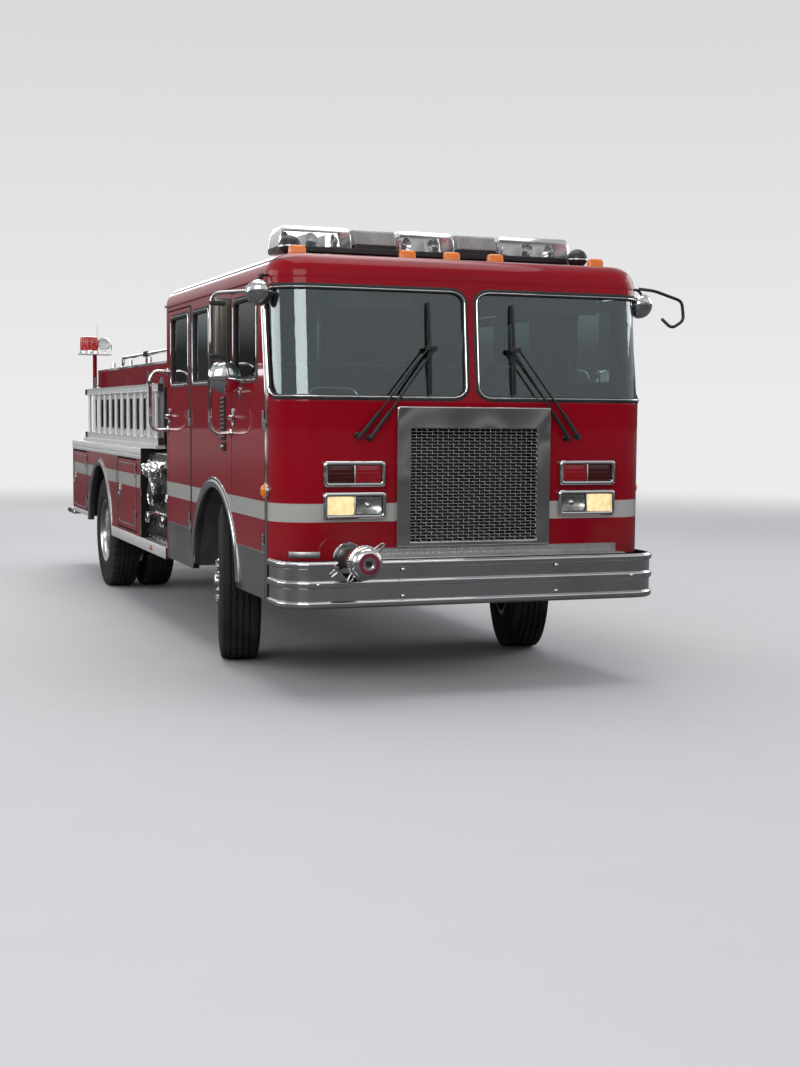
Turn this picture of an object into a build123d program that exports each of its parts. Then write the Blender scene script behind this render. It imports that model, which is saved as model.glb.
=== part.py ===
from build123d import *
from math import asin, cos, pi, radians, sin, sqrt
import os

os.makedirs("parts", exist_ok=True)

# A cab-forward fire engine with a four-door cab, a midship pump and a hose body.
# Millimetres. +Y points to the tail, +X to the vehicle's left, and the ground is Z = 0.
# The origin is under the middle of the whole vehicle.

SIDES = ((-1, "right"), (1, "left"))
SEAT_GAP = 0.3          # running or seating clearance between pieces that touch on the real one
DOOR_GAP = 10           # shut line round a cab or compartment door

# Stations along the vehicle
CAB_FACE_Y = -4040
CAB_LENGTH = 3140
PUMP_GAP = 25
PUMP_LENGTH = 1045
BODY_GAP = 10
BODY_LENGTH = 3820
TAILBOARD_LENGTH = 430
CAB_REAR = CAB_FACE_Y + CAB_LENGTH
PUMP_FRONT = CAB_REAR + PUMP_GAP
PUMP_REAR = PUMP_FRONT + PUMP_LENGTH
BODY_FRONT = PUMP_REAR + BODY_GAP
BODY_REAR = BODY_FRONT + BODY_LENGTH
TAIL_Y = BODY_REAR + TAILBOARD_LENGTH

# Cab
CAB_HALF_WIDTH = 1220
WALL = 45
CORNER_RADIUS = 230
SKIRT_Z = 564
WAIST_Z = 1752          # lower edge of the windscreens, where the face starts to lean back
ROOF_SEAM_Z = 2475
WINDSCREEN_LEAN = 75    # set-back of the face between the waist and the roof seam
ROOF_RISE = 150
ROOF_EDGE_RADIUS = 140
STRIP_SETBACK = 244     # corner strip behind the face
STRIP_LEAN = 125        # its further set-back at the roof seam
GLASS_THICKNESS = 8
GLASS_INSET = 14
GUTTER = 16             # drip rail over the side doors
GUTTER_HEIGHT = 14

# Windscreens
SCREEN_POST = 32        # half the centre post
SCREEN_SILL = 24
SCREEN_TOP_Z = ROOF_SEAM_Z - 50
SCREEN_RADIUS = 70
SCREEN_SIDE_MARGIN = 36

# Side doors and windows: front edge, rear edge
DOOR_TOP_Z = ROOF_SEAM_Z - 30
FRONT_DOOR = (CAB_FACE_Y + 290, CAB_FACE_Y + 1107)
REAR_DOOR = (CAB_REAR - 825, CAB_REAR - 60)
FRONT_DOOR_LEAN = 105   # the front door's leading edge follows the corner strip above the waist
SIDE_GLASS_Z = (WAIST_Z + 133, ROOF_SEAM_Z - 85)
SIDE_GLASS_RADIUS = 40
FRONT_DOOR_GLASS = (FRONT_DOOR[0] + 190, FRONT_DOOR[1] - 57)
REAR_DOOR_GLASS = (REAR_DOOR[0] + 60, REAR_DOOR[1] - 110)
FIXED_GLASS = (CAB_FACE_Y + 1730, REAR_DOOR[0] - 85)
HINGE_PROUD = 9         # hinge axis outside the panel
HINGE_RADIUS = 8
HINGE_LENGTH = 110
HINGE_LEAF = 22
HINGE_LEAF_OFFSET = 6   # from the axis to the near edge of a leaf
CAB_HINGES_Z = (900, WAIST_Z - 112)

# Wheels and axles
FRONT_AXLE_Y = CAB_FACE_Y + 1605
WHEELBASE = 4735
TYRE_RADIUS = 530
TYRE_WIDTH = 280
RIM_RADIUS = 286
RIM_FLANGE = 20
RIM_WALL = 18
RIM_HALF = 125
RIM_SHOULDER = 112      # where the flange starts
RIM_SEAT = 98           # half the flat seat under the tyre
DISC_THICKNESS = 14
BEAD = 96
BEAD_TAPER = 16
SIDEWALL_LOW = 60       # widest part of the sidewall, above the rim
SHOULDER_DROP = 80      # tread shoulder, below the tread
SHOULDER_IN = 20
SIDEWALL_FOOT = 10
TRACK_HALF = CAB_HALF_WIDTH - 180   # outer wheels' middle plane
DUAL_SPACING = 330
KINGPIN_X = TRACK_HALF - 110
REST_STEER = -13        # degrees: the front wheels stand turned to the vehicle's right
STEER_ARM = 170
STEER_ARM_Z = 440
AXLE_Z = TYRE_RADIUS
REAR_AXLE_Y = FRONT_AXLE_Y + WHEELBASE
ARCH_Z = 550
ARCH_RADIUS = 630
ARCH_BAND = 75          # width of the polished flare round a cab arch
BODY_ARCH_RADIUS = 620
BODY_ARCH_PANEL = 155    # length of one boxed panel over the rear wheels

# Chassis
RAIL_X = 430
RAIL_FLANGE = 80
RAIL_DEPTH = 250
RAIL_TOP = 960
RAIL_WALL = 10
RAIL_FRONT = CAB_FACE_Y + WALL + 10
RAIL_REAR = BODY_REAR - 5
RAIL_OUTER = RAIL_X + RAIL_FLANGE / 2
RAIL_CLEARANCE = 12

# Cab floor
FLOOR_Z = 850
FLOOR_THICKNESS = 30
TUNNEL_HALF = 520
TUNNEL_TOP = 1400
TUNNEL_REAR = CAB_REAR - 1000
TUNNEL_WALL = 30
REAR_FLOOR_Z = 1010
WHEELHOUSE_WALL = 15
WHEELHOUSE_PANELS = 7    # bent panels that make up each arch
WHEELHOUSE_INNER_X = TRACK_HALF - 465

# Bumper and front fittings
BUMPER_FRONT_Y = CAB_FACE_Y - 160
BUMPER_Z = (550, 825)
BUMPER_WALL = 12
DECK_TOP_Z = 838
DECK_X = (-660, 985)
RISER_TOP_Z = 885
RISER_THICKNESS = 6
INTAKE_X = -790
INTAKE_Z = 830
INTAKE_FRONT_Y = CAB_FACE_Y - 390
GRILLE_HALF = 501
GRILLE_Z = (892, 1727)
GRILLE_FRONT_Y = CAB_FACE_Y - 48
MESH_HALF = 412
MESH_Z = (921, 1597)

# Body
BODY_TOP = 1379
BODY_INNER_X = 570
BODY_WALL = 30
FRONT_LOCKER = (BODY_FRONT + 198, BODY_FRONT + 1099)
REAR_LOCKER = (BODY_REAR - 940, BODY_REAR - 40)
LOCKER_Z = (660, 1280)
LOCKER_DEPTH = 560
HOSE_BED_HALF = CAB_HALF_WIDTH - 270
HOSE_BED_TOP = 2120
HOSE_BED_WALL = 40
PUMP_HALF = CAB_HALF_WIDTH - 70
RUNNING_BOARD_Z = (541, 634)
BODY_BOTTOM = RUNNING_BOARD_Z[1] + SEAT_GAP
PUMP_PANEL_Z = (BODY_BOTTOM, 1350)
BOARD_REAR = REAR_AXLE_Y - 710
BOARD_INNER_X = CAB_HALF_WIDTH - 340
BOARD_OUTER_X = CAB_HALF_WIDTH + 10
BOARD_WALL = 10

# Frame, engine and axle details
CROSSMEMBERS = (
    CAB_FACE_Y + 90, CAB_REAR - 400, PUMP_FRONT + 175, BODY_FRONT + 170, REAR_AXLE_Y - 800,
    REAR_AXLE_Y + 800, BODY_REAR - 100,
)
CROSS_DEPTH = 130
CAB_OUTRIGGERS = (CAB_FACE_Y + 190, CAB_FACE_Y + 740)
OUTRIGGER_REACH = 760
REAR_CAB_MOUNTS = (CAB_REAR - 850, CAB_REAR - 150)
BODY_OUTRIGGERS = (BODY_FRONT + 220, REAR_AXLE_Y - 1000, REAR_AXLE_Y + 1000, BODY_REAR - 150)
BUMPER_BRACKET_Z = (715, 825)
TOW_EYE_Y = TAIL_Y - 35
TOW_EYE_Z = 500
TOW_EYE_RADIUS = 24
TOW_EYE_OUTER = 48
TOW_EYE_PLATE = 30
ENGINE_HALF = 370
ENGINE_Y = (CAB_FACE_Y + 590, CAB_FACE_Y + 1790)
ENGINE_MOUNTS = (ENGINE_Y[0] + 150, ENGINE_Y[1] - 150)
ENGINE_Z = (570, 1330)
GEARBOX_REAR = ENGINE_Y[1] + 750
GEARBOX_HALF = 210
GEARBOX_Z = (540, 860)
SHAFT_Z = 600
SHAFT_RADIUS = 48
DIFF_NOSE = 340
BEAM_Z = 470
BOSS_HALF = 55
KINGPIN_HALF = 105
KINGPIN_RADIUS = 22
REAR_SPINDLE_END = TRACK_HALF - 20
REAR_TUBE_RADIUS = 80
HUB_RADIUS = 120
HUB_CAP_RADIUS = 70
SPINDLE_RADIUS = 40
BEARING_RADIUS = SPINDLE_RADIUS + SEAT_GAP
STUD_RADIUS = 12
STUD_CLEARANCE = 0.8
DRUM_RADIUS = 205
DRUM_LIP = 20
DRUM_WALL = 15
HUB_CAP_HEIGHT = 40
HUB_CAP_WALL = 30
BOSS_RADIUS = 42
KNUCKLE_RADIUS = 45
BEAM_ROOT_X = KINGPIN_X - 80
BEAM_DROP_X = 610
BEAM_HALF_DEPTH = 55
BEAM_WIDTH = 90
NOSE_RADIUS = 70
DIFF_HALF = 90
DIFF_RADIUS = 210
REAR_TUBE_END = 660
SPRING_WIDTH = 76
FRONT_SPRING_HALF = 620
REAR_SPRING_HALF = 700
INTAKE_PIPE_RADIUS = 62

# Cab inside
SHROUD_REAR = CAB_FACE_Y + 340
SHROUD_TOP = 1640
SEAT_X = (TUNNEL_HALF + 50, CAB_HALF_WIDTH - 130)
FRONT_SEAT_Y = (CAB_FACE_Y + 760, CAB_FACE_Y + 1280)
FRONT_SEAT_Z = 1400
CUSHION = 140
BACKREST = 110
SEAT_BACK = 620
BENCH_Z = 1440
BENCH_HALF = CAB_HALF_WIDTH - 120
BENCH_DEPTH = 480
DASH_DEPTH = 330
DASH_HALF = CAB_HALF_WIDTH - 240
STEERING_TILT = 30
STEERING_X = DASH_HALF - 220
STEERING_RADIUS = 240

# Front fittings
MESH_ROWS = 24
MESH_COLUMNS = 26
MESH_BAR = 7
MESH_DEPTH = 8
MESH_Y = CAB_FACE_Y - 30
RADIATOR_HALF = 400
RADIATOR_Y = (CAB_FACE_Y + 80, CAB_FACE_Y + 180)
RADIATOR_Z = (975, 1560)
BUMPER_HALF = CAB_HALF_WIDTH + 16
BUMPER_RIDGE = 14
BUMPER_CORNER = 190
BUMPER_WRAP_Y = CAB_FACE_Y + 180
BUMPER_INNER_Y = BUMPER_FRONT_Y + BUMPER_RIDGE + BUMPER_WALL
BUMPER_BANDS = (  # low, high, how far the band stands out
    (550, 596, 14), (596, 660, 0), (660, 706, 14), (706, 779, 0), (779, 825, 14),
)
INTAKE_NOTCH = 112
INTAKE_EAR = 125
INTAKE_STEPS = (  # radius, near and far ends behind the cap's front
    (30, 0, 24), (88, 24, 70), (100, 70, 130), (84, 130, 190), (62, 190, 378),
    (95, 378, 390 - SEAT_GAP), (62, 390 - SEAT_GAP, 420),
)
LAMP_DEPTH = 46
LENS_RECESS = 10
BEZEL_RADIUS = 18
LENS_RADIUS = 8
LENS_SIDE = 26          # bezel taken from the width of each lens's half
LENS_EDGE = 34          # and from its height
CORNER_LAMP_DEPTH = 26
ROOF_LAMP_SIZE = (120, 60, 40)
FACE_LAMPS = (  # near and far edges from the middle, low and high edges
    (563, 956, 1062, 1222), (570, 955, 1251, 1406),
)
CORNER_LAMP_Z = 1220
CORNER_LAMP_RADIUS = 34
ROOF_TOP_Z = ROOF_SEAM_Z + ROOF_RISE
ROOF_LAMPS_X = (220 - CAB_HALF_WIDTH, -295, 0, 295, CAB_HALF_WIDTH - 220)
ROOF_LAMP_Y = CAB_FACE_Y + 370
WIPERS = ((-700, -275), (660, 275))  # pivot and tip, across the cab
WIPER_Z = 1547
WIPER_TIP_Z = 2065
WIPER_BOSS = 50
WIPER_BOSS_RADIUS = 20
WIPER_ARM_RADIUS = 7
WIPER_STAND_OFF = 34    # blade ahead of the glass
WIPER_BLADE = 290       # the part of the blade above the arm
BAR_HALF = CAB_HALF_WIDTH - 210
BAR_Y = CAB_FACE_Y + 870
BAR_DEPTH = 300
BAR_HEIGHT = 170
BAR_FOOT_HEIGHT = 60
BAR_FEET_X = (650, 760)

# Body fittings
ARCH_TRIM_FOOT = 600
FLARE_DEPTH = 14
STRIP_WIDTH = 40
STRIP_DEPTH = 10
STRIP_TOP_Z = 2460
TRAY_WALL = 40
TRAY_COUNT = 3
TRAY_Z = 1750
PUMP_PORTS = (  # behind the pump house's front, up, radius, reach
    (535, 1030, 95, 90), (225, 820, 45, 70), (815, 820, 45, 70), (375, 1240, 60, 30), (625, 1240, 60, 30),
)
LOCKER_HINGES_Z = (780, 1180)
HOSE_BED_FLOOR = 1420
TAILBOARD_Z = (590, 636)
LADDER_X = 120 - CAB_HALF_WIDTH
LADDER_Y = (BODY_FRONT - 240, BODY_REAR - 210)
LADDER_RAILS_Z = (1410, 1855)
LADDER_RAIL = 62
RUNG_PITCH = 320
RACK_HALF = 40
LADDER_HOOKS = (BODY_FRONT + 240, BODY_REAR - 800)
RAIL_HEIGHT = 2210
HANDRAIL_RADIUS = 16
HANDRAIL_BEND = 60
RAIL_END_Y = REAR_AXLE_Y + 300
BEACON_X = CAB_HALF_WIDTH - 160
BEACON_Y = BODY_REAR - 100
BEACON_Z = 2295
BEACON_RADIUS = 100
BEACON_HEIGHT = 190
BEACON_PLATE_HALF = (110, 120)
BEACON_PLATE = 12
BEACON_POST_HALF = 20
BEACON_POST_IN = 60     # post, inboard of the lens
MIRROR_X = CAB_HALF_WIDTH + 180
MIRROR_Y = CAB_FACE_Y + 840
MIRROR_TUBE = 11
MIRROR_Z = (1830, 2420)
MIRROR_BEND = 60
TALL_MIRROR_Z = (2010, 2400)
TALL_MIRROR_HALF = 95
TALL_MIRROR_DEPTH = 25
ROUND_MIRROR_Z = 1910
ROUND_MIRROR_RADIUS = 90
ROUND_MIRROR_DEPTH = 30
FRONT_DISC = 100
REAR_DISC = -150


def face_y(z):
    """Front face of the cab at a height: upright to the waist, leaning back above it."""
    rise = max(0, z - WAIST_Z) / (ROOF_SEAM_Z - WAIST_Z)
    return CAB_FACE_Y + WINDSCREEN_LEAN * rise


def strip_y(z):
    """Line of the bright strip on the cab's front corner."""
    rise = max(0, z - WAIST_Z) / (ROOF_SEAM_Z - WAIST_Z)
    return CAB_FACE_Y + STRIP_SETBACK + STRIP_LEAN * rise


def cab_plan(z, inset):
    """The cab's plan at a height, drawn in by inset, with round front corners."""
    front = face_y(z) + inset
    rear = CAB_REAR - inset
    with BuildSketch() as plan:
        with Locations((0, (front + rear) / 2)):
            Rectangle(2 * (CAB_HALF_WIDTH - inset), rear - front)
        fillet(plan.vertices().group_by(Axis.Y)[0], CORNER_RADIUS - inset)
    return plan.sketch


def cab_form(inset):
    """The closed form of the cab, or of its inside when inset is the wall."""
    with BuildPart() as form:
        for low, high in ((SKIRT_Z - inset, WAIST_Z), (WAIST_Z, ROOF_SEAM_Z)):
            for z in (low, high):
                with BuildSketch(Plane.XY.offset(z)):
                    add(cab_plan(z, inset))
            loft()
        with BuildSketch(Plane.XY.offset(ROOF_SEAM_Z)):
            add(cab_plan(ROOF_SEAM_Z, inset))
        extrude(amount=ROOF_RISE - inset)
        crown = form.faces().sort_by(Axis.Z)[-1]
        fillet(crown.edges().sort_by(Axis.Y)[:-1], ROOF_EDGE_RADIUS - inset)
    return form.part


def ahead_of_strip(margin):
    """Everything ahead of the corner strips, less a margin."""
    low, high = SKIRT_Z - 100, ROOF_SEAM_Z
    ahead = CAB_FACE_Y - 300
    with BuildPart() as region:
        with BuildSketch(Plane.YZ):
            with BuildLine():
                Polyline(
                    (ahead, low), (strip_y(low) - margin, low), (strip_y(WAIST_Z) - margin, WAIST_Z),
                    (strip_y(high) - margin, high), (ahead, high), close=True,
                )
            make_face()
        extrude(amount=CAB_HALF_WIDTH + 100, both=True)
    return region.part


def windscreen(side, clearance):
    """The opening for one windscreen pane, or the pane's own limits with a clearance."""
    inner = SCREEN_POST + clearance
    outer = CAB_HALF_WIDTH + 60
    low = WAIST_Z + SCREEN_SILL + clearance
    high = SCREEN_TOP_Z - clearance
    with BuildPart() as opening:
        with BuildSketch(Plane.XZ) as outline:
            with Locations((side * (inner + outer) / 2, (low + high) / 2)):
                Rectangle(outer - inner, high - low)
            corners = outline.vertices().group_by(Axis.X)[0 if side > 0 else -1]
            fillet(corners, SCREEN_RADIUS - clearance)
        extrude(amount=-2 * CAB_FACE_Y)
        add(ahead_of_strip(SCREEN_SIDE_MARGIN + clearance), mode=Mode.INTERSECT)
    return opening.part


def door_outline(edges, lean, gap):
    """Side view of a cab door's opening, or of the door itself with a gap."""
    front, rear = edges[0] + gap, edges[1] - gap
    low, high = SKIRT_Z - (0 if gap else 100), DOOR_TOP_Z - gap
    with BuildSketch() as outline:
        with BuildLine():
            leading = ((front, low), (front, WAIST_Z), (front + lean, high))
            Polyline(*leading, (rear, high), (rear, low), close=True)
        make_face()
        with Locations((FRONT_AXLE_Y, ARCH_Z)):
            Circle(ARCH_RADIUS + ARCH_BAND + gap, mode=Mode.SUBTRACT)
    return outline.sketch


def side_window(edges, clearance):
    """Side view of a side window's opening, or of its pane with a clearance."""
    front, rear = edges[0] + clearance, edges[1] - clearance
    low, high = SIDE_GLASS_Z[0] + clearance, SIDE_GLASS_Z[1] - clearance
    with BuildSketch() as outline:
        with Locations(((front + rear) / 2, (low + high) / 2)):
            RectangleRounded(rear - front, high - low, SIDE_GLASS_RADIUS - clearance)
    return outline.sketch


def tube(points, radius, bend):
    """A round tube along a route of straight runs and bends."""
    with BuildPart() as pipe:
        with BuildLine() as route:
            if len(points) > 2:
                FilletPolyline(*points, radius=bend)
            else:
                Polyline(*points)
        with BuildSketch(Plane(origin=route.line @ 0, z_dir=route.line % 0)):
            Circle(radius)
        sweep(path=route.line)
    return pipe.part


def hinge(side, edge_y, z, moving, panel_x):
    """One leaf of a side-door hinge: the fixed barrel sits under the moving one, on the same axis."""
    base = z + (SEAT_GAP if moving else -HINGE_LENGTH / 2)
    length = HINGE_LENGTH / 2 - (SEAT_GAP if moving else 0)
    axis_x = side * (panel_x + HINGE_PROUD)
    axis_y = edge_y + DOOR_GAP / 2
    way = 1 if moving else -1
    leaf_y = axis_y + way * (HINGE_LEAF / 2 + HINGE_LEAF_OFFSET)
    with BuildPart() as leaf:
        with BuildSketch(Plane.XY.offset(base)):
            with Locations((axis_x, axis_y)):
                Circle(HINGE_RADIUS)
            with Locations((side * (panel_x + HINGE_PROUD / 2), leaf_y)):
                Rectangle(HINGE_PROUD, HINGE_LEAF)
        extrude(amount=length)
    return leaf.part


def spindle_frame(side, steer, pivot_x, y):
    """Section plane of a wheel: local x runs out along the axle, local y runs up."""
    out = Vector(side, 0, 0).rotate(Axis.Z, steer)
    centre = Vector(side * pivot_x, y, AXLE_Z) + out * (TRACK_HALF - pivot_x)
    return Plane(origin=centre, x_dir=out, z_dir=out.cross(Vector(0, 0, 1)))


def tyre_solid(section, offset):
    """One tyre, revolved about the axle."""
    half = TYRE_WIDTH / 2
    bead_r = RIM_RADIUS + SEAT_GAP
    flange = RIM_RADIUS + RIM_FLANGE + SEAT_GAP
    half_outline = (  # from the bead out and up to the tread, as distance from the middle plane and radius
        (BEAD, bead_r), (BEAD + BEAD_TAPER, flange), (half - SIDEWALL_FOOT, flange),
        (half, RIM_RADIUS + SIDEWALL_LOW), (half, TYRE_RADIUS - SHOULDER_DROP),
        (half - SHOULDER_IN, TYRE_RADIUS),
    )
    near = [(offset - across, radius) for across, radius in half_outline]
    far = [(offset + across, radius) for across, radius in reversed(half_outline)]
    with BuildPart() as tyre:
        with BuildSketch(section):
            with BuildLine():
                Polyline(*near, *far, close=True)
            make_face()
        revolve(axis=Axis(section.origin, section.x_dir))
    return tyre.part


def wheel_solid(section, offset, disc, drop):
    """One disc wheel: the rim's barrel, with the disc set at a place along the axle."""
    bore = RIM_RADIUS - RIM_WALL
    flange = RIM_RADIUS + RIM_FLANGE
    with BuildPart() as wheel:
        with BuildSketch(section):
            with BuildLine():
                Polyline(
                    (offset - RIM_HALF, bore), (offset - RIM_HALF, flange), (offset - RIM_SHOULDER, flange),
                    (offset - RIM_SEAT, RIM_RADIUS), (offset + RIM_SEAT, RIM_RADIUS),
                    (offset + RIM_SHOULDER, flange), (offset + RIM_HALF, flange), (offset + RIM_HALF, bore),
                    close=True,
                )
            make_face()
            with BuildLine():
                Polyline(
                    (disc, HUB_RADIUS), (disc + drop, bore), (disc + drop + DISC_THICKNESS, bore),
                    (disc + DISC_THICKNESS, HUB_RADIUS), close=True,
                )
            make_face()
        revolve(axis=Axis(section.origin, section.x_dir))
    return wheel.part


def hub_solid(section, inner, drum_end, hub_end):
    """A hub with its brake drum behind the disc, bored for the spindle."""
    drum_bore = DRUM_RADIUS - DRUM_LIP
    with BuildPart() as hub:
        with BuildSketch(section):
            with BuildLine():
                Polyline(
                    (inner, drum_bore), (inner, DRUM_RADIUS), (drum_end, DRUM_RADIUS),
                    (drum_end, HUB_RADIUS), (hub_end - HUB_CAP_HEIGHT - 10, HUB_RADIUS),
                    (hub_end - HUB_CAP_HEIGHT, HUB_CAP_RADIUS), (hub_end, HUB_CAP_RADIUS - 12), (hub_end, 0),
                    (hub_end - HUB_CAP_WALL, 0), (hub_end - HUB_CAP_WALL, BEARING_RADIUS),
                    (drum_end - DRUM_WALL, BEARING_RADIUS), (drum_end - DRUM_WALL, drum_bore), close=True,
                )
            make_face()
        revolve(axis=Axis(section.origin, section.x_dir))
    return hub.part


def beam(points, width, plane):
    """A flat bar or forging whose side view is a closed outline, centred on its plane."""
    with BuildPart() as bar:
        with BuildSketch(plane):
            with BuildLine():
                Polyline(*points, close=True)
            make_face()
        extrude(amount=width / 2, both=True)
    return bar.part


def block(x, y, z):
    """A plain block between two stations on each axis."""
    with BuildPart() as solid:
        with BuildSketch(Plane.XY.offset(z[0])):
            with Locations(((x[0] + x[1]) / 2, (y[0] + y[1]) / 2)):
                Rectangle(x[1] - x[0], y[1] - y[0])
        extrude(amount=z[1] - z[0])
    return solid.part


def both_sides(x, y, z):
    """The same block on both sides, given on the left."""
    with BuildPart() as pair:
        add(block(x, y, z))
        mirror(about=Plane.YZ)
    return pair.part


# Chassis frame: two channel rails, with crossmembers, outriggers and brackets bolted to them.
with BuildPart() as chassis_frame:
    for side, _ in SIDES:
        with BuildSketch(Plane.XZ.offset(-RAIL_FRONT)):
            with Locations((side * RAIL_X, RAIL_TOP - RAIL_DEPTH / 2)):
                Rectangle(RAIL_FLANGE, RAIL_DEPTH)
            with Locations((side * (RAIL_X - RAIL_WALL), RAIL_TOP - RAIL_DEPTH / 2)):
                Rectangle(RAIL_FLANGE, RAIL_DEPTH - 2 * RAIL_WALL, mode=Mode.SUBTRACT)
        extrude(amount=-(RAIL_REAR - RAIL_FRONT))
    web = RAIL_OUTER - RAIL_WALL - SEAT_GAP
    inner_top = RAIL_TOP - RAIL_WALL - SEAT_GAP
    for y in CROSSMEMBERS:
        add(block((-web, web), (y - 30, y + 30), (inner_top - CROSS_DEPTH, inner_top)))
    outer = RAIL_OUTER + SEAT_GAP
    for y in CAB_OUTRIGGERS:
        add(both_sides((outer, OUTRIGGER_REACH), (y - 40, y + 40), (FLOOR_Z - 70, FLOOR_Z - SEAT_GAP)))
    for y in REAR_CAB_MOUNTS:
        mount_z = (RAIL_TOP + SEAT_GAP, REAR_FLOOR_Z - SEAT_GAP)
        add(both_sides((RAIL_X - 40, RAIL_X + 40), (y - 40, y + 40), mount_z))
    for y in BODY_OUTRIGGERS:
        add(both_sides((outer, BODY_INNER_X - SEAT_GAP), (y - 40, y + 40), (RAIL_TOP - 80, RAIL_TOP)))
    for y in ENGINE_MOUNTS:
        add(both_sides((ENGINE_HALF + SEAT_GAP, web), (y - 40, y + 40), (inner_top - 60, inner_top)))
    bracket_x = (RAIL_OUTER - RAIL_FLANGE, RAIL_OUTER)
    add(both_sides(bracket_x, (BUMPER_INNER_Y + SEAT_GAP, RAIL_FRONT - SEAT_GAP), BUMPER_BRACKET_Z))
    tail_z = (TAILBOARD_Z[0] - 50, TAILBOARD_Z[0] - SEAT_GAP)
    hanger_z = (tail_z[0], RAIL_TOP - RAIL_DEPTH - SEAT_GAP)
    add(both_sides(bracket_x, (RAIL_REAR - 90, RAIL_REAR), hanger_z))
    add(both_sides(bracket_x, (RAIL_REAR + SEAT_GAP, TAIL_Y - 5), tail_z))
    eye_top = tail_z[0] - SEAT_GAP
    for side, _ in SIDES:
        with BuildSketch(Plane.YZ.offset(side * RAIL_X - TOW_EYE_PLATE / 2)):
            with Locations((TOW_EYE_Y, (TOW_EYE_Z + eye_top) / 2)):
                Rectangle(2 * TOW_EYE_OUTER, eye_top - TOW_EYE_Z)
            with Locations((TOW_EYE_Y, TOW_EYE_Z)):
                Circle(TOW_EYE_OUTER)
                Circle(TOW_EYE_RADIUS, mode=Mode.SUBTRACT)
        extrude(amount=TOW_EYE_PLATE)
chassis_frame.part.label = "chassis_frame"
export_step(chassis_frame.part, "parts/chassis_frame.step")

# Engine and its gearbox, plain blocks between the rails.
with BuildPart() as engine_block:
    add(block((-ENGINE_HALF, ENGINE_HALF), ENGINE_Y, ENGINE_Z))
engine_block.part.label = "engine_block"
export_step(engine_block.part, "parts/engine_block.step")

# Driveline: gearbox, and the shaft back to the rear axle's nose.
with BuildPart() as driveline:
    add(block((-GEARBOX_HALF, GEARBOX_HALF), (ENGINE_Y[1] + SEAT_GAP, GEARBOX_REAR), GEARBOX_Z))
    shaft_ends = (GEARBOX_REAR + SEAT_GAP, REAR_AXLE_Y - DIFF_NOSE - SEAT_GAP)
    add(tube([(0, y, SHAFT_Z) for y in shaft_ends], SHAFT_RADIUS, 0))
driveline.part.label = "driveline"
export_step(driveline.part, "parts/driveline.step")

# Axles. The front beam drops between the springs and rises to the kingpin bosses.
with BuildPart() as axles:
    half_outline = (  # across and up, along the underside and back along the top
        (BEAM_DROP_X, BEAM_Z - BEAM_HALF_DEPTH), (BEAM_ROOT_X, AXLE_Z - BEAM_WIDTH / 2),
        (BEAM_ROOT_X, AXLE_Z + BEAM_WIDTH / 2), (BEAM_DROP_X, BEAM_Z + BEAM_HALF_DEPTH),
    )
    other_half = [(-x, z) for x, z in reversed(half_outline)]
    add(beam([*half_outline, *other_half], BEAM_WIDTH, Plane.XZ.offset(-FRONT_AXLE_Y)))
    for side, _ in SIDES:
        with BuildSketch(Plane.XZ.offset(-FRONT_AXLE_Y)):
            with Locations((side * (BEAM_ROOT_X + KINGPIN_X) / 2, AXLE_Z)):
                Rectangle(KINGPIN_X - BEAM_ROOT_X, BEAM_WIDTH)
        extrude(amount=35, both=True)
        with BuildSketch(Plane.XY.offset(AXLE_Z - BOSS_HALF)):
            with Locations((side * KINGPIN_X, FRONT_AXLE_Y)):
                Circle(BOSS_RADIUS)
        extrude(amount=2 * BOSS_HALF)
        with BuildSketch(Plane.XY.offset(AXLE_Z - KINGPIN_HALF)):
            with Locations((side * KINGPIN_X, FRONT_AXLE_Y)):
                Circle(KINGPIN_RADIUS)
        extrude(amount=2 * KINGPIN_HALF)
    rear_section = Plane(origin=(0, REAR_AXLE_Y, AXLE_Z), x_dir=(1, 0, 0), z_dir=(0, -1, 0))
    with BuildSketch(rear_section):
        with BuildLine():
            half_outline = (
                (DIFF_HALF, DIFF_RADIUS), (DIFF_RADIUS, REAR_TUBE_RADIUS), (REAR_TUBE_END, REAR_TUBE_RADIUS),
                (REAR_TUBE_END + 20, SPINDLE_RADIUS), (REAR_SPINDLE_END, SPINDLE_RADIUS),
                (REAR_SPINDLE_END, 0),
            )
            other_half = [(-x, radius) for x, radius in reversed(half_outline)]
            Polyline(*half_outline, *other_half, close=True)
        make_face()
    revolve(axis=Axis((0, REAR_AXLE_Y, AXLE_Z), (1, 0, 0)))
    with BuildSketch(Plane.XZ.offset(-REAR_AXLE_Y + DIFF_NOSE)):
        with Locations((0, SHAFT_Z)):
            Circle(NOSE_RADIUS)
    extrude(amount=-DIFF_NOSE)
axles.part.label = "axles"
export_step(axles.part, "parts/axles.step")

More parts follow.
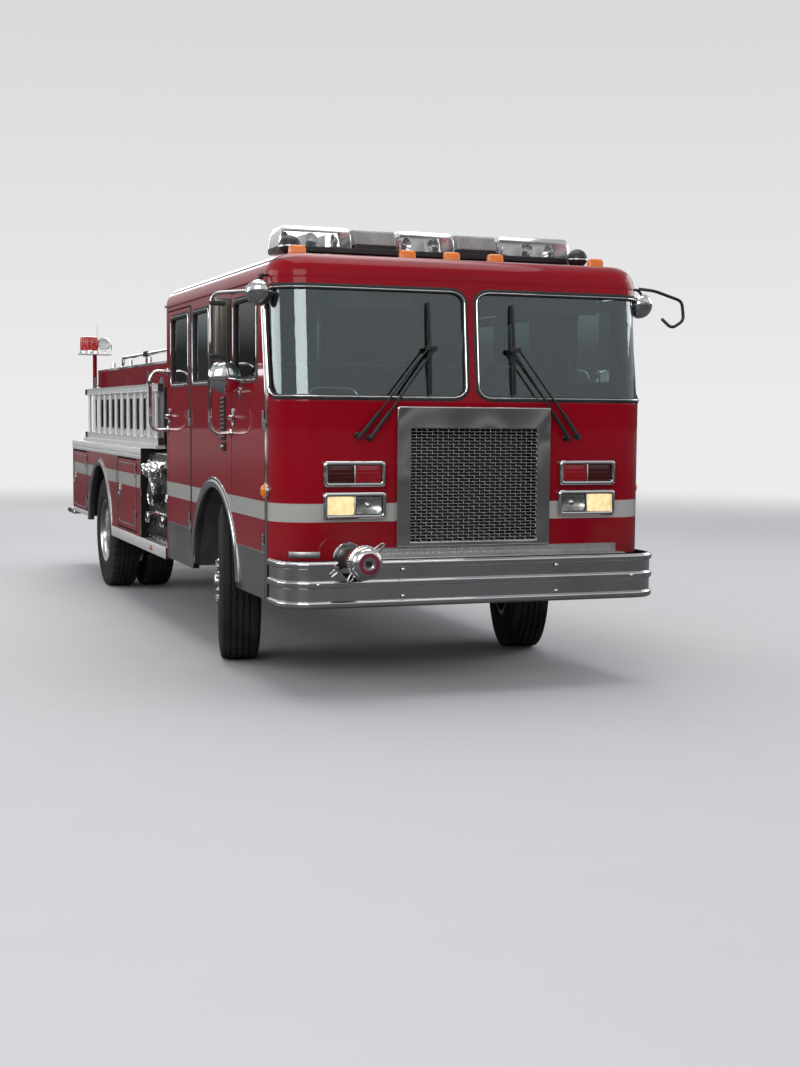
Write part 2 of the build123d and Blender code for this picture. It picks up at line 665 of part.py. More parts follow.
# Leaf springs: a tapering stack under each rail, seated on its axle and hung at both ends.
with BuildPart() as leaf_springs:
    for axle_y, half, seat_z in (
        (FRONT_AXLE_Y, FRONT_SPRING_HALF, BEAM_Z + BEAM_HALF_DEPTH),
        (REAR_AXLE_Y, REAR_SPRING_HALF, AXLE_Z + REAR_TUBE_RADIUS),
    ):
        low = seat_z + SEAT_GAP
        for side, _ in SIDES:
            plane = Plane.YZ.offset(side * RAIL_X)
            end_z = RAIL_TOP - RAIL_DEPTH - SEAT_GAP
            stack = [
                (axle_y - half, end_z), (axle_y - half, end_z - 24), (axle_y - 0.6 * half, low + 22),
                (axle_y - 60, low), (axle_y + 60, low), (axle_y + 0.6 * half, low + 22),
                (axle_y + half, end_z - 24), (axle_y + half, end_z), (axle_y + half - 70, end_z),
                (axle_y + 0.6 * half, low + 45), (axle_y + 60, low + 50), (axle_y - 60, low + 50),
                (axle_y - 0.6 * half, low + 45), (axle_y - half + 70, end_z),
            ]
            add(beam(stack, SPRING_WIDTH, plane))
leaf_springs.part.label = "leaf_springs"
export_step(leaf_springs.part, "parts/leaf_springs.step")

# Cab: the shell from which the face, the sides, the back and the roof are split.
with BuildPart() as cab_shell:
    add(cab_form(0))
    add(cab_form(WALL), mode=Mode.SUBTRACT)

with BuildPart() as cab_front:
    add(cab_shell.part)
    add(ahead_of_strip(0), mode=Mode.INTERSECT)
    for side, _ in SIDES:
        add(windscreen(side, 0), mode=Mode.SUBTRACT)
    face_cut = (CAB_FACE_Y - 10, CAB_FACE_Y + WALL + 10)
    add(block((-MESH_HALF, MESH_HALF), face_cut, MESH_Z), mode=Mode.SUBTRACT)
    notch = RAIL_OUTER + RAIL_CLEARANCE
    notch_z = (SKIRT_Z - 10, BUMPER_BRACKET_Z[1] + RAIL_CLEARANCE)
    add(block((-notch, notch), face_cut, notch_z), mode=Mode.SUBTRACT)
    with BuildSketch(Plane.XZ.offset(-CAB_FACE_Y - WALL - 10)):
        with Locations((INTAKE_X, INTAKE_Z)):
            Circle(INTAKE_PIPE_RADIUS + 15)
    extrude(amount=WALL + 40, mode=Mode.SUBTRACT)
cab_front.part.label = "cab_front"
export_step(cab_front.part, "parts/cab_front.step")

with BuildPart() as cab_roof:
    add(cab_shell.part)
    split(bisect_by=Plane.XY.offset(ROOF_SEAM_Z), keep=Keep.TOP)
    gutter_x = (CAB_HALF_WIDTH, CAB_HALF_WIDTH + GUTTER)
    add(both_sides(gutter_x, (strip_y(ROOF_SEAM_Z), CAB_REAR), (ROOF_SEAM_Z, ROOF_SEAM_Z + GUTTER_HEIGHT)))
cab_roof.part.label = "cab_roof"
export_step(cab_roof.part, "parts/cab_roof.step")

with BuildPart() as cab_back:
    back_y = (CAB_REAR - WALL, CAB_REAR)
    add(block((-CAB_HALF_WIDTH, CAB_HALF_WIDTH), back_y, (SKIRT_Z, ROOF_SEAM_Z)))
    notch = RAIL_OUTER + RAIL_CLEARANCE
    cut_y = (back_y[0] - 1, back_y[1] + 1)
    add(block((-notch, notch), cut_y, (SKIRT_Z - 1, RAIL_TOP + RAIL_CLEARANCE)), mode=Mode.SUBTRACT)
cab_back.part.label = "cab_back"
export_step(cab_back.part, "parts/cab_back.step")

for side, hand in SIDES:
    outside = Plane.YZ.offset(side * CAB_HALF_WIDTH)
    with BuildPart() as cab_side:
        with BuildSketch(outside):
            with BuildLine():
                Polyline(
                    (strip_y(SKIRT_Z), SKIRT_Z), (strip_y(WAIST_Z), WAIST_Z),
                    (strip_y(ROOF_SEAM_Z), ROOF_SEAM_Z), (CAB_REAR - WALL, ROOF_SEAM_Z),
                    (CAB_REAR - WALL, SKIRT_Z), close=True,
                )
            make_face()
            with Locations((FRONT_AXLE_Y, ARCH_Z)):
                Circle(ARCH_RADIUS, mode=Mode.SUBTRACT)
            add(door_outline(FRONT_DOOR, FRONT_DOOR_LEAN, 0), mode=Mode.SUBTRACT)
            add(door_outline(REAR_DOOR, 0, 0), mode=Mode.SUBTRACT)
            add(side_window(FIXED_GLASS, 0), mode=Mode.SUBTRACT)
        extrude(amount=-side * WALL)
        for front_y in (FRONT_DOOR[0], REAR_DOOR[0]):
            for z in CAB_HINGES_Z:
                add(hinge(side, front_y, z, False, CAB_HALF_WIDTH))
    cab_side.part.label = f"cab_side_{hand}"
    export_step(cab_side.part, f"parts/cab_side_{hand}.step")

    for name, edges, lean, glass in (
        ("front_door", FRONT_DOOR, FRONT_DOOR_LEAN, FRONT_DOOR_GLASS),
        ("rear_door", REAR_DOOR, 0, REAR_DOOR_GLASS),
    ):
        with BuildPart() as door:
            with BuildSketch(outside):
                add(door_outline(edges, lean, DOOR_GAP))
                add(side_window(glass, 0), mode=Mode.SUBTRACT)
            extrude(amount=-side * WALL)
            for z in CAB_HINGES_Z:
                add(hinge(side, edges[0], z, True, CAB_HALF_WIDTH))
        door.part.label = f"{name}_{hand}"
        export_step(door.part, f"parts/{name}_{hand}.step")

        with BuildPart() as pane:
            with BuildSketch(Plane.YZ.offset(side * (CAB_HALF_WIDTH - GLASS_INSET))):
                add(side_window(glass, SEAT_GAP))
            extrude(amount=-side * GLASS_THICKNESS)
        pane.part.label = f"{name}_glass_{hand}"
        export_step(pane.part, f"parts/{name}_glass_{hand}.step")

# Fixed glass: two windscreens that wrap the corners, and a pane between the doors on each side.
with BuildPart() as cab_glass:
    add(cab_form(GLASS_INSET))
    add(cab_form(GLASS_INSET + GLASS_THICKNESS), mode=Mode.SUBTRACT)
    with BuildPart(mode=Mode.INTERSECT):
        for side, _ in SIDES:
            add(windscreen(side, SEAT_GAP))
    for side, _ in SIDES:
        with BuildSketch(Plane.YZ.offset(side * (CAB_HALF_WIDTH - GLASS_INSET))):
            add(side_window(FIXED_GLASS, SEAT_GAP))
        extrude(amount=-side * GLASS_THICKNESS)
cab_glass.part.label = "cab_glass"
export_step(cab_glass.part, "parts/cab_glass.step")

# Cab floor: footwell plates, the engine's tunnel in three lengths, and a wheelhouse over each front wheel.
with BuildPart() as cab_floor:
    inside_x = CAB_HALF_WIDTH - WALL - SEAT_GAP
    inside_y = (CAB_FACE_Y + WALL + SEAT_GAP, CAB_REAR - WALL - SEAT_GAP)
    plate_z = (FLOOR_Z, FLOOR_Z + FLOOR_THICKNESS)
    house_outer = ARCH_RADIUS + WHEELHOUSE_WALL
    cut = sqrt((house_outer + SEAT_GAP) ** 2 - (FLOOR_Z - ARCH_Z) ** 2)
    for y0, y1 in ((inside_y[0], FRONT_AXLE_Y - cut), (FRONT_AXLE_Y + cut, inside_y[1])):
        with BuildSketch(Plane.XY.offset(plate_z[0])) as plate:
            with Locations((0, (y0 + y1) / 2)):
                Rectangle(2 * inside_x, y1 - y0)
            if y0 == inside_y[0]:
                fillet(plate.vertices().group_by(Axis.Y)[0], CORNER_RADIUS - WALL)
            with Locations((0, (y0 + y1) / 2)):
                Rectangle(2 * (TUNNEL_HALF + SEAT_GAP), y1 - y0 + 2, mode=Mode.SUBTRACT)
        extrude(amount=FLOOR_THICKNESS)
    strip_x = (TUNNEL_HALF + SEAT_GAP, WHEELHOUSE_INNER_X - WHEELHOUSE_WALL - SEAT_GAP)
    strip_ends = (FRONT_AXLE_Y - cut + SEAT_GAP, FRONT_AXLE_Y + cut - SEAT_GAP)
    add(both_sides(strip_x, strip_ends, plate_z))
    wall_x = (TUNNEL_HALF - TUNNEL_WALL, TUNNEL_HALF)
    roof_x = (SEAT_GAP - wall_x[0], wall_x[0] - SEAT_GAP)
    lengths = (
        (inside_y[0], SHROUD_REAR - SEAT_GAP, SHROUD_TOP),
        (SHROUD_REAR, TUNNEL_REAR - SEAT_GAP, TUNNEL_TOP),
        (TUNNEL_REAR, inside_y[1], REAR_FLOOR_Z + TUNNEL_WALL),
    )
    for y0, y1, top in lengths:
        add(both_sides(wall_x, (y0, y1), (FLOOR_Z, top)))
        add(block(roof_x, (y0, y1), (top - TUNNEL_WALL, top)))
    for y, low, high in (
        (SHROUD_REAR - SEAT_GAP, TUNNEL_TOP + SEAT_GAP, SHROUD_TOP),
        (TUNNEL_REAR - SEAT_GAP, REAR_FLOOR_Z, TUNNEL_TOP),
    ):
        end_z = (low, high - TUNNEL_WALL - SEAT_GAP)
        add(block(roof_x, (y - TUNNEL_WALL, y), end_z))
    arch_foot = asin((SKIRT_Z + 20 - ARCH_Z) / ARCH_RADIUS)
    panel_turn = (pi - 2 * arch_foot) / WHEELHOUSE_PANELS
    panel_gap = SEAT_GAP / ARCH_RADIUS
    for side, _ in SIDES:
        with BuildSketch(Plane.YZ.offset(side * (WHEELHOUSE_INNER_X - WHEELHOUSE_WALL))):
            with Locations((FRONT_AXLE_Y, ARCH_Z)):
                Circle(house_outer)
            with Locations((FRONT_AXLE_Y, SKIRT_Z + 20 - 2 * ARCH_RADIUS)):
                Rectangle(4 * ARCH_RADIUS, 4 * ARCH_RADIUS, mode=Mode.SUBTRACT)
        extrude(amount=side * WHEELHOUSE_WALL)
        for index in range(WHEELHOUSE_PANELS):
            start = arch_foot + index * panel_turn + panel_gap
            end = start + panel_turn - 2 * panel_gap
            reach = [(FRONT_AXLE_Y + 2 * house_outer * cos(a), ARCH_Z + 2 * house_outer * sin(a)) for a in (start, end)]
            with BuildSketch(Plane.YZ.offset(side * (WHEELHOUSE_INNER_X + SEAT_GAP))):
                with Locations((FRONT_AXLE_Y, ARCH_Z)):
                    Circle(house_outer)
                    Circle(ARCH_RADIUS, mode=Mode.SUBTRACT)
                with BuildLine():
                    Polyline((FRONT_AXLE_Y, ARCH_Z), *reach, close=True)
                make_face(mode=Mode.INTERSECT)
            extrude(amount=side * (inside_x - WHEELHOUSE_INNER_X - SEAT_GAP))
cab_floor.part.label = "cab_floor"
export_step(cab_floor.part, "parts/cab_floor.step")

# Grille: a bright surround with its mesh, and the radiator behind it.
with BuildPart() as grille:
    surround_y = (GRILLE_FRONT_Y, CAB_FACE_Y - SEAT_GAP)
    add(block((-GRILLE_HALF, GRILLE_HALF), surround_y, GRILLE_Z))
    add(block((-MESH_HALF, MESH_HALF), (GRILLE_FRONT_Y - 1, CAB_FACE_Y), MESH_Z), mode=Mode.SUBTRACT)
    mesh_x = MESH_HALF - SEAT_GAP
    mesh_low, mesh_high = MESH_Z[0] + SEAT_GAP, MESH_Z[1] - SEAT_GAP
    pitch = (mesh_high - mesh_low) / MESH_ROWS
    for row in range(1, MESH_ROWS):
        z = mesh_low + row * pitch
        add(block((-mesh_x, mesh_x), (MESH_Y, MESH_Y + MESH_DEPTH), (z - MESH_BAR / 2, z + MESH_BAR / 2)))
    pitch = 2 * mesh_x / MESH_COLUMNS
    back_y = MESH_Y + MESH_DEPTH + SEAT_GAP
    for column in range(1, MESH_COLUMNS):
        x = -mesh_x + column * pitch
        add(block((x - MESH_BAR / 2, x + MESH_BAR / 2), (back_y, back_y + MESH_DEPTH), (mesh_low, mesh_high)))
grille.part.label = "grille"
export_step(grille.part, "parts/grille.step")

with BuildPart() as radiator:
    add(block((-RADIATOR_HALF, RADIATOR_HALF), RADIATOR_Y, RADIATOR_Z))
    foot_z = (RAIL_TOP + SEAT_GAP, RADIATOR_Z[0])
    add(both_sides((RAIL_X - 60, RAIL_X - 20), RADIATOR_Y, foot_z))
radiator.part.label = "radiator"
export_step(radiator.part, "parts/radiator.step")

# Bumper: three ridges with two bands between, in one plan that wraps the corners, and its deck.
with BuildPart() as front_bumper:
    for low, high, proud in BUMPER_BANDS:
        with BuildSketch(Plane.XY.offset(low)) as band:
            front = BUMPER_FRONT_Y + BUMPER_RIDGE - proud
            half = BUMPER_HALF - BUMPER_RIDGE + proud
            with Locations((0, (front + BUMPER_WRAP_Y) / 2)):
                Rectangle(2 * half, BUMPER_WRAP_Y - front)
            fillet(band.vertices().group_by(Axis.Y)[0], BUMPER_CORNER)
        extrude(amount=high - low)
    inner_front = BUMPER_INNER_Y
    inner_half = CAB_HALF_WIDTH + SEAT_GAP
    with BuildSketch(Plane.XY.offset(BUMPER_Z[0])) as hollow:
        with Locations((0, (inner_front + BUMPER_WRAP_Y + 10) / 2)):
            Rectangle(2 * inner_half, BUMPER_WRAP_Y + 10 - inner_front)
        fillet(hollow.vertices().group_by(Axis.Y)[0], CORNER_RADIUS)
    extrude(amount=BUMPER_Z[1] - BUMPER_Z[0], mode=Mode.SUBTRACT)
    with BuildSketch(Plane.XZ.offset(-CAB_FACE_Y)):
        with Locations((INTAKE_X, BUMPER_Z[1])):
            Circle(INTAKE_NOTCH)
    extrude(amount=300, mode=Mode.SUBTRACT)
    deck_y = (BUMPER_FRONT_Y + 2 * BUMPER_RIDGE, CAB_FACE_Y - SEAT_GAP)
    deck_z = (BUMPER_Z[1] + SEAT_GAP, DECK_TOP_Z)
    add(block(DECK_X, deck_y, deck_z))
    riser_y = (CAB_FACE_Y - SEAT_GAP - RISER_THICKNESS, CAB_FACE_Y - SEAT_GAP)
    add(block(DECK_X, riser_y, (DECK_TOP_Z, RISER_TOP_Z)))
front_bumper.part.label = "front_bumper"
export_step(front_bumper.part, "parts/front_bumper.step")

# Front suction intake: a pipe out of the face, a swivel, and a capped coupling with two ears.
with BuildPart() as front_intake:
    axis_plane = Plane.XZ.offset(-INTAKE_FRONT_Y)
    for radius, near, far in INTAKE_STEPS:
        with BuildSketch(axis_plane.offset(-near)):
            with Locations((INTAKE_X, INTAKE_Z)):
                Circle(radius)
        extrude(amount=-(far - near))
    with BuildSketch(axis_plane.offset(-30)):
        with Locations(Location((INTAKE_X, INTAKE_Z), 45)):
            SlotOverall(2 * INTAKE_EAR, 34)
    extrude(amount=-26)
front_intake.part.label = "front_intake"
export_step(front_intake.part, "parts/front_intake.step")

# Lamps on the face: a bezel with two lenses in each of four places, and the roof's marker lamps.
with BuildPart() as lamp_bezels:
    for side, _ in SIDES:
        for x_near, x_far, low, high in FACE_LAMPS:
            x = side * (x_near + x_far) / 2
            plane = Plane.XZ.offset(-CAB_FACE_Y + SEAT_GAP)
            with BuildSketch(plane):
                with Locations((x, (low + high) / 2)):
                    RectangleRounded(x_far - x_near, high - low, BEZEL_RADIUS)
                    for part in (-1, 1):
                        with Locations((part * (x_far - x_near) / 4, 0)):
                            width = (x_far - x_near) / 2 - LENS_SIDE
                            RectangleRounded(width, high - low - LENS_EDGE, LENS_RADIUS, mode=Mode.SUBTRACT)
            extrude(amount=LAMP_DEPTH)
lamp_bezels.part.label = "lamp_bezels"
export_step(lamp_bezels.part, "parts/lamp_bezels.step")

with BuildPart() as lamp_lenses:
    for side, _ in SIDES:
        for x_near, x_far, low, high in FACE_LAMPS:
            x = side * (x_near + x_far) / 2
            with BuildSketch(Plane.XZ.offset(-CAB_FACE_Y + SEAT_GAP)):
                with Locations((x, (low + high) / 2)):
                    for part in (-1, 1):
                        with Locations((part * (x_far - x_near) / 4, 0)):
                            width = (x_far - x_near) / 2 - LENS_SIDE - 2 * SEAT_GAP
                            height = high - low - LENS_EDGE - 2 * SEAT_GAP
                            RectangleRounded(width, height, LENS_RADIUS - SEAT_GAP)
            extrude(amount=LAMP_DEPTH - LENS_RECESS)
        with BuildSketch(Plane.YZ.offset(side * (CAB_HALF_WIDTH + STRIP_DEPTH + 2 * SEAT_GAP))):
            with Locations((strip_y(0), CORNER_LAMP_Z)):
                Circle(CORNER_LAMP_RADIUS)
        extrude(amount=side * CORNER_LAMP_DEPTH)
    for x in ROOF_LAMPS_X:
        with BuildSketch(Plane.XY.offset(ROOF_TOP_Z + SEAT_GAP)):
            with Locations((x, ROOF_LAMP_Y)):
                RectangleRounded(ROOF_LAMP_SIZE[0], ROOF_LAMP_SIZE[1], ROOF_LAMP_SIZE[1] / 3)
        extrude(amount=ROOF_LAMP_SIZE[2])
lamp_lenses.part.label = "lamp_lenses"
export_step(lamp_lenses.part, "parts/lamp_lenses.step")

# Wipers: a pivot on the face under each pane, an arm and a blade.
with BuildPart() as wipers:
    for x, tip_x in WIPERS:
        pivot = (x, CAB_FACE_Y - WIPER_BOSS + 10, WIPER_Z)
        tip = (tip_x, face_y(WIPER_TIP_Z) - WIPER_STAND_OFF, WIPER_TIP_Z)
        blade_z = WIPER_TIP_Z + WIPER_BLADE
        blade_end = (tip_x, face_y(blade_z) - WIPER_STAND_OFF, blade_z)
        with BuildSketch(Plane.XZ.offset(-CAB_FACE_Y + SEAT_GAP)):
            with Locations((x, WIPER_Z)):
                Circle(WIPER_BOSS_RADIUS)
        extrude(amount=WIPER_BOSS)
        add(tube((pivot, tip), WIPER_ARM_RADIUS, 0))
        add(tube((tip, blade_end), WIPER_ARM_RADIUS + 1, 0))
wipers.part.label = "wipers"
export_step(wipers.part, "parts/wipers.step")

# Light bar: a long clear housing on two feet across the roof.
with BuildPart() as light_bar:
    bar_z = (ROOF_TOP_Z + BAR_FOOT_HEIGHT, ROOF_TOP_Z + BAR_FOOT_HEIGHT + BAR_HEIGHT)
    with BuildSketch(Plane.YZ.offset(-BAR_HALF)):
        with Locations((BAR_Y, (bar_z[0] + bar_z[1]) / 2)):
            RectangleRounded(BAR_DEPTH, BAR_HEIGHT, 40)
    extrude(amount=2 * BAR_HALF)
    foot_y = (BAR_Y - 60, BAR_Y + 60)
    add(both_sides(BAR_FEET_X, foot_y, (ROOF_TOP_Z + SEAT_GAP, bar_z[0] - SEAT_GAP)))
light_bar.part.label = "light_bar"
export_step(light_bar.part, "parts/light_bar.step")

# Seats: two in front, one each side of the tunnel, and a bench against the cab's back.
with BuildPart() as seats:
    cushion = (FRONT_SEAT_Z - CUSHION, FRONT_SEAT_Z)
    add(both_sides(SEAT_X, FRONT_SEAT_Y, cushion))
    backrest_y = (FRONT_SEAT_Y[1] - BACKREST, FRONT_SEAT_Y[1])
    add(both_sides(SEAT_X, backrest_y, (FRONT_SEAT_Z, FRONT_SEAT_Z + SEAT_BACK)))
    pedestal_x = (SEAT_X[0] + 60, SEAT_X[1] - 60)
    pedestal_z = (FLOOR_Z + FLOOR_THICKNESS + SEAT_GAP, cushion[0])
    add(both_sides(pedestal_x, (FRONT_SEAT_Y[0] + 20, FRONT_SEAT_Y[0] + 220), pedestal_z))
    bench_x = (-BENCH_HALF, BENCH_HALF)
    bench_y = (CAB_REAR - WALL - BENCH_DEPTH, CAB_REAR - WALL - SEAT_GAP)
    bench_base = REAR_FLOOR_Z + TUNNEL_WALL + SEAT_GAP
    add(block(bench_x, bench_y, (bench_base, BENCH_Z)))
    add(block(bench_x, (bench_y[1] - BACKREST, bench_y[1]), (BENCH_Z, BENCH_Z + SEAT_BACK)))
seats.part.label = "seats"
export_step(seats.part, "parts/seats.step")

# Dashboard, with the steering column and wheel on the vehicle's left.
with BuildPart() as dashboard:
    dash_y = (CAB_FACE_Y + WALL + SEAT_GAP, CAB_FACE_Y + WALL + DASH_DEPTH)
    add(block((-DASH_HALF, DASH_HALF), dash_y, (SHROUD_TOP + SEAT_GAP, WAIST_Z - 40)))
    add(both_sides((TUNNEL_HALF + SEAT_GAP, DASH_HALF), dash_y, (WAIST_Z - 300, SHROUD_TOP + 1)))
    lean = Vector(0, sin(radians(STEERING_TILT)), cos(radians(STEERING_TILT)))
    centre = Vector(STEERING_X, dash_y[1] + 130, WAIST_Z - 60)
    across = Vector(1, 0, 0)
    rim = Plane(origin=centre, x_dir=across, z_dir=across.cross(lean))
    with BuildSketch(rim):
        with Locations((STEERING_RADIUS, 0)):
            Circle(14)
    revolve(axis=Axis(centre, lean))
    add(tube((centre + lean * 12, Vector(STEERING_X, dash_y[1] - 40, WAIST_Z - 220)), 26, 0))
    for angle in (90, 210, 330):
        spoke = across.rotate(Axis((0, 0, 0), lean), angle)
        add(tube((centre, centre + spoke * STEERING_RADIUS), 10, 0))
dashboard.part.label = "dashboard"
export_step(dashboard.part, "parts/dashboard.step")

# Bright trim: flares round the cab's and the body's wheel arches, and a strip down each cab corner.
with BuildPart() as bright_trim:
    for side, _ in SIDES:
        for y, radius in ((FRONT_AXLE_Y, ARCH_RADIUS), (REAR_AXLE_Y, BODY_ARCH_RADIUS)):
            with BuildSketch(Plane.YZ.offset(side * (CAB_HALF_WIDTH + SEAT_GAP))):
                with Locations((y, ARCH_Z)):
                    Circle(radius + ARCH_BAND - 6)
                    Circle(radius, mode=Mode.SUBTRACT)
                with Locations((y, ARCH_TRIM_FOOT - 1000)):
                    Rectangle(3000, 2000, mode=Mode.SUBTRACT)
            extrude(amount=side * FLARE_DEPTH)
        with BuildSketch(Plane.YZ.offset(side * (CAB_HALF_WIDTH + SEAT_GAP))):
            with BuildLine():
                half = STRIP_WIDTH / 2
                low_y, high_y = strip_y(0), strip_y(STRIP_TOP_Z)
                leading = ((low_y - half, SKIRT_Z), (low_y - half, WAIST_Z), (high_y - half, STRIP_TOP_Z))
                trailing = ((high_y + half, STRIP_TOP_Z), (low_y + half, WAIST_Z), (low_y + half, SKIRT_Z))
                Polyline(*leading, *trailing, close=True)
            make_face()
        extrude(amount=side * STRIP_DEPTH)
bright_trim.part.label = "bright_trim"
export_step(bright_trim.part, "parts/bright_trim.step")

# Pump house: a cabinet each side of the frame, the deck over them, and hose trays between dividers on top.
with BuildPart() as pump_house:
    pump_y = (PUMP_FRONT, PUMP_REAR)
    cabinet_x = (RAIL_OUTER + RAIL_CLEARANCE, PUMP_HALF)
    add(both_sides(cabinet_x, pump_y, (PUMP_PANEL_Z[0], RAIL_TOP)))
    add(block((-PUMP_HALF, PUMP_HALF), pump_y, (RAIL_TOP + SEAT_GAP, PUMP_PANEL_Z[1])))
    tray_x = (-HOSE_BED_HALF, HOSE_BED_HALF)
    add(block(tray_x, pump_y, (PUMP_PANEL_Z[1] + SEAT_GAP, TRAY_Z)))
    tray_pitch = (PUMP_LENGTH - TRAY_WALL) / TRAY_COUNT
    for index in range(TRAY_COUNT + 1):
        y = PUMP_FRONT + index * tray_pitch
        add(block(tray_x, (y, y + TRAY_WALL), (TRAY_Z + SEAT_GAP, HOSE_BED_TOP)))
pump_house.part.label = "pump_house"
export_step(pump_house.part, "parts/pump_house.step")

with BuildPart() as pump_fittings:
    for side, _ in SIDES:
        for y, z, radius, reach in PUMP_PORTS:
            with BuildSketch(Plane.YZ.offset(side * (PUMP_HALF + SEAT_GAP))):
                with Locations((PUMP_FRONT + y, z)):
                    Circle(radius)
            extrude(amount=side * reach)
pump_fittings.part.label = "pump_fittings"
export_step(pump_fittings.part, "parts/pump_fittings.step")

# Side compartments: a steel locker ahead of the rear wheels, one behind them, and boxed panels over them.
with BuildPart() as side_compartments:
    joints_y = (FRONT_LOCKER[1] + BODY_WALL, REAR_LOCKER[0] - BODY_WALL)
    seams_y = [REAR_AXLE_Y + index * BODY_ARCH_PANEL for index in range(-3, 4)]
    seams_y = [joints_y[0] + SEAT_GAP, *seams_y, joints_y[1]]
    panels = [(y0, y1 - SEAT_GAP, None) for y0, y1 in zip(seams_y, seams_y[1:])]
    lockers = [(BODY_FRONT, joints_y[0], FRONT_LOCKER), (joints_y[1], BODY_REAR, REAR_LOCKER)]
    for y0, y1, locker in panels + lockers:
        with BuildPart() as length:
            add(block((BODY_INNER_X, CAB_HALF_WIDTH), (y0, y1), (BODY_BOTTOM, BODY_TOP)))
            if locker:
                inside = (CAB_HALF_WIDTH - LOCKER_DEPTH, CAB_HALF_WIDTH + 1)
                add(block(inside, locker, LOCKER_Z), mode=Mode.SUBTRACT)
            with BuildSketch(Plane.YZ.offset(BODY_INNER_X - 1)):
                with Locations((REAR_AXLE_Y, ARCH_Z)):
                    Circle(BODY_ARCH_RADIUS)
            extrude(amount=CAB_HALF_WIDTH - BODY_INNER_X + 2, mode=Mode.SUBTRACT)
        add(length.part)
        add(mirror(length.part, about=Plane.YZ))
    for side, _ in SIDES:
        for front_y in (FRONT_LOCKER[0], REAR_LOCKER[0]):
            for z in LOCKER_HINGES_Z:
                add(hinge(side, front_y, z, False, CAB_HALF_WIDTH))
side_compartments.part.label = "side_compartments"
export_step(side_compartments.part, "parts/side_compartments.step")

for side, hand in SIDES:
    for name, edges in (("front_locker_door", FRONT_LOCKER), ("rear_locker_door", REAR_LOCKER)):
        with BuildPart() as locker_door:
            with BuildSketch(Plane.YZ.offset(side * CAB_HALF_WIDTH)):
                with Locations(((edges[0] + edges[1]) / 2, (LOCKER_Z[0] + LOCKER_Z[1]) / 2)):
                    Rectangle(edges[1] - edges[0] - 2 * DOOR_GAP, LOCKER_Z[1] - LOCKER_Z[0] - 2 * DOOR_GAP)
            extrude(amount=-side * BODY_WALL)
            for z in LOCKER_HINGES_Z:
                add(hinge(side, edges[0], z, True, CAB_HALF_WIDTH))
        locker_door.part.label = f"{name}_{hand}"
        export_step(locker_door.part, f"parts/{name}_{hand}.step")

# Hose bed and the water tank under it, between the side compartments.
with BuildPart() as water_tank:
    tank_x = BODY_INNER_X - SEAT_GAP
    tank_y = (BODY_FRONT, BODY_REAR)
    add(block((-tank_x, tank_x), tank_y, (RAIL_TOP + SEAT_GAP, BODY_TOP)))
water_tank.part.label = "water_tank"
export_step(water_tank.part, "parts/water_tank.step")

with BuildPart() as hose_bed:
    add(block((-HOSE_BED_HALF, HOSE_BED_HALF), (BODY_FRONT, BODY_REAR), (BODY_TOP + SEAT_GAP, HOSE_BED_TOP)))
    bed_x = HOSE_BED_HALF - HOSE_BED_WALL
    bed_y = (BODY_FRONT + HOSE_BED_WALL, BODY_REAR + 1)
    add(block((-bed_x, bed_x), bed_y, (HOSE_BED_FLOOR, HOSE_BED_TOP + 1)), mode=Mode.SUBTRACT)
hose_bed.part.label = "hose_bed"
export_step(hose_bed.part, "parts/hose_bed.step")

# Running boards between the wheels, and the tailboard.
with BuildPart() as running_boards:
    add(both_sides((BOARD_INNER_X, BOARD_OUTER_X), (PUMP_FRONT, BOARD_REAR), RUNNING_BOARD_Z))
    hollow_x = (BOARD_INNER_X + BOARD_WALL, BOARD_OUTER_X - BOARD_WALL)
    hollow_y = (PUMP_FRONT + BOARD_WALL, BOARD_REAR - BOARD_WALL)
    hollow_z = (RUNNING_BOARD_Z[0] - 1, RUNNING_BOARD_Z[1] - BOARD_WALL)
    add(both_sides(hollow_x, hollow_y, hollow_z), mode=Mode.SUBTRACT)
running_boards.part.label = "running_boards"
export_step(running_boards.part, "parts/running_boards.step")

with BuildPart() as tailboard:
    add(block((-CAB_HALF_WIDTH, CAB_HALF_WIDTH), (BODY_REAR + SEAT_GAP, TAIL_Y), TAILBOARD_Z))
tailboard.part.label = "tailboard"
export_step(tailboard.part, "parts/tailboard.step")

# Ladder rack: a channel along the right-hand compartments and two hooks over the upper rail.
with BuildPart() as ladder_rack:
    rack_x = (LADDER_X - RACK_HALF, LADDER_X + RACK_HALF)
    add(block(rack_x, LADDER_Y, (BODY_TOP + SEAT_GAP, LADDER_RAILS_Z[0] - SEAT_GAP)))
    for y in LADDER_HOOKS:
        post_x = (LADDER_X + 20 + SEAT_GAP, LADDER_X + RACK_HALF)
        hook_z = LADDER_RAILS_Z[1] + LADDER_RAIL + SEAT_GAP
        add(block(post_x, (y - 25, y + 25), (BODY_TOP + SEAT_GAP, hook_z + 12)))
        add(block((LADDER_X - 20, post_x[1]), (y - 25, y + 25), (hook_z, hook_z + 12)))
ladder_rack.part.label = "ladder_rack"
export_step(ladder_rack.part, "parts/ladder_rack.step")

# Ladder, hung on edge over the right-hand compartments.
with BuildPart() as ladder:
    for z in LADDER_RAILS_Z:
        add(block((LADDER_X - 20, LADDER_X + 20), LADDER_Y, (z, z + LADDER_RAIL)))
    count = round((LADDER_Y[1] - LADDER_Y[0]) / RUNG_PITCH)
    for index in range(count):
        y = LADDER_Y[0] + (index + 0.5) * RUNG_PITCH
        with BuildSketch(Plane.XY.offset(LADDER_RAILS_Z[0] + LADDER_RAIL - 2)):
            with Locations((LADDER_X, y)):
                Circle(16)
        extrude(amount=LADDER_RAILS_Z[1] - LADDER_RAILS_Z[0] - LADDER_RAIL + 4)
ladder.part.label = "ladder"
export_step(ladder.part, "parts/ladder.step")

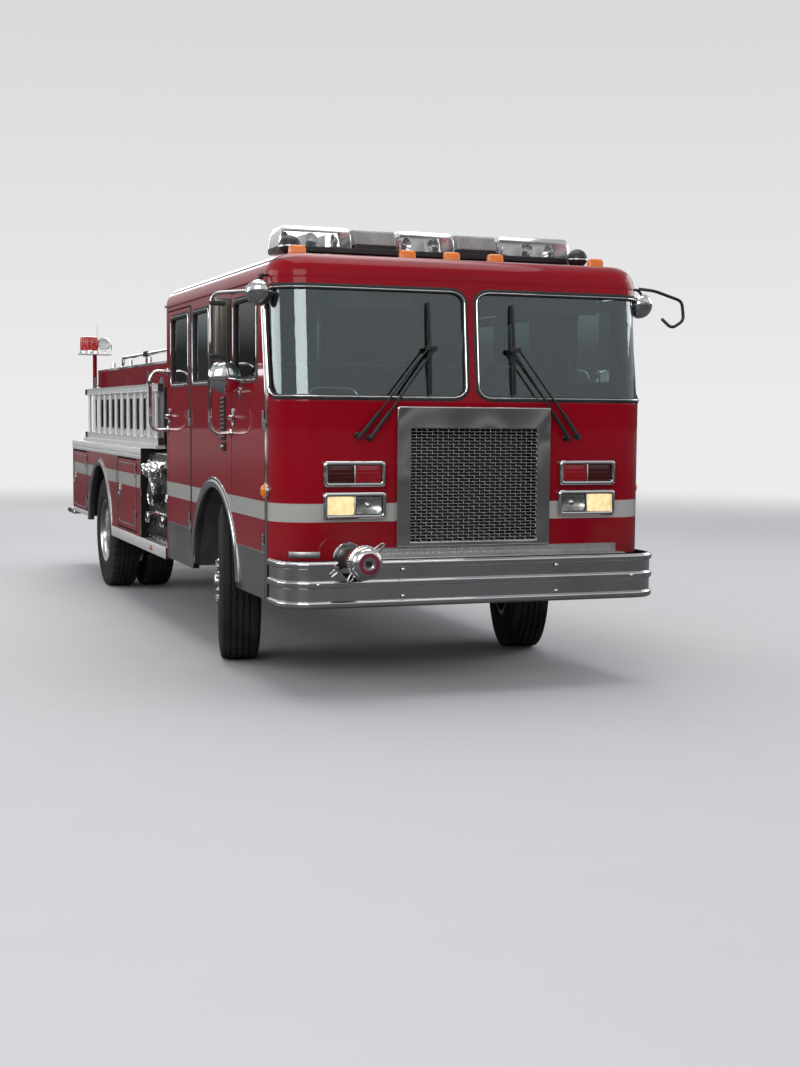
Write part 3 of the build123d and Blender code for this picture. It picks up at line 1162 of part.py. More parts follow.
with BuildPart() as handrails:
    for x in (-1, 1):
        rail_x = x * (HOSE_BED_HALF - HOSE_BED_WALL / 2)
        rail = ((rail_x, PUMP_FRONT + 20, HOSE_BED_TOP + SEAT_GAP), (rail_x, PUMP_FRONT + 20, RAIL_HEIGHT),
                (rail_x, RAIL_END_Y, RAIL_HEIGHT), (rail_x, RAIL_END_Y, HOSE_BED_TOP + SEAT_GAP))
        add(tube(rail, HANDRAIL_RADIUS, HANDRAIL_BEND))
handrails.part.label = "handrails"
export_step(handrails.part, "parts/handrails.step")

# Rear beacons: a lens on a flat plate over each rear corner.
with BuildPart() as beacons:
    for side, _ in SIDES:
        x = side * BEACON_X
        plate_x = (x - BEACON_PLATE_HALF[0], x + BEACON_PLATE_HALF[0])
        plate_y = (BEACON_Y - BEACON_PLATE_HALF[1], BEACON_Y + BEACON_PLATE_HALF[1])
        add(block(plate_x, plate_y, (BEACON_Z - BEACON_PLATE, BEACON_Z)))
        post = x - side * BEACON_POST_IN
        post_x = (post - BEACON_POST_HALF, post + BEACON_POST_HALF)
        post_y = (BEACON_Y - BEACON_POST_HALF, BEACON_Y + BEACON_POST_HALF)
        add(block(post_x, post_y, (BODY_TOP + SEAT_GAP, BEACON_Z - BEACON_PLATE)))
        with BuildSketch(Plane.XY.offset(BEACON_Z)):
            with Locations((x, BEACON_Y)):
                Circle(BEACON_RADIUS)
        extrude(amount=BEACON_HEIGHT)
beacons.part.label = "beacons"
export_step(beacons.part, "parts/beacons.step")

# Mirrors, one bracket on each front door: a loop of tube with a tall glass and a round one under it.
for side, hand in SIDES:
    with BuildPart() as mirror_bracket:
        surface = side * (CAB_HALF_WIDTH + SEAT_GAP)
        out = side * MIRROR_X
        loop = ((surface, MIRROR_Y, MIRROR_Z[1]), (out, MIRROR_Y, MIRROR_Z[1]),
                (out, MIRROR_Y, MIRROR_Z[0]), (surface, MIRROR_Y, MIRROR_Z[0]))
        add(tube(loop, MIRROR_TUBE, MIRROR_BEND))
        glass_rear = MIRROR_Y - MIRROR_TUBE - SEAT_GAP
        glass_x = (out - TALL_MIRROR_HALF, out + TALL_MIRROR_HALF)
        add(block(glass_x, (glass_rear - TALL_MIRROR_DEPTH, glass_rear), TALL_MIRROR_Z))
        with BuildSketch(Plane.XZ.offset(-MIRROR_Y + MIRROR_TUBE + SEAT_GAP)):
            with Locations((out, ROUND_MIRROR_Z)):
                Circle(ROUND_MIRROR_RADIUS)
        extrude(amount=ROUND_MIRROR_DEPTH)
    mirror_bracket.part.label = f"mirror_{hand}"
    export_step(mirror_bracket.part, f"parts/mirror_{hand}.step")

# Front wheels on their knuckles, turned by the rest angle about the kingpins; rear twins.
for side, hand in SIDES:
    steered = spindle_frame(side, REST_STEER, KINGPIN_X, FRONT_AXLE_Y)
    with BuildPart() as front_tyre:
        add(tyre_solid(steered, 0))
    front_tyre.part.label = f"front_tyre_{hand}"
    export_step(front_tyre.part, f"parts/front_tyre_{hand}.step")
    with BuildPart() as front_wheel:
        add(wheel_solid(steered, 0, FRONT_DISC, -30))
        add(hub_solid(steered, -70, FRONT_DISC - 25, FRONT_DISC + 70))
    front_wheel.part.label = f"front_wheel_{hand}"
    export_step(front_wheel.part, f"parts/front_wheel_{hand}.step")

    kingpin = Vector(side * KINGPIN_X, FRONT_AXLE_Y, 0)
    with BuildPart() as knuckle:
        lugs = ((BOSS_HALF + SEAT_GAP, KINGPIN_HALF - 10), (10 - KINGPIN_HALF, -BOSS_HALF - SEAT_GAP))
        for low, high in lugs:
            with BuildSketch(Plane.XY.offset(AXLE_Z + low)):
                with Locations((kingpin.X, kingpin.Y)):
                    Circle(KNUCKLE_RADIUS)
            extrude(amount=high - low)
        yoke = Plane(origin=steered.origin, x_dir=steered.x_dir, z_dir=(0, 0, 1))
        near = KINGPIN_X - TRACK_HALF
        with BuildSketch(yoke.offset(-KINGPIN_HALF + 10)):
            with Locations((near + 62, 0)):
                Rectangle(26, 90)
        extrude(amount=2 * KINGPIN_HALF - 20)
        for low, high in lugs:
            with BuildSketch(yoke.offset(low)):
                with Locations((near + 35, 0)):
                    Rectangle(70, 80)
            extrude(amount=high - low)
        with BuildSketch(Plane(origin=steered.origin + steered.x_dir * (near + 60), z_dir=steered.x_dir)):
            Circle(SPINDLE_RADIUS)
        extrude(amount=FRONT_DISC + 30 - near - 60)
        rear = Vector(0, 1, 0).rotate(Axis.Z, REST_STEER)
        arm = Plane(origin=kingpin + Vector(0, 0, STEER_ARM_Z - 12), x_dir=rear, z_dir=(0, 0, 1))
        with BuildSketch(arm):
            with Locations((STEER_ARM / 2, 0)):
                SlotOverall(STEER_ARM + 50, 50)
        extrude(amount=24)
        with BuildSketch(arm.offset(24)):
            with Locations((STEER_ARM, 0)):
                Circle(STUD_RADIUS)
        extrude(amount=34)
        with BuildSketch(Plane.XY.offset(AXLE_Z - KINGPIN_HALF - 5)):
            with Locations((kingpin.X, kingpin.Y)):
                Circle(KINGPIN_RADIUS + SEAT_GAP)
        extrude(amount=2 * KINGPIN_HALF + 10, mode=Mode.SUBTRACT)
    knuckle.part.label = f"knuckle_{hand}"
    export_step(knuckle.part, f"parts/knuckle_{hand}.step")

    straight = spindle_frame(side, 0, KINGPIN_X, REAR_AXLE_Y)
    with BuildPart() as rear_tyres:
        add(tyre_solid(straight, 0))
        add(tyre_solid(straight, -DUAL_SPACING))
    rear_tyres.part.label = f"rear_tyres_{hand}"
    export_step(rear_tyres.part, f"parts/rear_tyres_{hand}.step")
    with BuildPart() as rear_wheels:
        add(wheel_solid(straight, 0, REAR_DISC, 60))
        add(wheel_solid(straight, -DUAL_SPACING, REAR_DISC - 20, -60))
        add(hub_solid(straight, REAR_DISC - 200, REAR_DISC - 45, REAR_DISC + 170))
    rear_wheels.part.label = f"rear_wheels_{hand}"
    export_step(rear_wheels.part, f"parts/rear_wheels_{hand}.step")

# Tie rod behind the beam, with an eye over the stud of each steering arm.
with BuildPart() as tie_rod:
    rear = Vector(0, 1, 0).rotate(Axis.Z, REST_STEER) * STEER_ARM
    ends = [Vector(side * KINGPIN_X, FRONT_AXLE_Y, STEER_ARM_Z + 30) + rear for side, _ in SIDES]
    for end in ends:
        with BuildSketch(Plane(origin=end - Vector(0, 0, 16), x_dir=(1, 0, 0), z_dir=(0, 0, 1))):
            Circle(28)
        extrude(amount=32)
    add(tube(ends, 14, 0))
    for end in ends:
        with BuildSketch(Plane(origin=end - Vector(0, 0, 20), x_dir=(1, 0, 0), z_dir=(0, 0, 1))):
            Circle(STUD_RADIUS + STUD_CLEARANCE)
        extrude(amount=40, mode=Mode.SUBTRACT)
tie_rod.part.label = "tie_rod"
export_step(tie_rod.part, "parts/tie_rod.step")
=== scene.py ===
# %% [markdown]
# # Dressing a fire engine
#
# The CAD model gives every panel, door, wheel and lamp its true place. This lesson gives them their looks: paint,
# steel, glass, rubber and the fittings that are too fine for the CAD. Places are in metres. The vehicle faces -Y,
# its left side is +X, and the road is z = 0.

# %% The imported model
import math

import bmesh
import bpy
import numpy as np
from mathutils import Matrix, Vector


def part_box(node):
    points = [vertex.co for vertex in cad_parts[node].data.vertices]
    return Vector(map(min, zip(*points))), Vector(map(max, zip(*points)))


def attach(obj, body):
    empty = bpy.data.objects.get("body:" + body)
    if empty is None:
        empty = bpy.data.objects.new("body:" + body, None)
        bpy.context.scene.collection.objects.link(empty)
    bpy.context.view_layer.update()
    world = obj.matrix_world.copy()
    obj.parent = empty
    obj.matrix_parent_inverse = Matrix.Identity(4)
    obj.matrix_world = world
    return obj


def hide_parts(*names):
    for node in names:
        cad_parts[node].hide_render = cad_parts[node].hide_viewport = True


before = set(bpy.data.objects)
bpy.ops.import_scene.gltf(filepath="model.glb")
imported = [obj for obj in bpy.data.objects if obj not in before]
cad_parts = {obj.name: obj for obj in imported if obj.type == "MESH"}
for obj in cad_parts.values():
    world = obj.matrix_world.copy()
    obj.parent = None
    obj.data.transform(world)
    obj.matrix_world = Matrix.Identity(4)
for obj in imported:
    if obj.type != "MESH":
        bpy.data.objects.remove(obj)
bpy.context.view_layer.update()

# %% [markdown]
# ## Surfaces from formulas
#
# A shape here is a grid of points worked out in one go by numpy, with quads between neighbours. Three kinds cover
# almost everything: a profile turned about an axis (wheels, lamps, caps), a profile carried along a path (rails,
# seals, the bumper), and an outline stacked in layers (plates, lenses, housings). Numbers inside mm() are in
# millimetres. Working on whole arrays keeps a piece of fifty thousand points as quick as one of fifty.


# %% Grids and their quads
def quads(rows, columns, close_rows=False, close_columns=False):
    """Faces of a grid of points: each joins (i, j), (i+1, j), (i+1, j+1) and (i, j+1), wrapping where it closes."""
    i, j = np.indices((rows if close_rows else rows - 1, columns if close_columns else columns - 1))
    down, along = (i + 1) % rows * columns, (j + 1) % columns
    return np.stack([i * columns + j, down + j, down + along, i * columns + along], -1).reshape(-1, 4)


def mm(*numbers):
    """Numbers or points in millimetres, as an array in metres."""
    return np.array(numbers, float) / 1000


def unit(v):
    """Vectors scaled to length 1."""
    v = np.asarray(v, float)
    return v / np.maximum(np.linalg.norm(v, axis=-1, keepdims=True), 1e-12)


X, Y, Z = (1, 0, 0), (0, 1, 0), (0, 0, 1)


def place(origin, x=X, y=Y):
    """A 4 x 4 matrix from a piece's own axes to the vehicle's. Its x and y are given, and z is across both."""
    x, y = unit(x), unit(y)
    matrix = np.eye(4)
    matrix[:3, :3] = np.stack([x, y, unit(np.cross(x, y))], 1)
    matrix[:3, 3] = origin
    return matrix


def facing(origin, axis):
    """A place whose z points along a level direction and whose y is up, for wheels."""
    return place(origin, np.cross(Z, axis), Z)


def fore(x, y, z):
    """The place of a fitting that looks forward, with y up."""
    return place((x, y, z), X, Z)


def looking(origin, axis):
    """A place whose z points along any direction and whose x is level."""
    across = np.cross(Z, axis)
    return place(origin, across, np.cross(axis, across))


def beside(side, x, y, z):
    """The place of a fitting that looks out of one side, with y up."""
    return facing((x, y, z), (side, 0, 0))


def spun(at, radius, a, height=0.0):
    """The place at an angle round another one, with x outwards."""
    out = (math.cos(a), math.sin(a), 0)
    return at @ place((radius * out[0], radius * out[1], height), out, (-out[1], out[0], 0))


def moved(points, matrix):
    """Points carried by a 4 x 4 matrix."""
    return points @ matrix[:3, :3].T + matrix[:3, 3]


# %% The three kinds of surface
def stacked(outlines, matrix=np.eye(4), closed=False):
    """Outlines of as many points each, joined in turn. If closed, the last joins the first, else the ends get caps."""
    grid = np.asarray(outlines, float)
    rows, count = grid.shape[:2]
    faces = [quads(rows, count, closed, True)]
    if not closed:
        faces += [np.arange(count)[None], np.arange(count)[None] + (rows - 1) * count]
    return moved(grid.reshape(-1, 3), matrix), faces


def turned(profile, matrix=np.eye(4), around=48, closed=False):
    """Profile points (radius r, height h) turned about z: (r cos a, r sin a, h). closed joins the last to the first."""
    profile = np.asarray(profile, float)
    a = np.linspace(0, 2 * np.pi, around, endpoint=False)
    r, h = profile[:, :1], profile[:, 1:]
    points = np.stack([r * np.cos(a), r * np.sin(a), h + 0 * a], -1).reshape(-1, 3)
    faces = [quads(len(profile), around, closed, True)]
    if not closed:
        ends = [np.arange(around)[None], np.arange(around)[None] + (len(profile) - 1) * around]
        faces += [end for end, point in zip(ends, (profile[0], profile[-1])) if point[0] > 1e-6]
    return moved(points, matrix), faces


def swept(path, profile, up=Z):
    """A profile carried along a path: point = path + a * side + b * top, where side is the path's direction crossed
    with up, and top is square to both. At a bend side is stretched, so that the profile keeps its width."""
    path, profile = np.asarray(path, float), np.asarray(profile, float)
    ahead = unit(np.diff(path, axis=0))
    ahead = np.concatenate([ahead[:1], ahead, ahead[-1:]])
    along = unit(ahead[1:] + ahead[:-1])
    stretch = 1 / np.maximum((along * ahead[1:]).sum(-1), 0.3)
    side = unit(np.cross(along, up))
    top = np.cross(side, along)
    wide = (side * stretch[:, None])[:, None]
    return stacked(path[:, None] + profile[None, :, :1] * wide + profile[None, :, 1:] * top[:, None])


def round_outline(width, height, radius, steps=5):
    """A rectangle with round corners, anticlockwise: each corner's centre plus radius times (cos a, sin a)."""
    radius = min(radius, width / 2 - 1e-5, height / 2 - 1e-5)
    a = np.linspace(0, np.pi / 2, steps + 1)
    corner = np.arange(4)[:, None]
    x_centre = np.array([1, -1, -1, 1])[:, None] * (width / 2 - radius)
    y_centre = np.array([1, 1, -1, -1])[:, None] * (height / 2 - radius)
    turn = a + corner * np.pi / 2
    return np.stack([x_centre + radius * np.cos(turn), y_centre + radius * np.sin(turn)], -1).reshape(-1, 2)


def slab(width, height, radius, layers, matrix=np.eye(4), steps=5):
    """A rounded rectangle stacked in layers (inset, height): each layer's outline is drawn in by its inset."""
    rings = []
    for inset, level in layers:
        outline = round_outline(width - 2 * inset, height - 2 * inset, max(radius - inset, 5e-4), steps)
        rings.append(np.c_[outline, np.full(len(outline), level)])
    return stacked(rings, matrix)


def circle(radius, count=10):
    """Profile of a round bar: radius times (cos a, sin a)."""
    a = np.linspace(0, 2 * np.pi, count, endpoint=False)
    return radius * np.stack([np.cos(a), np.sin(a)], -1)


def bent(points, radius, steps=6):
    """A route with round bends: each corner becomes a curve from radius before it to radius after it, where a share t
    of the way round is (1-t)^2 start + 2t(1-t) corner + t^2 end."""
    points = np.asarray(points, float)
    before, after = unit(points[:-2] - points[1:-1]), unit(points[2:] - points[1:-1])
    corner = points[1:-1, None]
    start, end = corner + radius * before[:, None], corner + radius * after[:, None]
    t = np.linspace(0, 1, steps + 1)[None, :, None]
    arcs = (1 - t) ** 2 * start + 2 * t * (1 - t) * corner + t**2 * end
    return np.concatenate([points[:1], arcs.reshape(-1, 3), points[-1:]])


# %% A piece is gathered from surfaces
class Piece:
    """Surfaces gathered for one object. Each has a material by number, and copies() repeats one at many places."""

    def __init__(self, name, slot, finishes, replaces=(), body="chassis"):
        self.name, self.body, self.slot, self.finishes, self.replaces = name, body, slot, finishes, replaces
        self.points, self.faces, self.numbers, self.count = [], [], [], 0

    def add(self, surface, number=0):
        points, faces = surface
        for group in faces:
            shifted = (np.asarray(group) + self.count).tolist()
            self.faces += shifted
            self.numbers += [number] * len(shifted)
        self.points.append(points)
        self.count += len(points)
        return self

    def copies(self, surface, matrices, number=0):
        points, faces = surface
        matrices = np.asarray(matrices, float)
        many = np.einsum("kab,nb->kna", matrices[:, :3, :3], points) + matrices[:, None, :3, 3]
        steps = np.arange(len(matrices))[:, None, None] * len(points)
        groups = [(np.asarray(group)[None] + steps).reshape(-1, np.asarray(group).shape[1]) for group in faces]
        return self.add((many.reshape(-1, 3), groups), number)

    def make(self, smooth=35, outward=True):
        """Puts the arrays into a mesh, joins poles and seams, turns its faces outward and hands it to its body."""
        mesh = bpy.data.meshes.new(self.name)
        mesh.from_pydata(np.concatenate(self.points).tolist(), [], self.faces)
        for finish in self.finishes:
            mesh.materials.append(finish)
        mesh.polygons.foreach_set("material_index", self.numbers)
        work = bmesh.new()
        work.from_mesh(mesh)
        bmesh.ops.remove_doubles(work, verts=work.verts, dist=2e-6)
        if outward:
            bmesh.ops.recalc_face_normals(work, faces=work.faces)
        work.to_mesh(mesh)
        work.free()
        mesh.shade_smooth()
        mesh.set_sharp_from_angle(angle=math.radians(smooth))
        obj = bpy.data.objects.new(self.name, mesh)
        bpy.context.scene.collection.objects.link(obj)
        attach(obj, self.body)
        if self.replaces:
            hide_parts(*self.replaces)
        print(f"{self.name}: {len(mesh.polygons)} faces on {self.body}")
        return obj


# %% [markdown]
# ## Writing materials as sums
#
# A finish is easier to read as a formula than as a tangle of nodes. A small class stands for a number that varies
# over a surface, and adding two of them adds the Math node that does it. All else goes through one method that takes
# a node's type, its settings and its inputs.


# %% Numbers that vary over a surface
class Signal:
    """An output socket. Python's operators on it add Math nodes, also where the plain number comes first."""

    def __init__(self, tree, socket):
        self.tree, self.socket = tree, socket

    def math(self, operation, *others, clamp=False):
        node = self.tree.nodes.new("ShaderNodeMath")
        node.operation, node.use_clamp = operation, clamp
        for slot, value in zip(node.inputs, (self, *others)):
            if isinstance(value, Signal):
                self.tree.links.new(value.socket, slot)
            else:
                slot.default_value = value
        return Signal(self.tree, node.outputs[0])

    def either(self, other):
        """The greater of two. For masks of 0 and 1 this means either."""
        return self.math("MAXIMUM", other)

    def __rsub__(self, other):
        return self * -1.0 + other

    def __abs__(self):
        return self.math("ABSOLUTE")


def operator(operation):
    """The method behind one of Python's operators."""
    return lambda self, other: self.math(operation, other)


for sign, operation in (
    ("add", "ADD"), ("radd", "ADD"), ("mul", "MULTIPLY"), ("rmul", "MULTIPLY"), ("sub", "SUBTRACT"),
    ("truediv", "DIVIDE"), ("gt", "GREATER_THAN"), ("lt", "LESS_THAN"),
):
    setattr(Signal, f"__{sign}__", operator(operation))


# %% Any tree of nodes, and a finish with its shader
class Nodes:
    """A tree of nodes being written."""

    def __init__(self, tree):
        self.tree = tree
        tree.nodes.clear()

    def fill(self, slot, value):
        if isinstance(value, Signal):
            self.tree.links.new(value.socket, slot)
        elif slot.type == "RGBA" and len(value) == 3:
            slot.default_value = (*value, 1)
        else:
            slot.default_value = value

    def node(self, kind, settings=None, inputs=None, out=0):
        """Adds any node: settings first, a ramp's stops among them, then the values or links of its sockets."""
        node = self.tree.nodes.new(kind)
        for name, value in (settings or {}).items():
            if name == "stops":
                while len(node.color_ramp.elements) < len(value):
                    node.color_ramp.elements.new(0.5)
                for element, (position, colour) in zip(node.color_ramp.elements, value):
                    element.position, element.color = position, (*colour, 1)
            else:
                setattr(node, name, value)
        for name, value in (inputs or {}).items():
            self.fill(node.inputs[name], value)
        return Signal(self.tree, node.outputs[out]) if len(node.outputs) else node

    def ray(self, kind):
        """1 on rays of a kind, such as Camera, Glossy or Shadow."""
        return self.node("ShaderNodeLightPath", out=f"Is {kind} Ray")

    def mix(self, share, first, second):
        """A colour: first where share is 0, second where it is 1."""
        return self.node("ShaderNodeMix", {"data_type": "RGBA"}, {0: share, 6: first, 7: second}, 2)

    def blend(self, share, first, second):
        """A Mix Shader: first where share is 0, second where it is 1."""
        return self.node("ShaderNodeMixShader", None, {0: share, 1: first, 2: second})


class Finish(Nodes):
    """A material being written. Constants go on the shader's own sockets, and what varies is linked by name."""

    def __init__(self, name, **sockets):
        self.material = bpy.data.materials.new(name)
        self.material.use_nodes = True
        super().__init__(self.material.node_tree)
        self.shader = self.tree.nodes.new("ShaderNodeBsdfPrincipled")
        self.output = self.tree.nodes.new("ShaderNodeOutputMaterial")
        self.lit = Signal(self.tree, self.shader.outputs[0])
        self.surface(self.lit)
        self.set(**sockets)
        self.where = self.node("ShaderNodeTexCoord", out="Object")
        parts = self.tree.nodes.new("ShaderNodeSeparateXYZ")
        self.fill(parts.inputs[0], self.where)
        self.x, self.y, self.z = (Signal(self.tree, socket) for socket in parts.outputs)
        self.tilt = None

    def surface(self, shader):
        """Sends a shader to the output."""
        self.fill(self.output.inputs[0], shader)

    def set(self, **sockets):
        """Sets or links the shader's sockets: Base_Color=... stands for Base Color."""
        for name, value in sockets.items():
            self.fill(self.shader.inputs[name.replace("_", " ")], value)
        return self

    def texture(self, kind, out, scale, stretch, **more):
        spot = self.node("ShaderNodeMapping", None, {"Vector": self.where, "Scale": stretch})
        return self.node(f"ShaderNodeTex{kind}", None, {"Vector": spot, "Scale": scale, **more}, out)

    def noise(self, scale, detail=3.0, stretch=(1, 1, 1)):
        """Cloudy noise, from 0 to 1 and mostly near a half, with scale lumps to a metre. stretch squeezes each axis."""
        return self.texture("Noise", "Fac", scale, stretch, Detail=detail)

    def cells(self, scale, stretch=(1, 1, 1)):
        """Distance to the nearest of many scattered points."""
        return self.texture("Voronoi", "Distance", scale, stretch)

    def step(self, value, low, high, start=0.0, end=1.0):
        """A smooth step: start where value is below low, end above high."""
        given = {"Value": value, "From Min": low, "From Max": high, "To Min": start, "To Max": end}
        return self.node("ShaderNodeMapRange", {"interpolation_type": "SMOOTHSTEP"}, given)

    def band(self, value, low, high, soft=0.0015):
        """1 between low and high, 0 outside, with soft edges."""
        return self.step(value, low - soft, low + soft) * self.step(value, high - soft, high + soft, 1.0, 0.0)

    def bump(self, height, distance):
        """Tilts the shading by a height: distance is how far height 1 stands out, in metres. Bumps add up."""
        given = {"Height": height, "Distance": distance, "Strength": 1.0}
        if self.tilt:
            given["Normal"] = self.tilt
        self.tilt = self.node("ShaderNodeBump", None, given)
        return self.set(Normal=self.tilt)

    def soften(self, radius):
        """Rounds the shading over hard edges by a radius, as rolled sheet and castings have it."""
        self.tilt = self.node("ShaderNodeBevel", {"samples": 4}, {"Radius": radius})
        return self.set(Normal=self.tilt)

# %% [markdown]
# ## The camera
#
# The camera stands where the photographer stood. Its place and lens were solved from the photograph's straight
# edges, so a point of the model lands on the same spot of the picture.

# %% Camera from its angles
CAMERA_AT = (-3.645, -12.643, 1.680)
YAW, PITCH, ROLL = 0.3542, -0.0773, -0.0081
FOCAL_PIXELS, PICTURE_HEIGHT = 1538.0, 1067

ahead = np.array([math.sin(YAW) * math.cos(PITCH), math.cos(YAW) * math.cos(PITCH), math.sin(PITCH)])
level = np.array([math.cos(YAW), -math.sin(YAW), 0.0])
down = np.cross(ahead, level)
across = level * math.cos(ROLL) + down * math.sin(ROLL)
lower = down * math.cos(ROLL) - level * math.sin(ROLL)
lens = bpy.data.cameras.new("photographer")
lens.sensor_width = 36
lens.lens = FOCAL_PIXELS / PICTURE_HEIGHT * lens.sensor_width
lens.clip_start, lens.clip_end = 0.1, 400
camera = bpy.data.objects.new("photographer", lens)
bpy.context.scene.collection.objects.link(camera)
turn = Matrix([across, -lower, -ahead]).transposed()
camera.matrix_world = Matrix.Translation(CAMERA_AT) @ turn.to_4x4()
bpy.context.scene.camera = camera
print("lens", round(lens.lens, 1), "mm")

# %% [markdown]
# ## Floor and light
#
# Paint, steel and glass look like whatever stands round them. So the studio is a pale floor that runs into a pale
# backdrop, with large soft lamps above and to the sides. The backdrop is bright only for the camera and for mirror
# and glass rays, so that it doesn't wash out the object. Mirror rays also meet a dark band along the horizon and a
# darker floor, as with black flags round the set: without dark beside light, chrome can't show its curves.

# %% Pale floor
REACH, FLOOR_GREY = 150, (0.52, 0.52, 0.515)
f = Finish("studio floor")
mirrored = f.ray("Glossy")
f.set(Base_Color=f.mix(mirrored, FLOOR_GREY, (0.055, 0.055, 0.055)), Roughness=f.step(f.noise(3), 0.3, 0.7, 0.8, 0.95))
away = f.node("ShaderNodeVectorMath", {"operation": "LENGTH"}, {0: f.where}, "Value")
share = f.step(away, 9, 24) * f.ray("Camera") + f.step(away, 12, 60) * mirrored * 0.22
far_glow = f.node("ShaderNodeEmission", None, {"Color": (0.84, 0.84, 0.84), "Strength": 1.0})
f.surface(f.blend(share, f.lit, far_glow))
floor_mesh = bpy.data.meshes.new("floor")
floor_mesh.from_pydata([(x * REACH, y * REACH, 0) for x, y in ((-1, -1), (1, -1), (1, 1), (-1, 1))], [], [range(4)])
floor_mesh.materials.append(f.material)
floor = bpy.data.objects.new("floor", floor_mesh)
bpy.context.scene.collection.objects.link(floor)

# %% Backdrop and lamps
world = bpy.data.worlds.new("studio")
bpy.context.scene.world = world
world.use_nodes = True
sky = Nodes(world.node_tree)
glossy = sky.ray("Glossy")
shown = (sky.ray("Camera") + glossy + sky.ray("Transmission")).math("MINIMUM", 1.0)
height = sky.node("ShaderNodeSeparateXYZ", None, {0: sky.node("ShaderNodeTexCoord", out="Generated")}, "Z")
fade_stops = ((0.0, (0.84, 0.84, 0.84)), (0.9, (0.30, 0.31, 0.32)))
flag_greys = ((0.0, 0.04), (0.04, 0.05), (0.08, 0.44), (0.35, 0.66), (0.95, 0.32))
flag_stops = [(spot, (grey, grey, grey * 1.02)) for spot, grey in flag_greys]
fade, flags = (sky.node("ShaderNodeValToRGB", {"stops": stops}, {"Fac": height}) for stops in (fade_stops, flag_stops))
dim = sky.node("ShaderNodeBackground", None, {"Color": (0.86, 0.9, 1.0), "Strength": 0.55})
bright = sky.node("ShaderNodeBackground", None, {"Color": sky.mix(glossy, fade, flags)})
sky.node("ShaderNodeOutputWorld", None, {"Surface": sky.blend(shown, dim, bright)})


def soft_lamp(name, spot, aim, size, watts):
    """A large rectangular lamp at a spot, facing a point."""
    light = bpy.data.lights.new(name, "AREA")
    light.shape, light.size, light.size_y, light.energy = "RECTANGLE", size[0], size[1], watts
    lamp = bpy.data.objects.new(name, light)
    lamp.location = spot
    lamp.rotation_mode = "QUATERNION"
    lamp.rotation_quaternion = (Vector(aim) - Vector(spot)).to_track_quat("-Z", "Y")
    bpy.context.scene.collection.objects.link(lamp)


soft_lamp("overhead", (0, 0, 11), (0, 0, 0), (9, 14), 900)
soft_lamp("front", (-5, -13, 6), (0, -3, 1), (7, 5), 420)
soft_lamp("right side", (-12, 2, 5), (0, 0, 1), (10, 5), 420)
soft_lamp("left side", (12, 0, 6), (0, 0, 1), (10, 5), 300)
soft_lamp("rear", (2, 14, 6), (0, 3, 1), (7, 5), 300)
bpy.context.scene.view_settings.view_transform = "Standard"
print("nodes of the backdrop:", len(sky.tree.nodes))

# %% [markdown]
# ## Red enamel, its stripe and the polished skirt
#
# The cab and body are sprayed red under clear lacquer, with one off-white reflective stripe at the height of the
# lamps and a polished steel skirt under the cab's doors. All three are one material here, told apart by height:
# every panel then meets the next at exactly the same line, which separate decals would never quite do. Inside the
# cab the same sheets carry dark trim, chosen by how far in from the outside a point lies.

# %% Heights and places that the finishes share
STRIPE = (1.044, 1.153)
SKIRT = (0.50, 0.849)
WAIST_Z, ROOF_SEAM_Z = 1.752, 2.475
CAB_HALF, WALL = 1.220, 0.045
CAB_FACE, CAB_REAR = -4.040, -0.900
SCREEN_LEAN = 0.075
CORNER = 0.230
ARCHES, ARCH_Z = ((-2.435, 0.630), (2.300, 0.620)), 0.550
LOCKER_WALL, LOCKER_ENDS, LOCKER_TOP = 0.027, (0.205, 3.985), 1.3775
STRIPE_WHITE = (0.40, 0.39, 0.36)
RED = (0.265, 0.0008, 0.0085)
DUST = (0.20, 0.175, 0.145)


def face_y(z):
    """Front of the cab at a height: upright up to the waist, then leaning back evenly to the roof seam."""
    return CAB_FACE + SCREEN_LEAN * max(0.0, z - WAIST_Z) / (ROOF_SEAM_Z - WAIST_Z)


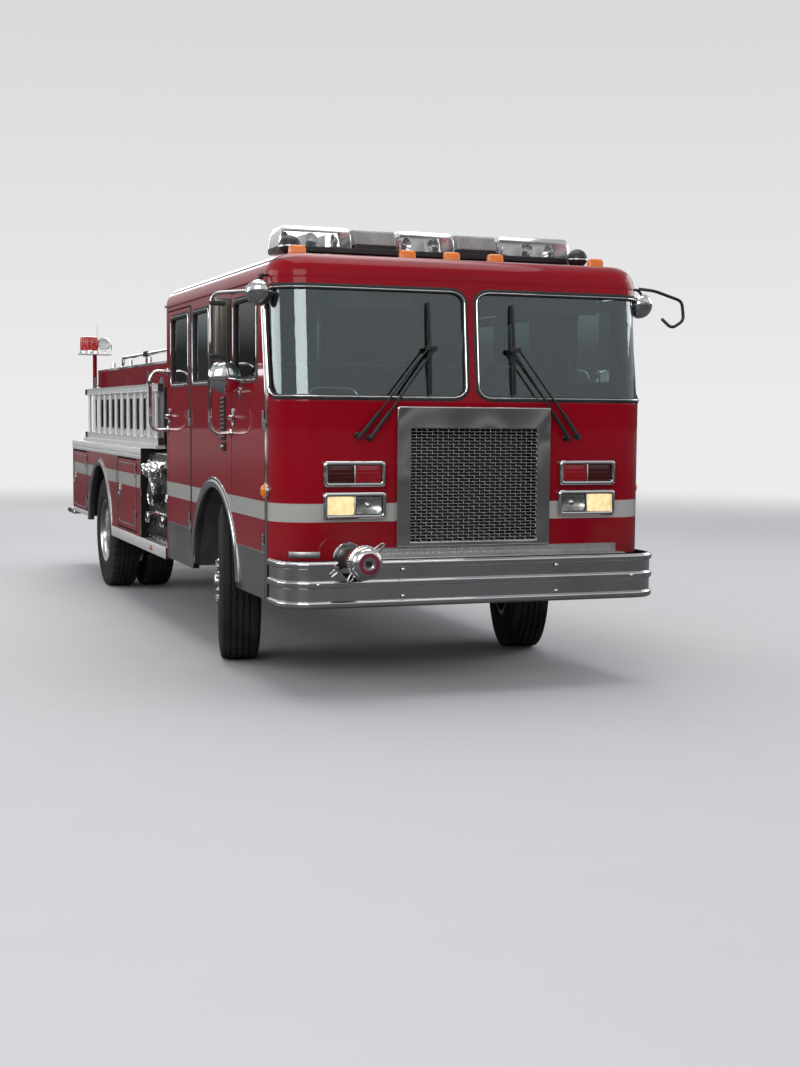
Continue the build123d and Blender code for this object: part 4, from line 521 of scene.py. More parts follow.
# %% Enamel
def enamel(name, stripe=True, skirt=False, cab=False, soft=0.004, painted_ladder_shade=False, bare=False):
    """Lacquered red. Road film is a cloud of noise that fades out with height; orange peel is a very low bump."""
    f = Finish(name, Specular_IOR_Level=0.05, Coat_Roughness=0.03, Coat_IOR=1.27)
    if soft:
        f.soften(soft)
    film = f.step(f.z, 0.55, 1.5, 0.16, 0.01) * f.step(f.noise(2.2, 5), 0.35, 0.75)
    fade = f.step(f.noise(0.9, 2), 0.3, 0.7)
    colour = f.mix(fade, RED, (RED[0] * 0.86, RED[1], RED[2]))
    lacquer = 1.0 - film
    rough = 0.32 + film * 0.35
    metal = f.z * 0.0
    if stripe:
        line = f.band(f.z, *STRIPE)
        if skirt or bare:
            line = line * (abs(f.x) > CAB_HALF - 0.004)
        colour = f.mix(line, colour, f.mix(f.cells(420) < 0.35, STRIPE_WHITE, (0.34, 0.335, 0.31)))
        rough = rough + line * 0.1
    colour = f.mix(film, colour, DUST)
    if skirt:
        low = f.band(f.z, *SKIRT) * f.step(abs(f.x), CAB_HALF - 0.012, CAB_HALF - 0.006)
        grain = f.noise(60, 2, (1, 1, 14))
        colour = f.mix(low, colour, f.mix(grain, (0.55, 0.56, 0.57), (0.68, 0.68, 0.69)))
        metal = low
        rough = rough * (1.0 - low) + low * (0.13 + grain * 0.14)
        lacquer = lacquer * (1.0 - low)
    if cab:
        lean = ((f.z - WAIST_Z) * (SCREEN_LEAN / (ROOF_SEAM_Z - WAIST_Z))).either(0.0)
        out = (abs(f.x) - (CAB_HALF - CORNER)).either(0.0)
        fore = (lean + (CAB_FACE + CORNER) - f.y).either(0.0)
        deep = (out * out + fore * fore < (CORNER - WALL + 0.012) ** 2) * (f.y < CAB_REAR - WALL + 0.012) * (f.z < 2.59)
        colour = f.mix(deep, colour, f.mix(f.noise(30), (0.045, 0.045, 0.048), (0.07, 0.07, 0.074)))
        rough = rough * (1.0 - deep) + deep * 0.6
        lacquer = lacquer * (1.0 - deep)
        metal = metal * (1.0 - deep)
    if bare:
        # The lockers are unpainted inside, and their tops are bare plate to stand on.
        plain = (abs(f.x) < CAB_HALF - LOCKER_WALL) * (f.y > LOCKER_ENDS[0]) * (f.y < LOCKER_ENDS[1])
        plain = plain.either(f.z > LOCKER_TOP)
        colour = f.mix(plain, colour, f.mix(f.noise(18, 4), (0.44, 0.44, 0.44), (0.58, 0.58, 0.58)))
        rough = rough * (1.0 - plain) + plain * 0.42
        lacquer, metal = lacquer * (1.0 - plain), metal.either(plain * 0.6)
    # The hinges, which alone stand proud of the sides, are bare steel.
    hinge = (abs(f.x) > CAB_HALF + 0.0008) * (f.z < 2.42)
    colour = f.mix(hinge, colour, (0.60, 0.60, 0.60))
    rough, lacquer = rough * (1.0 - hinge) + hinge * 0.22, lacquer * (1.0 - hinge)
    metal = metal.either(hinge)
    # Inside the wheel arches and behind the bumper the sheet is sprayed black. On the hose bed's right side behind the
    # ladder the same black is painted shade.
    up = (f.z - ARCH_Z) * (f.z - ARCH_Z)
    front, rear = ((f.y - y0) * (f.y - y0) + up < (radius + 0.004) ** 2 for y0, radius in ARCHES)
    black = front.either(rear)
    black = black.either(f.band(f.y, 0.170, 0.1845))
    # Painted shade: the hose bed's right side from 1.30 to 1.90 m high, behind the ladder, is coloured black as if in
    # the ladder's shadow.
    if painted_ladder_shade:
        black = black.either(f.band(f.z, 1.30, 1.90) * (f.x < -0.945))
    if cab and not skirt:
        black = black.either((f.z < 0.818) * (f.y < -3.80))
        black = black.either((abs(f.x) < 0.49) * (f.y > -4.039) * (f.z < 1.72))
    colour = f.mix(black, colour, f.mix(f.noise(9, 4), (0.009, 0.009, 0.009), (0.018, 0.017, 0.016)))
    rough, lacquer, metal = (value * (1.0 - black) for value in (rough, lacquer, metal))
    rough = rough + black * 0.65
    f.bump(f.noise(260, 1), 0.00006)
    if skirt:
        f.bump(f.noise(1.7, 1) * low, 0.05)
    f.set(Base_Color=colour, Roughness=rough, Coat_Weight=lacquer, Metallic=metal)
    return f.material


cab_enamel = enamel("cab enamel", cab=True)
side_enamel = enamel("cab side enamel", skirt=True, cab=True)
body_enamel = enamel("body enamel", soft=0, bare=True)
plain_enamel = enamel("plain enamel", stripe=False)

# %% [markdown]
# ## Bright metal
#
# Three bright metals sit side by side and should not look alike. Chrome plate is the darkest mirror and almost
# free of grain. Polished stainless sheet is nearly as bright but has the long fine lines of its polishing belt.
# Aluminium is paler and duller. Each is the same shader with other numbers and another stretch of noise.


# %% Chrome, stainless and aluminium
def bright_metal(name, pale, dull, rough, vary, grain=(1, 1, 1), scale=40.0, grime=0.25, metal=1.0, wave=0.0):
    """Metal whose colour and roughness follow noise stretched along the polishing, with patchy grime low down.
    wave is how many metres a sheet wanders out of true over half a metre, which makes its reflections swim."""
    f = Finish(name, Metallic=metal)
    f.soften(0.002)
    lines = f.noise(scale, 4, grain)
    smudge = f.step(f.noise(5, 4), 0.45, 0.75)
    film = f.step(f.z, 0.4, 1.6, grime, 0.03) * f.step(f.noise(3, 5), 0.4, 0.8)
    colour = f.mix(lines, dull, pale)
    if wave:
        f.bump(f.noise(1.7, 1), wave)
    colour = f.mix(film, colour, (0.24, 0.21, 0.18))
    f.set(Base_Color=colour, Roughness=rough + lines * vary + smudge * 0.05 + film * 0.25)
    return f


chrome, stainless, mesh_wire, alloy, wheel_alloy = (bright_metal(*look, **more).material for look, more in (
    (("chrome plate", (0.84, 0.85, 0.86), (0.78, 0.79, 0.80), 0.03, 0.03), {"wave": 0.015}),
    (("polished stainless", (0.72, 0.72, 0.70), (0.62, 0.62, 0.60), 0.05, 0.10, (1, 1, 16), 50), {"wave": 0.05}),
    (("mesh wire", (0.40, 0.40, 0.40), (0.30, 0.30, 0.30), 0.22, 0.1), {}),
    (("drawn aluminium", (0.84, 0.84, 0.83), (0.74, 0.74, 0.73), 0.36, 0.18, (20, 0.6, 20), 12), {"metal": 0.6}),
    (("wheel aluminium", (0.70, 0.70, 0.70), (0.60, 0.60, 0.60), 0.14, 0.14), {"scale": 25, "grime": 0.6}),
))  # fmt: skip


# %% Tread plate
def tread_plate(name, first, second, lug=0.030):
    """Rolled aluminium with raised lugs. The plane is cut into squares turned 45 degrees, each with a lens-shaped lug
    that lies one way in every other square: height is a smooth step of 1 - (a / 0.44)^2 - (b / 0.13)^2."""
    f = bright_metal(name, (0.66, 0.66, 0.66), (0.52, 0.52, 0.52), 0.24, 0.16, grime=0.7)
    across, along = (getattr(f, axis) for axis in (first, second))
    u, v = (across + along) / lug, (across - along) / lug
    odd = (u.math("FLOOR") + v.math("FLOOR")).math("FLOORED_MODULO", 2.0)
    near_u, near_v = u.math("FRACT") - 0.5, v.math("FRACT") - 0.5
    a = near_u * (1.0 - odd) + near_v * odd
    b = near_v * (1.0 - odd) + near_u * odd
    mound = 1.0 - a * a / 0.44**2 - b * b / 0.13**2
    f.bump(f.step(mound, 0.0, 0.45), 0.0016)
    return f.material


deck_plate = tread_plate("tread plate", "x", "y")
riser_plate = tread_plate("tread plate upright", "x", "z", 0.024)


# %% [markdown]
# ## Dull blacks, rubber and trim
#
# Black things differ only in how they scatter light, so each has its own roughness and its own grain: coarse and
# dusty on tyres, fine on moulded plastic, leathery on vinyl, and a greasy film on the frame.


# %% Blacks
def dull(name, dark, pale, rough, grain, height, dust=0.0, dust_top=1.2, **sockets):
    """A scattering surface: two close colours mixed by noise, a fine bump, and dust that fades with height."""
    f = Finish(name, **sockets)
    f.soften(0.003)
    patch = f.step(f.noise(7, 4), 0.35, 0.7)
    colour = f.mix(patch, dark, pale)
    if dust:
        settled = f.step(f.z, 0.0, dust_top, dust, dust * 0.15) * f.step(f.noise(4, 6), 0.3, 0.75)
        colour = f.mix(settled, colour, DUST)
    f.bump(f.noise(grain, 3), height)
    f.set(Base_Color=colour, Roughness=rough + patch * 0.12)
    return f.material


frame_black = dull("frame paint", (0.010, 0.010, 0.010), (0.018, 0.017, 0.016), 0.5, 180, 0.0002, 0.25)
cast_grey = dull("cast iron", (0.10, 0.10, 0.10), (0.15, 0.148, 0.145), 0.55, 300, 0.0004, 0.5)
black_plastic = dull("black plastic", (0.010, 0.010, 0.011), (0.018, 0.018, 0.019), 0.38, 900, 0.00008)
black_rubber = dull("black rubber", (0.012, 0.012, 0.012), (0.022, 0.022, 0.021), 0.62, 500, 0.0001, 0.15)
tyre_rubber = dull("tyre rubber", (0.0055, 0.0055, 0.006), (0.010, 0.0098, 0.0098), 0.75, 420, 0.0003, 0.10, 0.9)
cab_trim = dull("cab trim", (0.035, 0.035, 0.037), (0.06, 0.06, 0.062), 0.6, 260, 0.0003)
panel_black = dull("pump panel", (0.016, 0.016, 0.017), (0.030, 0.030, 0.031), 0.33, 700, 0.00012, 0.2)
panel_dark = dull("dial plate", (0.010, 0.010, 0.011), (0.020, 0.020, 0.021), 0.25, 400, 0.00004)
red_knob = dull("red handle", (0.35, 0.010, 0.012), (0.42, 0.014, 0.016), 0.4, 300, 0.00005)
fins = dull("cooling fins", (0.006, 0.006, 0.006), (0.014, 0.014, 0.014), 0.7, 90, 0.0006)


def vinyl():
    """Grained seat vinyl: cells give the pebbled grain, noise the shine of worn places."""
    f = Finish("seat vinyl", Sheen_Weight=0.15, Sheen_Roughness=0.4)
    pebble = f.step(f.cells(380), 0.1, 0.6)
    worn = f.step(f.noise(6, 4), 0.45, 0.75)
    f.bump(pebble, 0.0004)
    f.set(Base_Color=f.mix(worn, (0.030, 0.030, 0.032), (0.055, 0.054, 0.054)), Roughness=0.52 - worn * 0.15)
    return f.material


seat_vinyl = vinyl()


# %% [markdown]
# ## Glass and lenses
#
# Window glass has to do two things at once: mirror and bend what the camera sees, and still let the lamps through
# to the seats. Bent light from lamps is slow and noisy, so shadow and scattered rays meet a plain tinted
# Transparent shader instead, picked by Light Path. Lamp lenses are thick coloured plastic, with the flutes that
# spread the beam as a bump.


# %% Glass and plastic lenses
def pane(name, tint, rough=0.0, flutes=0.0, **sockets):
    """Clear sheet: a transmitting shader for the camera and a transparent one for shadow and scattered rays. flutes is
    the pitch of moulded prisms: upright ones follow a sine of x, and rows four times as wide a sine of z."""
    f = Finish(name, Base_Color=tint, Transmission_Weight=1.0, IOR=1.45, **sockets)
    smear = f.step(f.noise(2.5, 5), 0.5, 0.8) * 0.03
    if flutes:
        f.bump((f.x * (2 * math.pi / flutes)).math("SINE") + (f.z * (math.pi / 2 / flutes)).math("SINE"), 0.0006)
    f.set(Roughness=smear + rough)
    light = (f.ray("Shadow") + f.ray("Diffuse")).math("MINIMUM", 1.0)
    f.surface(f.blend(light, f.lit, f.node("ShaderNodeBsdfTransparent", None, {"Color": tint})))
    return f.material


window_glass = pane("window glass", (0.50, 0.55, 0.53))
coating = {"Coat_Weight": 1.0, "Coat_IOR": 1.68, "Coat_Roughness": 0.0, "Coat_Tint": (0.9, 0.97, 1.0)}
screen_glass = pane("screen glass", (0.46, 0.55, 0.54), **coating)
clear_lens = pane("clear lens", (0.86, 0.87, 0.87), 0.10)


def lens_plastic(name, colour, glow=0.0, flutes=0.006, through=0.35, rough=0.12):
    """Moulded lens: flutes are a sine of x, y or z folded into a bump; glow is light of the same colour from within."""
    f = Finish(name, Base_Color=colour, Transmission_Weight=through, IOR=1.49, Coat_Weight=0.6, Coat_Roughness=0.03)
    ridge = ((f.x + f.y) * (2 * math.pi / flutes)).math("SINE")
    row = (f.z * (2 * math.pi / (flutes * 4))).math("SINE")
    f.bump(ridge * 0.5 + row * 0.5, 0.0006)
    f.set(Roughness=f.step(f.noise(12), 0.4, 0.8) * 0.1 + rough)
    if glow:
        brighter = [min(1.0, c * 1.35 + 0.1 * glow) for c in colour]
        patches = f.mix(f.step(f.noise(26, 2), 0.35, 0.65), colour, brighter)
        f.set(Emission_Strength=glow, Emission_Color=patches)
    return f.material


amber_lens = lens_plastic("amber lens", (0.86, 0.22, 0.003), 0.10)
red_lens = lens_plastic("red lens", (0.45, 0.006, 0.008), 0.03)
dark_red_lens = lens_plastic("warning lens", (0.10, 0.002, 0.003), 0.01, through=0.6)
crimson_lens = lens_plastic("inner warning lens", (0.36, 0.002, 0.012), 0.06, through=0.5)
lamp_glass = pane("headlamp glass", (0.90, 0.90, 0.88), 0.02, 0.014)
lit_glass = lens_plastic("lit headlamp", (0.70, 0.56, 0.31), 0.60, 0.012, 0.3)
warm_core = lens_plastic("reflector core", (0.80, 0.10, 0.06), 0.10, 0.02, 0.0)


# %% CAD nodes take their finishes
def dress(finish, *names):
    """Puts one material on CAD nodes, in all their slots. A name that ends in _ stands for both hands."""
    for name in [name + hand for name in names for hand, _ in HANDS if name.endswith("_")] or names:
        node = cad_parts[name]
        node.data.materials.clear()
        node.data.materials.append(finish)


HANDS = (("right", -1), ("left", 1))
dress(cab_enamel, "cab_front", "cab_back")
dress(enamel("roof enamel", stripe=False, cab=True), "cab_roof")
dress(frame_black, "chassis_frame", "driveline", "axles", "leaf_springs", "tie_rod", "water_tank")
dress(cast_grey, "engine_block")
dress(cab_trim, "cab_floor")
dress(screen_glass, "cab_glass")
dress(stainless, "grille", "bright_trim", "front_bumper")
dress(fins, "radiator")
dress(chrome, "front_intake", "lamp_bezels", "pump_fittings", "handrails")
dress(amber_lens, "lamp_lenses")
dress(black_plastic, "wipers", "dashboard")
dress(clear_lens, "light_bar")
dress(seat_vinyl, "seats")
dress(panel_black, "pump_house")
dress(body_enamel, "side_compartments")
# The hose bed's right side behind the ladder carries painted shade.
dress(enamel("hose bed enamel", stripe=False, painted_ladder_shade=True), "hose_bed")
dress(deck_plate, "running_boards", "tailboard")
dress(alloy, "ladder_rack", "ladder")
dress(red_lens, "beacons")
dress(side_enamel, "cab_side_", "front_door_", "rear_door_")
dress(body_enamel, "front_locker_door_", "rear_locker_door_")
dress(window_glass, "front_door_glass_", "rear_door_glass_")
dress(chrome, "mirror_")
dress(tyre_rubber, "front_tyre_", "rear_tyres_")
dress(wheel_alloy, "front_wheel_", "rear_wheels_")
dress(frame_black, "knuckle_")
print("finishes:", len(bpy.data.materials))

# %% [markdown]
# ## The bumper: one profile rolled round two corners
#
# The bumper is chromed steel with three rolled ridges that run unbroken round both corners. Modelling the front,
# the corners and the ends apart would never give reflections that flow, so one upright profile is carried along a
# single route: in from one wheel arch, round a quarter circle, across the front and round the other side.

# %% Bumper
BUMPER_LOW, BUMPER_HIGH = 0.550, 0.825
BUMPER_FACE, BUMPER_REAR, BUMPER_HALF, BUMPER_CORNER = -4.200, -3.860, 1.236, 0.190
INTAKE_X, DIP = -0.790, 0.112


def corner_route(half, front, rear, radius, between):
    """Right side, round corner, front, round corner, left side: the corners are centre + radius (cos a, sin a)."""
    a = np.linspace(0, np.pi / 2, 14)
    right = np.c_[-half + radius - radius * np.cos(a), front + radius - radius * np.sin(a)]
    along = np.c_[between, np.full(len(between), front)]
    route = np.concatenate([[[-half, rear]], right, along, right[::-1] * (-1, 1), [[half, rear]]])
    return np.c_[route, np.zeros(len(route))]


def ridged(bands, low, high, proud):
    """Heights and depths of a rolled section: each band (low, high) stands proud with round edges, where the depth is
    proud times sqrt(1 - s^2) and s goes from 0 inside the band to 1 at its edge."""
    z = np.linspace(low, high, 90)
    depth = np.zeros(90)
    for start, end in bands:
        inside = np.clip(np.minimum(z - start, end - z) / 0.012, 0, 1)
        depth = np.maximum(depth, proud * np.sqrt(1 - (1 - inside) ** 2) * ((z >= start) & (z <= end)))
    return z, depth


bumper = Piece("bumper", "chrome", [chrome, stainless, black_plastic], ["front_bumper"])
ridge_bands = ((0.553, 0.592), (0.668, 0.712), (0.783, 0.822))
z, depth = ridged(ridge_bands, BUMPER_LOW, BUMPER_HIGH, 0.014)
outer = np.c_[depth - 0.014, z]
inner = np.c_[np.full(2, -0.026), (BUMPER_HIGH, BUMPER_LOW)]
near_intake = INTAKE_X + DIP * np.cos(np.linspace(np.pi, 0, 33))
route = corner_route(BUMPER_HALF, BUMPER_FACE, BUMPER_REAR, BUMPER_CORNER, near_intake)
skin, faces = swept(route, np.concatenate([outer, inner]))
# The top edge dips in a half circle round the intake: height is held below top - sqrt(DIP^2 - (x - INTAKE_X)^2).
circle_part = np.sqrt(np.maximum(DIP**2 - (skin[:, 0] - INTAKE_X) ** 2, 0))
dip = BUMPER_HIGH - circle_part * (np.abs(skin[:, 1] - BUMPER_FACE) < 0.05)
skin[:, 2] = np.minimum(skin[:, 2], np.maximum(dip, BUMPER_LOW))
bumper.add((skin, faces))

# Carriage bolts with low domed heads hold it to the brackets: height = 4.5 mm times sqrt(1 - (r / 13 mm)^2).
head = np.linspace(0.0, 1.0, 7)
dome = turned(np.c_[0.013 * np.sin(head * np.pi / 2), 0.0045 * np.cos(head * np.pi / 2)][::-1], around=20)
bolts = [(x, z) for x in (-0.50, 0.50) for z in (0.6105, 0.768)] + [(-1.02, 0.690), (1.02, 0.690)]
bumper.copies(dome, [place((x, BUMPER_FACE, z), X, Z) for x, z in bolts])
bumper.make()

# %% [markdown]
# ## Tread plate on top of the bumper
#
# The space between bumper and cab is closed by raised-pattern aluminium plate, with a small upturned strip at the
# back. A bump alone would look flat at the near edge, so each lug is a real low mound of a few dozen faces, copied
# to every place of a lattice.


# %% Deck plate and its lugs
def lug_mound(long, wide, high):
    """A lens-shaped mound: height = high (1 - (x / long)^2 - (y / wide)^2) over a grid of rings, flat at the rim."""
    ring = np.linspace(1, 0, 4)[:, None]
    a = np.linspace(0, 2 * np.pi, 10, endpoint=False)
    pinch = np.sign(np.sin(a)) * np.abs(np.sin(a)) ** 1.6
    points = np.stack([ring * long * np.cos(a), ring * wide * pinch, high * (1 - ring**2) + 0 * a], -1)
    return points.reshape(-1, 3), [quads(4, 10, False, True)]


deck = Piece("bumper_deck", "tread_plate", [deck_plate])
DECK_X, DECK_WIDE, DECK_HIGH, PITCH = 0.1625, 1.645, 0.8345, 0.021
plate = mm((2, -6), (0, -4), (0, 0), (2, 2))
upturn = mm((1, 0), (0, 1), (0, 5), (1, 6))
deck.add(slab(DECK_WIDE, 0.128, 0.006, plate, place((DECK_X, -4.107, DECK_HIGH))))
deck.add(slab(DECK_WIDE, 0.049, 0.004, upturn, fore(DECK_X, -4.0405, 0.8610)))
columns, rows = np.meshgrid(np.arange(-31, 47), np.arange(0, 6), indexing="ij")
mound = lug_mound(0.0085, 0.0030, 0.0016)
for which, slope in ((0, 1), (1, -1)):
    pick = (columns + rows) % 2 == which
    spots = zip(columns[pick] * PITCH, -4.160 + rows[pick] * PITCH)
    deck.copies(mound, [place((x, y, DECK_HIGH + 0.0019), (1, slope, 0), (-slope, 1, 0)) for x, y in spots])
    pick = (rows < 2) & pick
    spots = zip(columns[pick] * PITCH, 0.850 + rows[pick] * PITCH)
    deck.copies(mound, [place((x, -4.0466, z), (1, 0, slope), (-slope, 0, 1)) for x, z in spots])
# A small bright wear plate is bent round the cab's corner beside the intake.
turn_round = np.linspace(0, math.radians(40), 12)
wear = np.c_[-0.990 - CORNER * np.sin(turn_round), CAB_FACE + CORNER - CORNER * np.cos(turn_round), np.full(12, 0.852)]
wear = np.concatenate([[(-0.964, CAB_FACE, 0.852)], wear])
section = mm((1, -19), (-3, -19), (-4, -17), (-4, 17), (-3, 19), (1, 19))
deck.add(swept(wear, section))
deck.make()

# %% [markdown]
# ## The grille: crimped wire woven in a bright surround
#
# The mesh is the finest thing on the face. Real mesh is woven from crimped wire, so each wire waves over and under
# those that cross it. Straight bars in two layers would be right for the CAD, but a low sun shows the difference.
# Here every wire is a round bar along a sine: depth = amplitude times sin(pi x / pitch + phase), and neighbours take
# opposite phases, so the over of one is the under of the next.

# %% Woven mesh and surround
MESH_HALF, MESH_LOW, MESH_TOP, MESH_Y = 0.412, 0.921, 1.597, -4.074
GRILLE_HALF, GRILLE_LOW, GRILLE_TOP, GRILLE_FACE, GRILLE_BACK = 0.501, 0.892, 1.727, -4.088, -4.0403


def crimped(length, other_pitch, radius, amplitude, phase):
    """A six-sided wire from 0 to length, whose middle line is (x, 0, amplitude sin(pi x / pitch + phase))."""
    x = np.linspace(0, length, int(round(length / other_pitch)) * 4 + 1)
    path = np.c_[x, 0 * x, amplitude * np.sin(np.pi * (x / other_pitch - 0.5) + phase)]
    return swept(path, circle(radius, 6), (0, 1, 0))


grille = Piece("grille_mesh", "polished_steel", [mesh_wire], ["grille"])
across, upward = 24, 36
pitch_x, pitch_z = 2 * MESH_HALF / across, (MESH_TOP - MESH_LOW) / upward
for phase in (0.0, np.pi):
    lift = np.arange(0 if phase == 0 else 1, upward + 1, 2)
    level = [fore(-MESH_HALF, MESH_Y, MESH_LOW + k * pitch_z) for k in lift]
    grille.copies(crimped(2 * MESH_HALF, pitch_x, 0.0036, 0.0026, phase), level)
    shift = np.arange(0 if phase == 0 else 1, across + 1, 2)
    upright = [place((-MESH_HALF + k * pitch_x, MESH_Y, MESH_LOW), Z, (-1, 0, 0)) for k in shift]
    grille.copies(crimped(MESH_TOP - MESH_LOW, pitch_z, 0.0026, 0.0028, phase + np.pi), upright)
grille.make(smooth=70)


# The surround is one closed profile of rings, from its outer back edge over a rounded front to its inner back edge.
surround = Piece("grille_surround", "polished_steel", [stainless])
middle, edge = (GRILLE_LOW + GRILLE_TOP) / 2, 0.006
outer = (2 * GRILLE_HALF, GRILLE_TOP - GRILLE_LOW, 0, 0.010)
inner = (2 * MESH_HALF, MESH_TOP - MESH_LOW, (MESH_LOW + MESH_TOP) / 2 - middle, 0.008)
roll = ((0, GRILLE_BACK), (0, GRILLE_FACE + edge), (edge * 0.3, GRILLE_FACE + edge * 0.3), (edge, GRILLE_FACE))
rings = []
for (width, height, shift, corner), way in ((outer, 1), (inner, -1)):
    for inset, level in roll[::way]:
        outline = round_outline(width - 2 * way * inset, height - 2 * way * inset, corner)
        rings.append(np.c_[outline[:, 0], np.full(len(outline), level), outline[:, 1] + shift + middle])
surround.add(stacked(rings, closed=True)).make(smooth=12)

# %% [markdown]
# ## Lamps on the face
#
# Each side of the grille has two housings of pressed chrome, and each housing holds two lamps side by side. A lamp
# reads as real when there is depth behind its glass: a bright bowl, then a domed lens with moulded prisms. The
# outer headlamps are lit, as in the photograph, and the warning lamps above are dark red.


# %% Domed panes and bowls
def pillow(width, height, rise, depth, matrix, count=14):
    """A pane over a grid u, v from -1 to 1: height = rise (1 - u^4)(1 - v^4), with a skirt of the given depth."""
    s = np.linspace(-1, 1, count)
    s = np.sign(s) * (1 - (1 - np.abs(s)) ** 1.5)
    u, v = np.meshgrid(s, s, indexing="ij")
    squeeze = 1 - 0.035 * (u * v) ** 6
    points = [u * width / 2 * squeeze, v * height / 2 * squeeze, rise * (1 - u**4) * (1 - v**4)]
    points = np.stack(points, -1).reshape(-1, 3)
    number = np.arange(count * count).reshape(count, count)
    edge = np.concatenate([number[0], number[1:, -1], number[-1, -2::-1], number[-2:0:-1, 0]])
    skirt = points[edge] * (1, 1, 0) - (0, 0, depth)
    low = len(points) + np.arange(len(edge))
    sides = np.stack([edge, np.roll(edge, -1), np.roll(low, -1), low], -1)
    return moved(np.concatenate([points, skirt]), matrix), [quads(count, count), sides, low[None]]


def bowl(width, height, deep, matrix):
    """A reflector: depth = -deep (1 - min(1, u^2 + v^2)) over a grid, so it is a paraboloid in a flat flange."""
    s = np.linspace(-1, 1, 16)
    u, v = np.meshgrid(s, s, indexing="ij")
    points = np.stack([u * width / 2, v * height / 2, -deep * (1 - np.minimum(1, u**2 + v**2))], -1).reshape(-1, 3)
    return moved(points, matrix), [quads(16, 16)]


bezels = Piece("lamp_housings", "chrome", [chrome, frame_black], ["lamp_bezels"])
lit = Piece("headlamps_lit", "clear_lens", [lit_glass])
clear = Piece("headlamps_clear", "clear_lens", [lamp_glass, wheel_alloy, chrome])
warning = Piece("warning_lamps", "red_lens", [dark_red_lens, chrome, crimson_lens], ["lamp_lenses"])
LAMP_ROWS = ((0.563, 0.956, 1.062, 1.222, True), (0.570, 0.955, 1.251, 1.406, False))
# Each step of a housing's rim: how far in, how far forward, and the corner's radius.
RIM = (
    (0, 0.0003, 0.022), (0, 0.034, 0.022), (0.004, 0.042, 0.020), (0.010, 0.0455, 0.018), (0.019, 0.0460, 0.014),
    (0.0235, 0.043, 0.012), (0.0245, 0.030, 0.012), (0.0245, 0.0015, 0.012),
)  # fmt: skip
for hand, side in HANDS:
    for near, far, low, high, driving in LAMP_ROWS:
        width, height = far - near, high - low
        x, z = side * (near + far) / 2, (low + high) / 2
        outlines = [(round_outline(width - 2 * i, height - 2 * i, corner), level) for i, level, corner in RIM]
        at = fore(x, CAB_FACE, z)
        bezels.add(stacked([np.c_[outline, np.full(24, level)] for outline, level in outlines], at, True))
        inner_w, inner_h = width - 0.050, height - 0.050
        bezels.add(slab(inner_w, inner_h, 0.010, mm((0, 1), (0, 4)), at), 1)
        bezels.add(slab(0.010, inner_h, 0.002, mm((0, 4), (0, 36), (2, 37.5)), at))
        corners = [(a * (width / 2 - 0.011), b * (height / 2 - 0.011)) for a in (-1, 1) for b in (-1, 1)]
        screw = turned(mm((3.2, -2), (3, 0), (0, 1.2)), around=10)
        bezels.copies(screw, [fore(x + a, -4.0858, z + b) for a, b in corners])
        for half in (-1, 1):
            spot = fore(x + half * (inner_w / 4 + 0.0025), CAB_FACE, z)
            w, h = inner_w / 2 - 0.008, inner_h - 0.003
            level = spot @ place((0, 0, 0.0300))
            outer = half == side
            if driving and outer:
                lit.add(pillow(w, h, 0.006, 0.010, level))
            elif driving:
                clear.add(pillow(w, h, 0.006, 0.004, level))
                clear.add(bowl(w * 0.96, h * 0.94, 0.020, spot @ place((0, 0, 0.0255))), 1)
                bulb = mm((15, 0), (15, 8), (9, 13), (0, 14.5))
                clear.add(turned(bulb, spot @ place((0, 0, 0.0065)), 16), 2)
            else:
                warning.add(pillow(w, h, 0.005, 0.006, level), 0 if outer else 2)
                warning.add(bowl(w * 0.92, h * 0.9, 0.016, spot @ place((0, 0, 0.0225))), 1)
for piece in (bezels, lit, clear, warning):
    piece.make()

# %% [markdown]
# ## Marker lamps
#
# Five amber markers stand along the roof's front edge, and a round one sits on each corner strip. The roof's are
# stacked outlines that get smaller as they rise, a base with the lens above it. The round ones are turned.

# %% Roof and corner markers
amber_base = lens_plastic("amber base", (0.40, 0.08, 0.008), 0.02)
markers = Piece("marker_lamps", "lamp_lens", [amber_lens, amber_base, chrome])
base = mm((0, 0), (0, 6), (6, 12), (16, 20), (20, 22))
lens = mm((0, 4), (1, 40), (4, 52), (10, 60), (20, 63.5))
for x in (-1.0, -0.295, 0.0, 0.295, 1.0):
    at = place((x, -3.670, 2.6255))
    markers.add(slab(0.128, 0.060, 0.020, base, at), 1)
    markers.add(slab(0.104, 0.048, 0.012, lens, at))
ring = mm((48, 0), (48, 12), (44, 17), (37, 15))
lens = mm((0, 0), (39, 0), (39, 16), (35, 27), (26, 34), (13, 37.5), (0, 38.5))
for hand, side in HANDS:
    out = place((side * CAB_HALF, -3.796, 1.220), Y, (0, 0, side))
    markers.add(turned(lens, out, 32))
    markers.add(turned(ring, out, 32), 2)
markers.make()

# %% [markdown]
# ## Front suction intake
#
# A large capped pipe comes through the bumper for drawing water. It is a turned casting, so one outline spun about
# its own axis gives the cap, the red indicator ring, the swivel and the flange. The two long handles of the cap
# are bent rods.

# %% Intake, cap and handles
def disc_ring(inner, outer, low, high):
    """Cross-section of a flat ring, to be turned and closed on itself."""
    return [(inner, low), (outer, low), (outer, high), (inner, high)]


